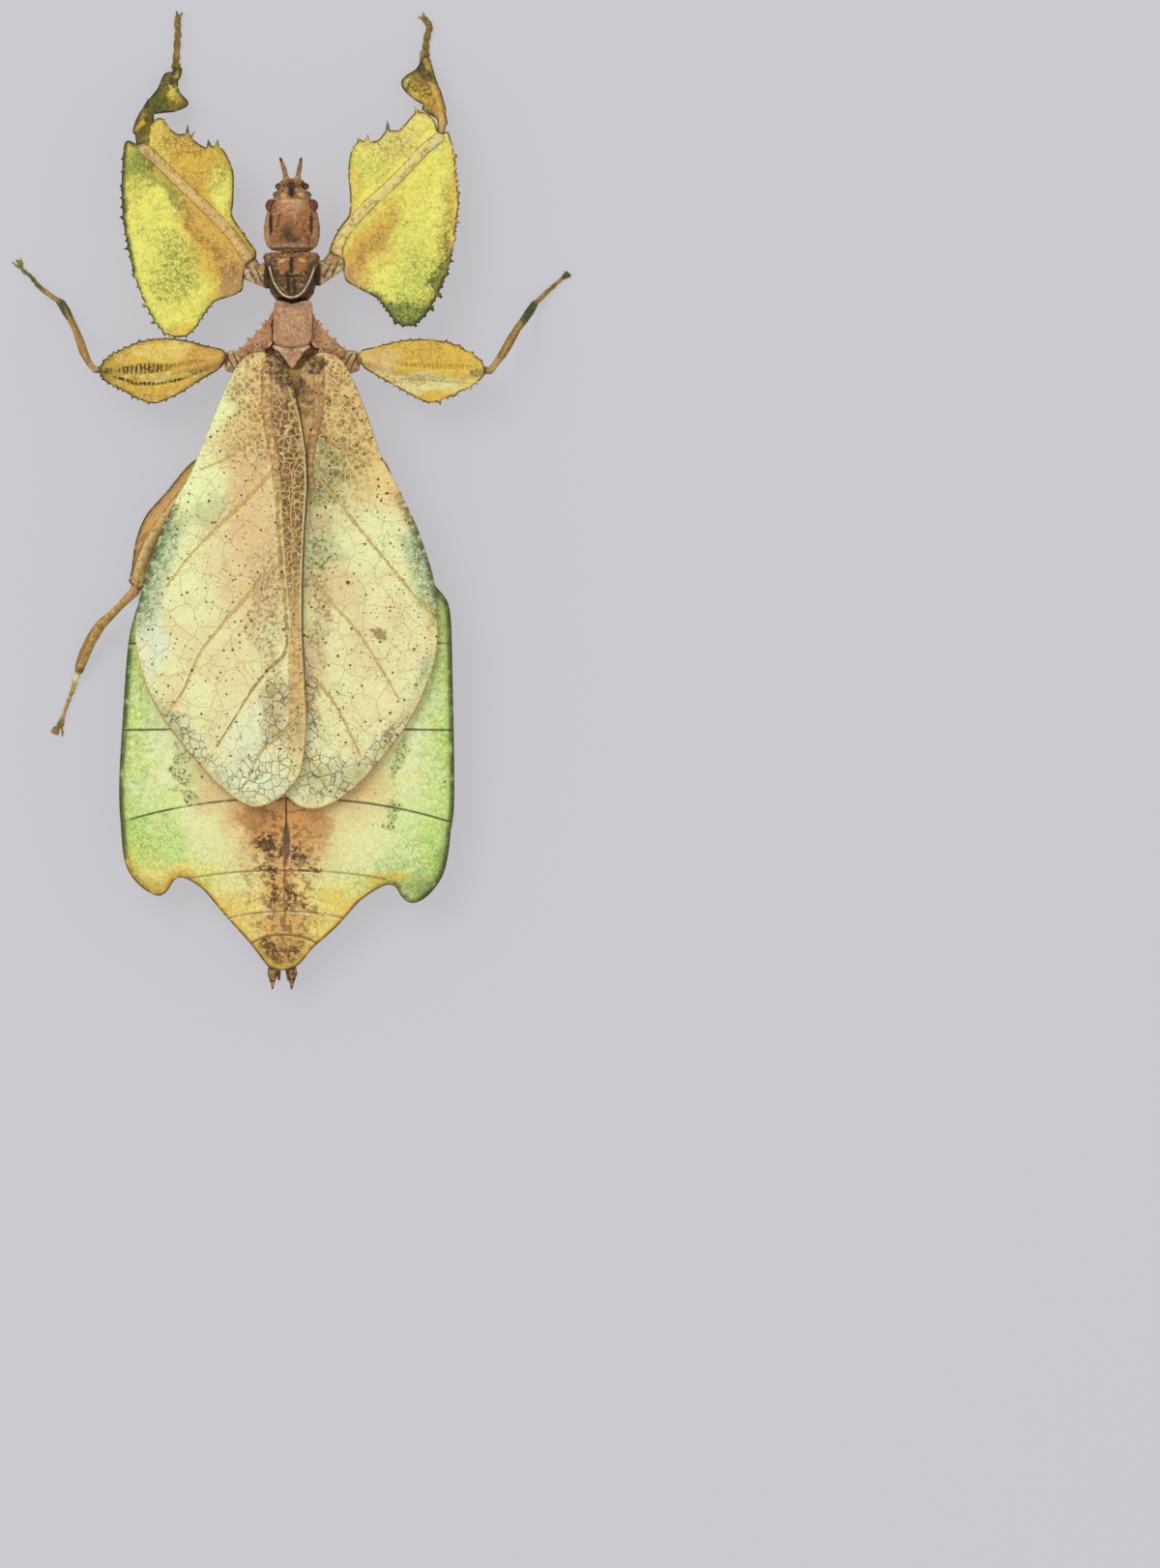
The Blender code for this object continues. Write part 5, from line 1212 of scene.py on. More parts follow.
def toothed(loop, pitch, height, bare):
    """The outline with small uneven teeth pointing outwards, except near the bare places (x, y, reach)."""
    chance = np.random.default_rng(len(loop))
    ahead = np.roll(loop, -2, 0) - np.roll(loop, 2, 0)
    x, y = loop.T
    turn = np.sign(np.sum(x * np.roll(y, -1) - np.roll(x, -1) * y))
    outwards = turn * np.column_stack([ahead[:, 1], -ahead[:, 0]]) / np.linalg.norm(ahead, axis=1)[:, None]
    spacing = np.linalg.norm(loop[1] - loop[0])
    toothed_loop = loop.copy()
    at = 3
    while at < len(loop) - 3:
        if all(math.dist(loop[at], (away_x, away_y)) > reach for away_x, away_y, reach in bare):
            toothed_loop[at] += outwards[at] * height * chance.uniform(0.6, 1.15)
        at += max(3, int(pitch / spacing * chance.uniform(0.7, 1.3)))
    return toothed_loop


# Where a thigh has no teeth: its ends, and the large teeth of the inner lobe
BARE = {
    "femur_front_left": ((-3.2, 17.6, 3.4), (-12, 28.4, 1.4), (-6.8, 28.3, 3), (-5.2, 25, 3.5)),
    "femur_front_right": ((3.8, 17.6, 3.4), (12.3, 28.9, 1.4), (8, 28.6, 3), (5.2, 25, 3.5)),
    "femur_middle_left": ((-5.2, 10.9, 1.6), (-15.8, 9.9, 0.9)),
    "femur_middle_right": ((5.8, 10.9, 1.6), (16.2, 9.9, 0.9)),
}
# Parts of an outline that the solids don't have: the knees and far ends of the front shins, and the side of the
# left hind thigh up to the wing's edge
FILLED = {
    "tibia_front_left": (
        (
            (-11.2, 31.8), (-10.75, 30.8), (-10.7, 29.9), (-10.9, 28.8), (-11.2, 27.6), (-11.95, 27.6), (-12.2, 29),
            (-11.95, 30.4),
        ),
        ((-9.3, 34.3), (-8.55, 34.3), (-8.75, 33.4), (-9.3, 33.2)),
    ),
    "tibia_front_right": (
        (
            (10.52, 30.9), (11.28, 30.4), (11.75, 30), (11.75, 28.7), (12.15, 28.5), (12.43, 29.5), (12.43, 31),
            (11.97, 32.6), (10.8, 31.8),
        ),
        ((10.3, 34.4), (10.42, 34.9), (10.6, 35.25), (11.05, 35.25), (11.28, 34.5), (11, 33.8)),
    ),
    "femur_hind_left": (((-12.5, -6.75), (-11.75, -7.2), (-11.35, -6.3), (-10.4, -3.4), (-11, -2.4), (-12.1, -4.9)),),
}


TOOTH_PITCH = 0.8
TOOTH_HEIGHT = 0.15
# Half the thickness of a lobe between its pleats, and the pleats: height, pitch and seed of each
LOBE_HALF = 0.14
PLEATS = ((0.08, 2.2, 24), (0.04, 0.8, 29))


def thigh_piece(node, spacing_share):
    """A thigh: thin lobes with soft pleats on either side of a round shaft."""
    spacing = size("leaf_spacing") * spacing_share
    loop = smooth(silhouette([node]))
    if node in FILLED:
        loop = smooth(merged_outline([loop, *(np.array(part) for part in FILLED[node])]))
    outline = evenly(loop, spacing)
    if node in BARE:
        outline = toothed(outline, TOOTH_PITCH, TOOTH_HEIGHT, BARE[node])
    leaf = Leaf([node], outline, spacing)
    upper, lower = leaf.relax(leaf.upper, 3), leaf.relax(leaf.lower, 3)
    plain = np.percentile(upper - lower, 25) / 2
    middle = leaf.relax((leaf.upper + leaf.lower) / 2, 30)
    bulge = leaf.relax(np.maximum((upper - lower) / 2 - plain, 0), 2)
    leaf.marks["shaft"] = eased(bulge / max(bulge.max(), 1e-6), 0.05, 0.75)
    thin = size("rim_thickness") * 0.7
    flesh = eased(leaf.rim, 0.0, 0.9)
    half = thin + (LOBE_HALF - thin) * flesh + bulge * (1 + (plain - LOBE_HALF) / bulge.max())
    pleat = rippled(leaf.points, PLEATS) * flesh * (1 - leaf.marks["shaft"])
    bead = 0.035 * np.exp(-(((leaf.rim - 0.14) / 0.1) ** 2))
    return leaf.build(f"{node}_skin", middle + half + pleat + bead, middle - half + pleat - bead)


def leaf_leg_finish(base, fields, bands, shaft, rim, green):
    """A lobed part of a leg: coloured fields, webs of fine dark lines, a darker rim, and a painted highlight on the
    crest of its shaft with painted shade on the shaft's flanks.
    """
    stains, webs = fields
    f = Finish(base)
    f.coat("gold", 0.3, f.blotches(1.6, 0.55, 0.12, 3))
    f.lay(stains)
    strokes = f.net(0.34, 0.05, 0.5)
    loose = f.blotches(0.6, 0.5, 0.06, 13)
    f.coat("olive", 0.35, strokes[0], loose)
    for colour, strength, x, y, reach_x, reach_y, *turn in webs:
        zone = f.patch(x, y, reach_x, reach_y, *turn, soft=0.9)
        f.coat(colour, strength * 0.25, zone)
        web = f.either(f.both(strokes[0], f.blotches(0.45, 0.44, 0.06, 19)), f.blotches(0.24, 0.6, 0.03, 23))
        f.coat(colour, strength, zone, web)
    for strength, x, y, reach_x, reach_y, *turn in bands:
        zone = f.sharp_patch(x, y, reach_x, reach_y, *turn, soft=0.5, grain=0.9)
        combed = f.both(f.comb(0.34), f.blotches(0.5, 0.4, 0.12, 49))
        f.coat("brown", strength * 0.4, zone)
        f.coat("dark_brown", strength, zone, f.either(combed, f.blotches(0.28, 0.56, 0.06, 29)))
    if shaft:
        # Painted highlight: the crest of the round shaft is painted paler, with cream glints, over its own fine brown
        # lines
        lit_crest = f.mark("shaft", 0.68, 0.85)
        f.coat(shaft, 0.75, lit_crest)
        f.mottle("brown", 0.55, (0.45, 0.56, 0.06, 33), lit_crest)
        # Painted shade: the flanks of the round shaft are darkened
        sides = f.both(f.mark("shaft", 0.42, 0.58), f.mark("shaft", 0.85, 0.72))
        f.mottle("brown", 0.85, (0.5, 0.4, 0.1, 37), sides)
        f.mottle("cream", 0.5, (0.22, 0.56, 0.05, 39), lit_crest)
    f.mottle(rim, 0.5, (1.4, 0.46, 0.12, 43), f.mark("rim", 0.5, 0.1))
    if green:
        f.mottle("dark_green", 0.85, (0.4, 0.4, 0.1, 46), f.mark("rim", 0.5, 0.15), f.patch(*green))
    f.mottle("dark_brown", 0.8, (0.5, 0.42, 0.08), f.mark("rim", 0.2, 0.08))
    f.coat("speck", 0.6, f.specks(0.45, 0.07, 0.35, 5))
    f.coat("wing_pale", 0.7, f.mark("upper", 0.6, 0.4), f.specks(0.4, 0.09, 0.6, 8))
    f.relief(strokes[0], 0.012)
    f.weather(0.93, (0.28, 0.52, 0.1, 83), 0.88, 0.05)
    return f


# Stains and webs of each lobed part: colour, strength, x, y, reach across and along, and turn
FRONT_LEFT = (
    (
        ("yellow", 1, -10.6, 20.8, 2.7, 8.4, 6), ("yellow", 0.95, -8.4, 16, 2.4, 3),
        ("orange_gold", 0.9, -5.7, 19.9, 1.3, 4.6, 38), ("hip_tan", 0.85, -3.9, 17.4, 1.5, 1.8),
        ("gold", 0.6, -8.6, 12.9, 2.6, 0.7, 20), ("gold", 0.7, -13.1, 19, 0.5, 6, 4),
        ("leaf_green", 0.8, -13.3, 23, 0.4, 4.4, 2), ("leaf_green", 0.6, -10.2, 25.2, 0.6, 3, 38),
        ("leaf_green", 0.55, -12.3, 26.8, 0.7, 1.2), ("gold", 0.8, -7.2, 26.8, 3.2, 2.2, 20),
        ("yellow", 1, -5.4, 24.4, 1, 2.2), ("orange_gold", 0.7, -8.8, 29.2, 1.4, 0.9),
        ("orange_gold", 0.7, -10.4, 28.9, 0.7, 0.9), ("olive", 0.85, -11, 27.2, 0.4, 1.4, 42),
    ),
    (
        ("dark_green", 0.62, -8.9, 18, 1.9, 2.6), ("dark_green", 0.2, -10.2, 20.6, 0.7, 1.8, 10),
        ("brown", 0.6, -7.3, 21.4, 0.6, 4.4, 38), ("brown", 0.65, -7.8, 28.2, 2.8, 0.9, 12),
        ("olive", 0.6, -5.2, 27.2, 0.8, 1.4), ("brown", 0.4, -4.9, 18, 0.7, 2.2, 38),
        ("dark_green", 0.45, -12, 25.8, 0.9, 1.8), ("brown", 0.35, -6.6, 25.6, 1.6, 1.2),
    ),
)
FRONT_RIGHT = (
    (
        ("yellow", 1, 9.5, 21, 2.6, 6, -6), ("orange_gold", 0.9, 5.6, 19, 1.3, 4.2, -38),
        ("gold", 0.6, 7.7, 22, 0.7, 3.4, -42), ("hip_tan", 0.85, 4.6, 17, 1.5, 1.6),
        ("leaf_green", 0.6, 9.5, 14.5, 3, 1.5, -12), ("leaf_green", 0.6, 7.6, 15, 1.4, 0.5, 36),
        ("leaf_green", 0.7, 12, 17.4, 0.5, 3.4, -14), ("gold", 0.7, 12.9, 22.4, 0.5, 4.8),
        ("yellow", 0.9, 6.8, 25.8, 2.6, 2.6), ("gold", 0.5, 5, 24.4, 0.6, 2.4),
        ("tail_yellow", 0.7, 9, 28.4, 2.4, 1.6), ("wing_mint", 0.8, 11.8, 28.6, 0.6, 0.6),
    ),
    (
        ("leaf_green", 0.5, 10.4, 17.4, 1.6, 2.2, -20), ("leaf_green", 0.2, 9.4, 20, 1.4, 2.4),
        ("brown", 0.5, 6.7, 19.8, 0.5, 3.8, -38), ("dark_green", 1, 9.6, 14.6, 3, 1.3, -12),
        ("dark_green", 0.9, 11.9, 17.2, 0.7, 3, -14), ("olive", 0.45, 8.6, 28.2, 2, 1),
        ("olive", 0.6, 12.4, 21, 0.6, 4.4), ("olive", 0.3, 6.4, 26.4, 1.6, 1.6),
    ),
)
MIDDLE_LEFT = (
    (
        ("orange", 0.5, -6.6, 10.8, 2.2, 1.2), ("tail_yellow", 0.55, -10.4, 11.7, 3, 0.6, 4),
        ("orange_gold", 0.5, -9.4, 8.4, 4, 0.6, 8), ("olive", 0.35, -14.4, 10.2, 1, 1.2),
        ("cream_yellow", 0.6, -10.2, 9.72, 3.6, 0.2, 3), ("tail_yellow", 0.4, -9.9, 8, 1.8, 0.5),
    ),
    (
        ("brown", 0.4, -11.6, 8.6, 2.4, 0.6, -6), ("brown", 0.4, -8, 10.3, 2.4, 0.3, 10),
        ("brown", 0.4, -12.4, 11.6, 1.4, 0.5, 20),
    ),
)
# Dark bands: strength, x, y, reach across and along, and turn
MIDDLE_LEFT_BANDS = (
    (0.95, -11.4, 10.3, 2.2, 0.42, 4), (0.4, -8, 10.75, 1.6, 0.2, 8), (0.95, -12.9, 9.4, 1, 0.13, -16),
    (1, -11.3, 9.13, 1.3, 0.14), (0.95, -9.4, 9.3, 1.2, 0.13, 12), (0.5, -7.4, 9.9, 1.2, 0.12, 22),
    (0.8, -14.5, 10.1, 0.7, 0.3),
)
MIDDLE_RIGHT = (
    (
        ("gold", 0.7, 11.4, 11.5, 4.2, 0.7, -4), ("cream_yellow", 0.8, 11, 9.2, 4.6, 0.9, -4),
        ("bar_tan", 0.7, 7, 10.9, 1.6, 1), ("gold", 0.5, 14.8, 10.4, 1.2, 1.2), ("gold", 0.7, 12, 7.9, 2.6, 0.5, -4),
        ("cream", 0.6, 10.8, 10, 4.2, 0.12, -2),
    ),
    (("brown", 0.5, 9, 9.5, 3, 0.3, 5), ("brown", 0.4, 10.4, 12, 3.6, 0.4)),
)
MIDDLE_RIGHT_BANDS = ((0.3, 11.8, 10.55, 3.2, 0.24, -2), (0.3, 11.6, 9.35, 3, 0.1, -4), (0.6, 15, 10, 0.7, 0.3))
HIND = (
    (
        ("grey_brown", 0.75, -12.2, -6.5, 0.8, 0.8), ("hip_tan", 0.6, -9.6, -0.6, 1.2, 3.2, -38),
        ("brown", 0.6, -12.1, -3.8, 0.4, 1.6, -20),
    ),
    (("brown", 0.5, -9.6, -2, 0.5, 3.4, -40),),
)
SHIN_LEFT = (
    (
        ("gold", 0.95, -8.9, 32.1, 0.5, 0.5), ("yellow", 0.9, -8.95, 33.2, 0.18, 1),
        ("leaf_green", 0.5, -9.9, 31.2, 1, 0.4, 30), ("gold", 0.7, -12.2, 29.6, 0.2, 1.6, -18),
    ),
    (
        ("dark_green", 0.95, -10.3, 33.2, 1.3, 1.9, -35), ("dark_green", 0.8, -11.2, 30.2, 0.5, 2.2, -20),
        ("dark_brown", 0.6, -9.6, 31.4, 1.2, 0.5, 20), ("dark_brown", 0.6, -10.4, 32.6, 0.4, 2.4, -38),
    ),
)
SHIN_RIGHT = (
    (
        ("orange_gold", 0.9, 11.9, 31.4, 0.4, 2.6, 15), ("gold", 0.8, 10.2, 31.9, 0.9, 0.9),
        ("dark_green", 0.85, 10.8, 34.4, 0.7, 0.9), ("yellow", 0.8, 9.4, 33.3, 0.7, 0.16, 35),
        ("tan", 0.8, 11.9, 29.6, 0.4, 0.8),
    ),
    (
        ("dark_green", 0.95, 10, 32.9, 0.8, 0.9), ("dark_brown", 0.9, 11.1, 31.6, 0.14, 2.6, 12),
        ("dark_green", 0.5, 10.6, 31.6, 0.5, 1.4, 10), ("dark_brown", 0.9, 10.9, 34.3, 0.7, 0.9),
        ("dark_green", 0.8, 9.2, 32.4, 0.3, 1.2, -30),
    ),
)


# Patches in which the rims of the front legs are green: x, y, reach across and along
GREEN_LEFT = (-13.0, 23.0, 1.6, 6.0)
GREEN_RIGHT = (9.9, 15.4, 4.4, 3.2)
# Node, slot, point spacing as a share of the wings', ground colour, stains and webs, bands, colour of the shaft's
# painted highlight, rim, green patch
LOBED = (
    ("femur_front_left", "front_femur", 0.9, "gold", FRONT_LEFT, (), "tan", "leaf_green", GREEN_LEFT),
    ("femur_front_right", "front_femur", 0.9, "yellow", FRONT_RIGHT, (), "wing_ochre", "orange_gold", GREEN_RIGHT),
    ("femur_middle_left", "middle_femur", 0.8, "gold", MIDDLE_LEFT, MIDDLE_LEFT_BANDS, None, "olive", None),
    ("femur_middle_right", "middle_femur", 0.8, "gold", MIDDLE_RIGHT, MIDDLE_RIGHT_BANDS, None, "gold", None),
    ("femur_hind_left", "hind_femur", 0.8, "ochre", HIND, (), "tan", "brown", None),
    ("femur_hind_right", "hind_femur", 0.8, "ochre", HIND, (), "tan", "brown", None),
    ("tibia_front_left", "shin", 0.6, "shin_olive", SHIN_LEFT, (), None, "dark_green", GREEN_LEFT),
    ("tibia_front_right", "shin", 0.6, "shin_gold", SHIN_RIGHT, (), None, "dark_green", GREEN_RIGHT),
)


def build_thighs():
    for node, slot, share, *looks in LOBED:
        piece = thigh_piece(node, share)
        leaf_leg_finish(*looks).dress(piece, slot, [node])


# Head, thorax and slender parts

# Edge of the raised panel on the front plate
PANEL_RIM = (
    (-1.5, 18.3), (-1.3, 17.5), (-0.95, 16.75), (-0.4, 16.1), (0.25, 15.9), (0.9, 16.1), (1.4, 16.7), (1.8, 17.5),
    (2.05, 18.3),
)
# Marks on the upper side: colour, strength, x, y, reach across and along, and turn
HEAD_MARKS = (
    ("thorax_pink", 0.7, 0.3, 23, 1.1, 0.55), ("thorax_pink", 0.4, -1.62, 21.2, 0.3, 1.7),
    ("thorax_pink", 0.3, 2.15, 21, 0.25, 1.5), ("orange_brown", 0.75, -0.3, 21.9, 0.6, 0.5),
    ("orange_brown", 0.6, 1.25, 22.3, 0.5, 0.6), ("orange_brown", 0.5, 1.2, 20.3, 0.6, 0.4),
    ("orange_brown", 0.5, -1.1, 20.4, 0.4, 0.4), ("brown", 0.8, 0.1, 20.7, 1.1, 0.8),
    ("brown", 0.8, 0.06, 21.4, 0.4, 0.5), ("dark_brown", 0.55, 0.15, 20.5, 0.75, 0.45),
    ("dark_brown", 0.5, -0.1, 21.1, 0.3, 0.4, 20), ("orange_brown", 0.6, -0.35, 20.3, 0.25, 0.2),
    ("orange_brown", 0.6, 0.75, 21, 0.25, 0.4, -20), ("thorax_pink", 0.4, 0.3, 19.9, 1.6, 0.3),
    ("tan", 0.6, 0.3, 23.5, 1, 0.14), ("dark_brown", 1, -1.38, 21.7, 0.16, 0.95),
    ("dark_brown", 0.45, -0.75, 21.9, 0.14, 0.5, -8), ("dark_brown", 0.9, 1.82, 21.7, 0.14, 0.9),
    ("dark_brown", 0.6, 1.62, 20.3, 0.1, 0.5), ("brown", 0.7, 0.24, 22.75, 0.32, 0.09),
    ("dark_brown", 1, 0.26, 24.2, 0.26, 0.45), ("dark_brown", 0.9, 0.26, 24.7, 0.5, 0.2),
    ("tan", 0.8, -0.36, 23.95, 0.24, 0.18), ("tan", 0.8, 1.02, 24, 0.24, 0.18),
    ("dark_brown", 0.6, -0.95, 24.1, 0.3, 0.2, 30), ("dark_brown", 0.6, 1.6, 24.1, 0.3, 0.2, -30),
    ("dark_brown", 0.7, 0.26, 19.75, 1.9, 0.12),
)
PRONOTUM_MARKS = (
    ("dark_brown", 0.55, -1.35, 18, 0.7, 1), ("dark_brown", 0.55, 1.95, 18, 0.7, 1),
    ("orange_brown", 0.95, -0.4, 18.4, 0.5, 0.5), ("orange_brown", 0.95, 1, 18.45, 0.52, 0.52),
    ("tan", 0.7, -0.5, 18.8, 0.3, 0.16, 20), ("tan", 0.7, 1.1, 18.85, 0.3, 0.16, -20),
    ("dark_brown", 0.35, -0.6, 17, 0.7, 0.8), ("dark_brown", 0.35, 1.15, 17, 0.7, 0.8),
    ("dark_brown", 1, 0.24, 18.5, 0.17, 0.85), ("dark_brown", 1, 0.2, 17.6, 0.95, 0.12),
    ("dark_brown", 1, 0, 16.8, 0.15, 0.85), ("dark_brown", 0.95, 0.5, 16.8, 0.14, 0.8),
    ("orange_brown", 0.5, 0.25, 19.2, 2.2, 0.12),
)
TRUNK_MARKS = (
    ("dark_brown", 0.85, 0.27, 17.4, 3, 1.9), ("tan", 0.5, -1.85, 17.8, 0.25, 0.5),
    ("dark_brown", 0.7, 0.27, 15.7, 1.3, 0.35), ("dark_brown", 0.85, -1.3, 10.9, 0.5, 0.6),
    ("dark_brown", 0.85, 1.9, 10.9, 0.5, 0.6), ("wing_tan", 0.85, 0.9, 9.4, 1.2, 1.6),
)
SHIELD_MARKS = (
    ("grey_brown", 0.5, 0.27, 15.3, 1.1, 0.25), ("orange_brown", 0.4, -0.9, 13.8, 0.2, 1.6),
    ("orange_brown", 0.4, 1.5, 13.8, 0.2, 1.6), ("head_brown", 0.3, 0.3, 12.5, 1, 0.5),
)
SCUTELLUM_MARKS = (
    ("cream", 0.8, -0.75, 11.9, 0.35, 0.2), ("cream", 0.8, 1.25, 11.9, 0.35, 0.2),
    ("orange_brown", 0.6, 0.25, 11.5, 0.3, 0.4), ("dark_brown", 0.8, -0.5, 11.2, 0.12, 0.7, 35),
    ("dark_brown", 0.8, 1.05, 11.2, 0.12, 0.7, -35),
)
# The same marks on both side plates: colour, strength, distance from the middle, y, reach
SIDE_MARKS = tuple((colour, strength, MIDDLE + side * x, y, reach, reach) for side in (-1, 1)
                   for colour, strength, x, y, reach in (
                       ("dark_brown", 0.8, 1.55, 13.7, 0.16), ("cream", 0.8, 1.6, 12.05, 0.26),
                       ("dark_brown", 0.9, 1.6, 12.05, 0.13), ("cream", 0.5, 2.7, 12.2, 0.22),
                       ("dark_brown", 0.8, 2.7, 12.2, 0.11), ("thorax_pink", 0.5, 3.0, 12.9, 0.6)))


def horn_finish(base, dark, light, grain=0.5, roughness=0.5, marks=(), rim=False, grit=0.6):
    """Hard skin: a ground colour with darker and lighter clouds, marks on the upper side, grains and pits."""
    f = Finish(base, roughness, 0.25)
    f.coat(light, 0.6, f.blotches(grain * 1.4, 0.52, 0.06, 3))
    f.coat(dark, 0.4 + grit * 0.5, f.blotches(grain * 1.1, 0.54, 0.06, 13))
    f.coat("dark_brown", grit, f.blotches(grain * 0.7, 0.55, 0.05, 63))
    f.coat("tan", grit * 0.8, f.blotches(grain * 0.65, 0.56, 0.05, 66))
    if marks:
        above = f.mark("facing", 0.45, 0.6)
        for colour, strength, x, y, reach_x, reach_y, *turn in marks:
            mask = f.sharp_patch(x, y, reach_x, reach_y, *turn, grain=2.2)
            f.coat(colour, strength, mask, above)
    if rim:
        f.coat("dark_brown", 0.6, f.mark("panel_rim", 0.3, 0.18))
        f.mottle("cream", 0.85, (0.8, 0.38, 0.12, 91), f.mark("panel_rim", 0.09, 0.04))
    f.coat("speck", 0.6, f.specks(grain * 0.5, grain * 0.12, 0.4, 5))
    f.coat("cream", 0.45, f.specks(grain * 0.45, grain * 0.1, 0.35, 25))
    f.relief(f.specks(0.17, 0.09, 0.9, 9), 0.03)
    f.weather(0.85, (0.24, 0.52, 0.08, 83), 0.74, 0.04)
    return f


# Places along each antenna
ANTENNAE = {
    "antenna_left": (
        (-0.12, 24.92, 5.35), (-0.2, 25.4, 5.4), (-0.33, 26, 5.5), (-0.5, 26.5, 5.55), (-0.63, 26.9, 5.6),
    ),
    "antenna_right": ((0.66, 24.92, 5.35), (0.74, 25.4, 5.4), (0.85, 26, 5.5), (0.94, 26.5, 5.55), (0.99, 26.9, 5.6)),
}
# Length and half width of each joint of an antenna, from the head to the tip
BEADS = (
    (0.34, 0.27), (0.2, 0.19), (0.24, 0.17), (0.18, 0.16), (0.2, 0.165), (0.2, 0.16), (0.22, 0.15), (0.24, 0.135),
    (0.4, 0.1),
)


def antenna(shaped, path):
    """Adds nine joints along a path, each a short bead wider at its far end."""
    path = smooth(path, 3, closed=False)
    run = np.concatenate([[0], np.cumsum(np.linalg.norm(np.diff(path, axis=0), axis=1))])
    scale = run[-1] / sum(length for length, _ in BEADS)
    at = 0.0
    for length, width in BEADS:
        stops = [at, at + length * scale * 0.75, at + length * scale * 1.02]
        places = [[float(np.interp(stop, run, path[:, axis])) for axis in range(3)] for stop in stops]
        hull(shaped, [(*places[0], width * 0.75), (*places[1], width * 1.3), (*places[2], width * 0.9)])
        at += length * scale


# Front hips, each of two wraps round balls (x, y, z, radius)
HIPS = {
    "coxa_front_left": (
        ((-3.4, 17.6, 4.15, 0.24), (-1.9, 18.4, 4.25, 0.36), (-1.7, 17, 4.1, 0.36)),
        ((-2.65, 18.45, 4.3, 0.38), (-3.2, 19.35, 4.4, 0.34), (-3.3, 18.5, 4.3, 0.3)),
    ),
    "coxa_front_right": (
        ((4.05, 18.2, 4.2, 0.24), (2.25, 18.65, 4.25, 0.36), (2.35, 17.2, 4.1, 0.34)),
        ((3.1, 18.8, 4.3, 0.38), (3.7, 19.7, 4.4, 0.34), (4.1, 18.75, 4.3, 0.34)),
    ),
}


# Grains of the skins: size and depth
HEAD_GRAIN = (0.16, 0.045)
MOUTH_GRAIN = (0.2, 0.04)
TRUNK_GRAIN = (0.25, 0.04)
SHIELD_GRAIN = (0.18, 0.04)
TAIL_GRAIN = (0.2, 0.025)
HIP_GRAIN = (0.2, 0.03)
LIMB_GRAIN = (0.25, 0.015)


def build_head():
    shaped = merged(["head"])
    for side, x in ((-1, -0.36), (1, 1.02)):
        egg(shaped, (x, 24.05, 5.2), (0.34, 0.3, 0.3))
        egg(shaped, (MIDDLE + side * 1.12, 24.05, 4.9), (0.42, 0.32, 0.4))
        hull(shaped, ((MIDDLE + side * 1.15, 23.75, 4.8, 0.3), (MIDDLE + side * 1.35, 22.4, 4.7, 0.34)))
    piece = melted("head_skin", shaped, 0.05, 4, HEAD_GRAIN)
    finish = horn_finish("head_brown", "brown", "orange_brown", 0.4, marks=HEAD_MARKS)
    finish.dress(piece, "body_skin", ["head"])
    shaped = merged(["mouthparts"])
    for side in (-1, 1):
        egg(shaped, (MIDDLE + side * 0.95, 24.75, 4.25), (0.42, 0.3, 0.34))
        egg(shaped, (MIDDLE + side * 0.42, 24.9, 4.1), (0.3, 0.36, 0.3))
        hull(shaped, ((MIDDLE + side * 1.1, 24.6, 4.0, 0.16), (MIDDLE + side * 0.8, 25.1, 3.9, 0.15),
                      (MIDDLE + side * 0.5, 25.25, 4.0, 0.12)))
    egg(shaped, (0.26, 24.5, 4.9), (0.3, 0.42, 0.4))
    piece = melted("mouthparts_skin", shaped, 0.04, 2, MOUTH_GRAIN)
    finish = horn_finish("dark_brown", "dark_brown", "tan", 0.25)
    finish.dress(piece, "dark_horn", ["mouthparts"])
    for node, path in ANTENNAE.items():
        shaped = bmesh.new()
        antenna(shaped, path)
        hull(shaped, ((path[0][0], 24.5, 5.2, 0.24), (*path[0], 0.2)))
        piece = melted(f"{node}_skin", shaped, 0.03, 1)
        tip = (("dark_brown", 0.8, path[-1][0], 26.9, 0.3, 0.35),)
        finish = horn_finish("antenna_brown", "brown", "tan", 0.2, marks=tip, grit=0.3)
        finish.dress(piece, "antenna", [node])
    for node, out in (("eye_left", -0.03), ("eye_right", 0.03)):
        low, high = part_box(node)
        place, reach = (low + high) / 2 / MM, (high - low) / 2 / MM
        shaped = bmesh.new()
        egg(shaped, (place.x + out, place.y, place.z + 0.3), (reach.x + 0.07, reach.y + 0.04, reach.z), 48)
        piece = melted(f"{node}_dome", shaped, 0.035, 3)
        finish = horn_finish("eye_red", "head_brown", "eye_red", 0.3, 0.18, grit=0.05)
        finish.dress(piece, "eye", [node])


# Plates and leaves made as one wrap round balls (x, y, z, radius)
SHAPES = {
    "mesopleuron_left": (
        (-3.75, 11.3, 5.2, 0.2), (-2, 11.55, 5.4, 0.22), (-2.2, 12.3, 5.4, 0.25), (-3.5, 11.9, 5.2, 0.2),
    ),
    "mesopleuron_right": (
        (4.3, 11.3, 5.2, 0.2), (2.55, 11.55, 5.4, 0.22), (2.75, 12.3, 5.4, 0.25), (4.05, 11.9, 5.2, 0.2),
    ),
    "scutellum": (
        (-1.15, 12.05, 5.9, 0.1), (1.65, 12.05, 5.9, 0.1), (0.3, 10.35, 6.1, 0.08), (0.25, 11.7, 6.12, 0.16),
        (-0.6, 11.9, 5.95, 0.16), (1.1, 11.9, 5.95, 0.16),
    ),
    "cercus_left": (
        (-1.5, -37.1, 3.12, 0.16), (-1.6, -37.6, 3.12, 0.13), (-1.05, -37.55, 3.12, 0.15),
        (-1.32, -38.84, 3.05, 0.05),
    ),
    "cercus_right": (
        (0.4, -37.1, 3.12, 0.16), (0.53, -37.6, 3.12, 0.13), (-0.02, -37.55, 3.12, 0.15), (0.18, -38.84, 3.05, 0.05),
    ),
}
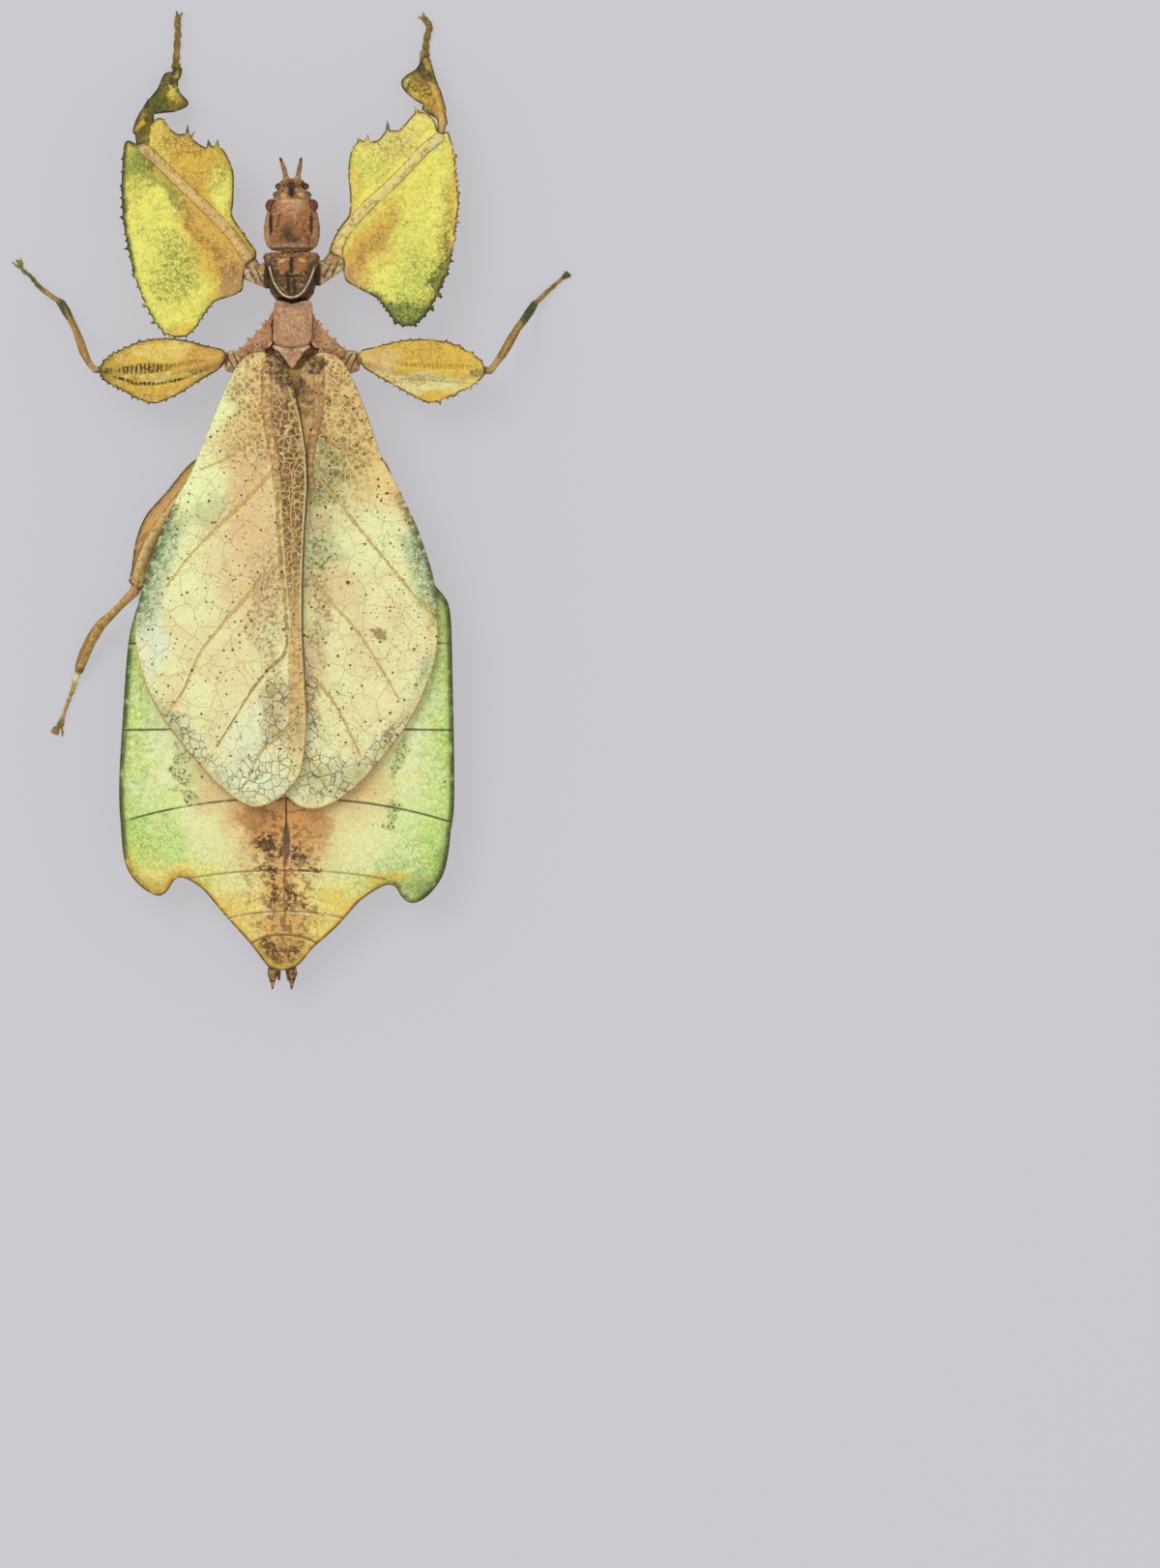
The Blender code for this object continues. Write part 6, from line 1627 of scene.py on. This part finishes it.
CERCUS_MARKS = (
    ("dark_brown", 0.8, -0.95, -38, 0.2, 0.9), ("dark_brown", 0.8, -0.15, -38, 0.2, 0.9),
    ("dark_brown", 0.7, -1.3, -38.8, 0.3, 0.2), ("dark_brown", 0.7, 0.2, -38.8, 0.3, 0.2),
)


# Node, slot, ground, dark and light colour, grit, growth, marks, and the node it is joined to with a rod's radius
PLATES = (
    ("pronotum", "thorax_shield", "brown", "dark_brown", "orange_brown", 0.7, 0.08, PRONOTUM_MARKS, None),
    ("mesonotum", "thorax_shield", "thorax_pink", "head_brown", "thorax_pink", 0.2, 0.15, SHIELD_MARKS, None),
    ("scutellum", "thorax_shield", "thorax_pink", "head_brown", "cream", 0.2, 0.0, SCUTELLUM_MARKS, None),
    ("mesopleuron_left", "thorax_shield", "side_brown", "head_brown", "thorax_pink", 0.45, 0.0, SIDE_MARKS, None),
    ("mesopleuron_right", "thorax_shield", "side_brown", "head_brown", "thorax_pink", 0.45, 0.0, SIDE_MARKS, None),
    ("subgenital_plate", "dark_horn", "olive", "dark_brown", "brown", 0.7, 0.0, (), ("abdomen_8", 0.25)),
    ("gonapophysis_left", "tail_green", "olive", "brown", "tan", 0.7, 0.0, (), ("abdomen_10", 0.2)),
    ("gonapophysis_right", "tail_green", "olive", "brown", "tan", 0.7, 0.0, (), ("abdomen_10", 0.2)),
    ("cercus_left", "tail_green", "brown", "dark_brown", "orange_brown", 0.7, 0.0, CERCUS_MARKS, None),
    ("cercus_right", "tail_green", "brown", "dark_brown", "orange_brown", 0.7, 0.0, CERCUS_MARKS, None),
)


def build_body():
    trunk = ["prothorax", "mesothorax", "metathorax"]
    piece = cast_of("trunk_skin", trunk, 0.07, 4, (("prothorax", "head", 1.1), ("metathorax", "abdomen_2", 1.2)),
                    TRUNK_GRAIN, swell=0.2, grow=0.03)
    finish = horn_finish("head_brown", "dark_brown", "tan", marks=TRUNK_MARKS)
    finish.dress(piece, "body_skin", trunk)
    for node, slot, base, dark, light, grit, grow, marks, joint in PLATES:
        grain = SHIELD_GRAIN if slot == "thorax_shield" else TAIL_GRAIN
        if node in SHAPES:
            shaped = merged([node]) if node.startswith("mesopleuron") else bmesh.new()
            hull(shaped, SHAPES[node])
            piece = melted(f"{node}_skin", shaped, 0.04, 1, grain)
        else:
            joints = ((node, *joint),) if joint else ()
            paths = {"panel_rim": PANEL_RIM} if node == "pronotum" else None
            piece = cast_of(f"{node}_skin", [node], 0.05, 2, joints, grain, paths, grow=grow)
        finish = horn_finish(base, dark, light, 0.4, 0.5, marks, node == "pronotum", grit)
        finish.dress(piece, slot, [node])


# Shin, joints of the foot, pad and claws, each a chain of balls (x, y, z, radius). A long chain is wrapped ball by
# ball, a short one as a whole
LIMBS = {
    "middle_left": (
        (
            (-14.5, 10.3, 4.2, 0.36), (-15.35, 10.2, 4.2, 0.24), (-15.84, 10.79, 3.95, 0.25),
            (-16.3, 11.71, 3.5, 0.35), (-16.53, 12.42, 3.15, 0.34), (-16.89, 13.35, 2.6, 0.27),
            (-17.35, 14.28, 2.05, 0.28), (-17.76, 14.98, 1.6, 0.36), (-18.11, 15.57, 1.1, 0.34),
            (-18.4, 15.82, 0.8, 0.26),
        ),
        (
            (-18.4, 15.82, 0.7, 0.2), (-18.75, 16.03, 0.45, 0.16), (-19.33, 16.5, 0.26, 0.16),
            (-19.74, 16.79, 0.24, 0.2),
        ),
        ((-19.8, 16.85, 0.22, 0.15), (-20.1, 17.12, 0.22, 0.2)),
        ((-20.15, 17.2, 0.2, 0.14), (-20.44, 17.58, 0.21, 0.19)),
        ((-20.5, 17.65, 0.18, 0.12), (-20.73, 17.9, 0.18, 0.16)),
        ((-20.8, 17.95, 0.18, 0.12), (-21.08, 18.13, 0.2, 0.18), (-21.35, 18.4, 0.18, 0.12)),
        ((-21.35, 18.4, 0.2, 0.1), (-21.5, 18.95, 0.2, 0.1), (-21.72, 19.05, 0.2, 0.09), (-21.3, 18.85, 0.2, 0.09)),
        ((-21.4, 18.45, 0.2, 0.08), (-21.75, 18.6, 0.22, 0.07), (-22.1, 18.92, 0.16, 0.04)),
        ((-21.3, 18.5, 0.2, 0.08), (-21.28, 18.85, 0.22, 0.06), (-21.45, 19.25, 0.14, 0.04)),
    ),
    "middle_right": (
        (
            (15, 10.25, 4.2, 0.36), (15.95, 10.15, 4.2, 0.27), (16.42, 10.79, 3.9, 0.27), (17, 11.6, 3.6, 0.34),
            (17.58, 12.65, 3, 0.36), (18.11, 13.58, 2.5, 0.29), (18.63, 14.28, 2, 0.33), (19.09, 14.98, 1.4, 0.35),
            (19.45, 15.57, 0.95, 0.29),
        ),
        ((19.45, 15.57, 0.8, 0.2), (19.8, 15.86, 0.5, 0.16), (20.38, 16.5, 0.25, 0.17), (20.55, 16.66, 0.24, 0.19)),
        ((20.6, 16.7, 0.22, 0.14), (20.95, 17, 0.22, 0.19)), ((21, 17.05, 0.2, 0.13), (21.2, 17.25, 0.2, 0.17)),
        ((21.2, 17.25, 0.2, 0.12), (21.43, 17.43, 0.2, 0.17), (21.6, 17.6, 0.2, 0.15)),
        ((21.6, 17.6, 0.2, 0.14), (21.98, 18.1, 0.2, 0.12), (22.25, 17.85, 0.2, 0.12)),
    ),
    "hind_left": (
        (
            (-12, -6.6, 3.1, 0.42), (-12.25, -7.3, 3.05, 0.42), (-12.74, -7.76, 2.85, 0.37),
            (-13.36, -8.38, 2.6, 0.31), (-14.14, -9.16, 2.3, 0.34), (-14.99, -9.93, 1.95, 0.43),
            (-15.7, -11.02, 1.6, 0.46), (-16.24, -12.11, 1.25, 0.46), (-16.6, -13.04, 0.95, 0.43),
            (-16.74, -13.5, 0.75, 0.36),
        ),
        (
            (-16.75, -13.5, 0.6, 0.2), (-17.02, -13.98, 0.45, 0.15), (-17.1, -14.4, 0.35, 0.16),
            (-17.35, -15.3, 0.22, 0.19),
        ),
        ((-17.4, -15.4, 0.2, 0.13), (-17.62, -15.95, 0.2, 0.18)),
        ((-17.65, -16.02, 0.18, 0.12), (-17.82, -16.5, 0.19, 0.17)),
        ((-17.85, -16.55, 0.17, 0.11), (-18, -17.05, 0.17, 0.15)),
        ((-18, -17.05, 0.17, 0.1), (-18.1, -17.9, 0.2, 0.14), (-18.42, -17.8, 0.2, 0.14)),
        ((-18.4, -18, 0.2, 0.1), (-18.5, -18.55, 0.2, 0.14), (-18.85, -18.45, 0.2, 0.12)),
        ((-18.2, -18, 0.2, 0.08), (-18.05, -18.45, 0.22, 0.06), (-18.1, -18.8, 0.14, 0.04)),
        ((-18.45, -17.95, 0.2, 0.08), (-18.8, -18.1, 0.22, 0.07), (-19, -18.4, 0.14, 0.04)),
    ),
}
LIMB_MARKS = {
    "middle_left": (
        ("shin_gold", 0.6, -16.1, 11.6, 0.3, 1.6, 22), ("tan", 0.5, -15.5, 10.4, 0.4, 0.4),
        ("dark_green", 0.85, -17.9, 15.1, 0.5, 1, 25), ("shin_gold", 0.7, -17, 13.2, 0.14, 2.2, 22),
        ("shin_gold", 0.7, -18.9, 16.2, 0.7, 0.3, -35), ("dark_green", 0.6, -20.2, 17.3, 0.7, 0.4, -45),
        ("leaf_green", 0.7, -21.6, 18.9, 0.6, 0.6),
    ),
    "middle_right": (
        ("tan", 0.6, 16.3, 10.7, 0.6, 0.6), ("shin_gold", 0.8, 17.6, 12.7, 0.16, 2, -30),
        ("dark_green", 0.95, 19, 14.9, 0.5, 1, -30), ("shin_gold", 0.6, 20.1, 16.2, 0.7, 0.2, 45),
        ("dark_green", 0.8, 22, 17.95, 0.5, 0.5),
    ),
    "hind_left": (
        ("hip_tan", 0.95, -12.5, -7.6, 0.7, 0.5, 30), ("wing_cream", 0.9, -16.9, -14.1, 0.3, 0.45),
        ("dark_brown", 0.6, -16.6, -13.6, 0.4, 0.3), ("brown", 0.6, -16.6, -12.2, 0.2, 2.6, -25),
        ("olive", 0.7, -18.4, -18.2, 0.8, 0.9),
    ),
}


# Where each hip's creases of painted shade lie
HIP_LINES = {
    "front_left": (-2.7, 17.8),
    "front_right": (3.3, 18.1),
    "middle_left": (-4.4, 10.9),
    "middle_right": (4.9, 10.9),
    "hind_left": (-5, 3.6),
    "hind_right": (5, 3.6),
}
LONG_CHAIN = 5


def hip_marks(pair, side):
    """Two creases on a hip drawn as dark lines of painted shade, and a dark patch at its inner end on the front pair.
    """
    x, y = HIP_LINES[f"{pair}_{side}"]
    out = -1 if side == "left" else 1
    # Painted shade: two dark lines stand in for creases that the hip's shape doesn't have
    lines = [("dark_brown", 0.85, x + step, y, 0.07, 0.8, -out * turn) for step, turn in ((-0.25, 30), (0.3, 25))]
    if pair == "front":
        lines.append(("dark_brown", 0.9, MIDDLE + out * 1.95, 17.6, 0.35, 1.3))
    return lines


def build_legs():
    for pair, ring in (("front", "prothorax"), ("middle", "mesothorax"), ("hind", "metathorax")):
        for side in ("left", "right"):
            word = f"{pair}_{side}"
            coxa, femur, tibia, tarsus = (f"{part}_{word}" for part in ("coxa", "femur", "tibia", "tarsus"))
            if coxa in HIPS:
                shaped = bmesh.new()
                for balls in HIPS[coxa]:
                    hull(shaped, balls)
                piece = melted(f"{coxa}_skin", shaped, 0.05, 3, HIP_GRAIN)
            else:
                piece = cast_of(f"{coxa}_skin", [coxa], 0.05, 3, ((coxa, ring, 0.6), (coxa, femur, 0.45)), HIP_GRAIN,
                                grow=0.05)
            finish = horn_finish("hip_tan", "head_brown", "cream", marks=hip_marks(pair, side), grit=0.3)
            finish.dress(piece, "leg_joint", [coxa])
            nodes = [tarsus] if pair == "front" else [tibia, tarsus]
            if word in LIMBS:
                shaped = bmesh.new()
                for chain in LIMBS[word]:
                    for balls in zip(chain, chain[1:]) if len(chain) >= LONG_CHAIN else [chain]:
                        hull(shaped, balls)
                piece = melted(f"shin_{word}_skin", shaped, 0.035, 2, LIMB_GRAIN)
            else:
                joints = ((tarsus, tibia, 0.24),) if pair == "front" else ((tibia, femur, 0.4), (tarsus, tibia, 0.22))
                piece = cast_of(f"shin_{word}_skin", nodes, 0.05, 2, joints, TAIL_GRAIN, grow=0.02)
            base = "ochre" if pair == "hind" else "shin_olive"
            finish = horn_finish(base, "olive", "shin_gold", marks=LIMB_MARKS.get(word, ()), grit=0.15)
            finish.dress(piece, "foot", nodes)


# Stage

# The camera looks straight down: its height and aim, and how much it sees along the picture's long side at the
# height of the insect's back
EYE_HEIGHT = 1005.0
BACK_HEIGHT = 5.0
FRAME_LONG_SIDE = 124.08
AIM = (23.06, -22.57)
SENSOR = 36.0
# In metres
NEAR, FURTHEST = 0.05, 20.0
FLOOR_SIZE = 6.0
LAMP_PLACE = (-0.5, 0.55, 1.1)
LAMP_SIZE = 0.7
# Share of the floor's brightness that doesn't hang on the light, which keeps its shadows faint
FLOOR_GLOW = 0.72
SKY_TINT = (0.97, 0.985, 1.0, 1.0)


def build_floor():
    """A plain pale floor that glows a little."""
    bpy.ops.mesh.primitive_plane_add(size=FLOOR_SIZE, location=(0, 0, 0))
    floor = bpy.context.object
    floor.name = "floor"
    ground = Finish("floor", roughness=0.9, specular=0.1)
    ground.material.name = "floor_finish"
    ground.shader.inputs["Emission Color"].default_value = ground.colour
    ground.colour = (*(channel * (1 - FLOOR_GLOW) for channel in ground.colour[:3]), 1.0)
    ground.shader.inputs["Emission Strength"].default_value = FLOOR_GLOW
    ground.shade(ground.blotches(60.0, 0.5, 0.3), 0.985)
    floor.data.materials.append(ground.done())


def build_light():
    """Even light from all round and one large soft lamp."""
    light = bpy.context.scene.leaf_insect_light
    world = bpy.data.worlds.new("studio")
    bpy.context.scene.world = world
    world.use_nodes = True
    sky = world.node_tree.nodes["Background"].inputs
    sky["Color"].default_value = SKY_TINT
    sky["Strength"].default_value = light.sky
    bpy.ops.object.light_add(type="AREA", location=LAMP_PLACE)
    key = bpy.context.object
    key.name = "key_light"
    key.data.shape = "SQUARE"
    key.data.size = LAMP_SIZE
    key.data.energy = light.key
    key.rotation_euler = (-key.location).to_track_quat("-Z", "Y").to_euler()


def build_camera():
    bpy.ops.object.camera_add(location=(AIM[0] * MM, AIM[1] * MM, EYE_HEIGHT * MM), rotation=(0, 0, 0))
    camera = bpy.context.object
    camera.data.sensor_width = SENSOR
    camera.data.lens = SENSOR * (EYE_HEIGHT - BACK_HEIGHT) / FRAME_LONG_SIDE
    camera.data.clip_start, camera.data.clip_end = NEAR, FURTHEST
    bpy.context.scene.camera = camera
    bpy.context.scene.view_settings.view_transform = "Standard"


def build_stage():
    build_floor()
    build_light()
    build_camera()


# Add-on


class LEAFINSECT_OT_stage(bpy.types.Operator):
    """Sets the floor, the light and the camera"""

    bl_idname = "leafinsect.stage"
    bl_label = "Stage"

    def execute(self, context):
        build_stage()
        return {"FINISHED"}


class LEAFINSECT_OT_wings(bpy.types.Operator):
    """Makes the two fore wings"""

    bl_idname = "leafinsect.wings"
    bl_label = "Fore wings"

    def execute(self, context):
        build_wings()
        return {"FINISHED"}


class LEAFINSECT_OT_abdomen(bpy.types.Operator):
    """Makes the skin of the abdomen"""

    bl_idname = "leafinsect.abdomen"
    bl_label = "Abdomen"

    def execute(self, context):
        build_abdomen()
        return {"FINISHED"}


class LEAFINSECT_OT_thighs(bpy.types.Operator):
    """Makes the lobed thighs and front shins"""

    bl_idname = "leafinsect.thighs"
    bl_label = "Thighs"

    def execute(self, context):
        build_thighs()
        return {"FINISHED"}


class LEAFINSECT_OT_head(bpy.types.Operator):
    """Makes the head with its eyes, antennae and mouthparts"""

    bl_idname = "leafinsect.head"
    bl_label = "Head"

    def execute(self, context):
        build_head()
        return {"FINISHED"}


class LEAFINSECT_OT_body(bpy.types.Operator):
    """Makes the thorax and the tail"""

    bl_idname = "leafinsect.body"
    bl_label = "Body"

    def execute(self, context):
        build_body()
        return {"FINISHED"}


class LEAFINSECT_OT_legs(bpy.types.Operator):
    """Makes the hips, shins and feet"""

    bl_idname = "leafinsect.legs"
    bl_label = "Legs"

    def execute(self, context):
        build_legs()
        return {"FINISHED"}


OPERATORS = (LEAFINSECT_OT_stage, LEAFINSECT_OT_wings, LEAFINSECT_OT_abdomen, LEAFINSECT_OT_thighs,
             LEAFINSECT_OT_head, LEAFINSECT_OT_body, LEAFINSECT_OT_legs)


class LEAFINSECT_PT_panel(bpy.types.Panel):
    """Lists the settings and the steps of the leaf insect"""

    bl_label = "Leaf insect"
    bl_idname = "LEAFINSECT_PT_panel"
    bl_space_type = "VIEW_3D"
    bl_region_type = "UI"
    bl_category = "Leaf insect"

    def draw(self, context):
        layout = self.layout
        for group in (context.scene.leaf_insect_sizes, context.scene.leaf_insect_colours,
                      context.scene.leaf_insect_light):
            for name in group.__annotations__:
                layout.prop(group, name)
        for operator in OPERATORS:
            layout.operator(operator.bl_idname)


GROUPS = (("leaf_insect_sizes", LeafInsectSizes), ("leaf_insect_colours", LeafInsectColours),
          ("leaf_insect_light", LeafInsectLight))


def register():
    for name, group in GROUPS:
        bpy.utils.register_class(group)
        setattr(bpy.types.Scene, name, PointerProperty(type=group))
    for made in (*OPERATORS, LEAFINSECT_PT_panel):
        bpy.utils.register_class(made)


def unregister():
    for made in (LEAFINSECT_PT_panel, *reversed(OPERATORS)):
        bpy.utils.unregister_class(made)
    for name, group in reversed(GROUPS):
        delattr(bpy.types.Scene, name)
        bpy.utils.unregister_class(group)


def main():
    register()
    build_groups()
    bpy.ops.leafinsect.stage()
    bpy.ops.leafinsect.wings()
    bpy.ops.leafinsect.abdomen()
    bpy.ops.leafinsect.thighs()
    bpy.ops.leafinsect.head()
    bpy.ops.leafinsect.body()
    bpy.ops.leafinsect.legs()


if __name__ == "__main__":
    main()
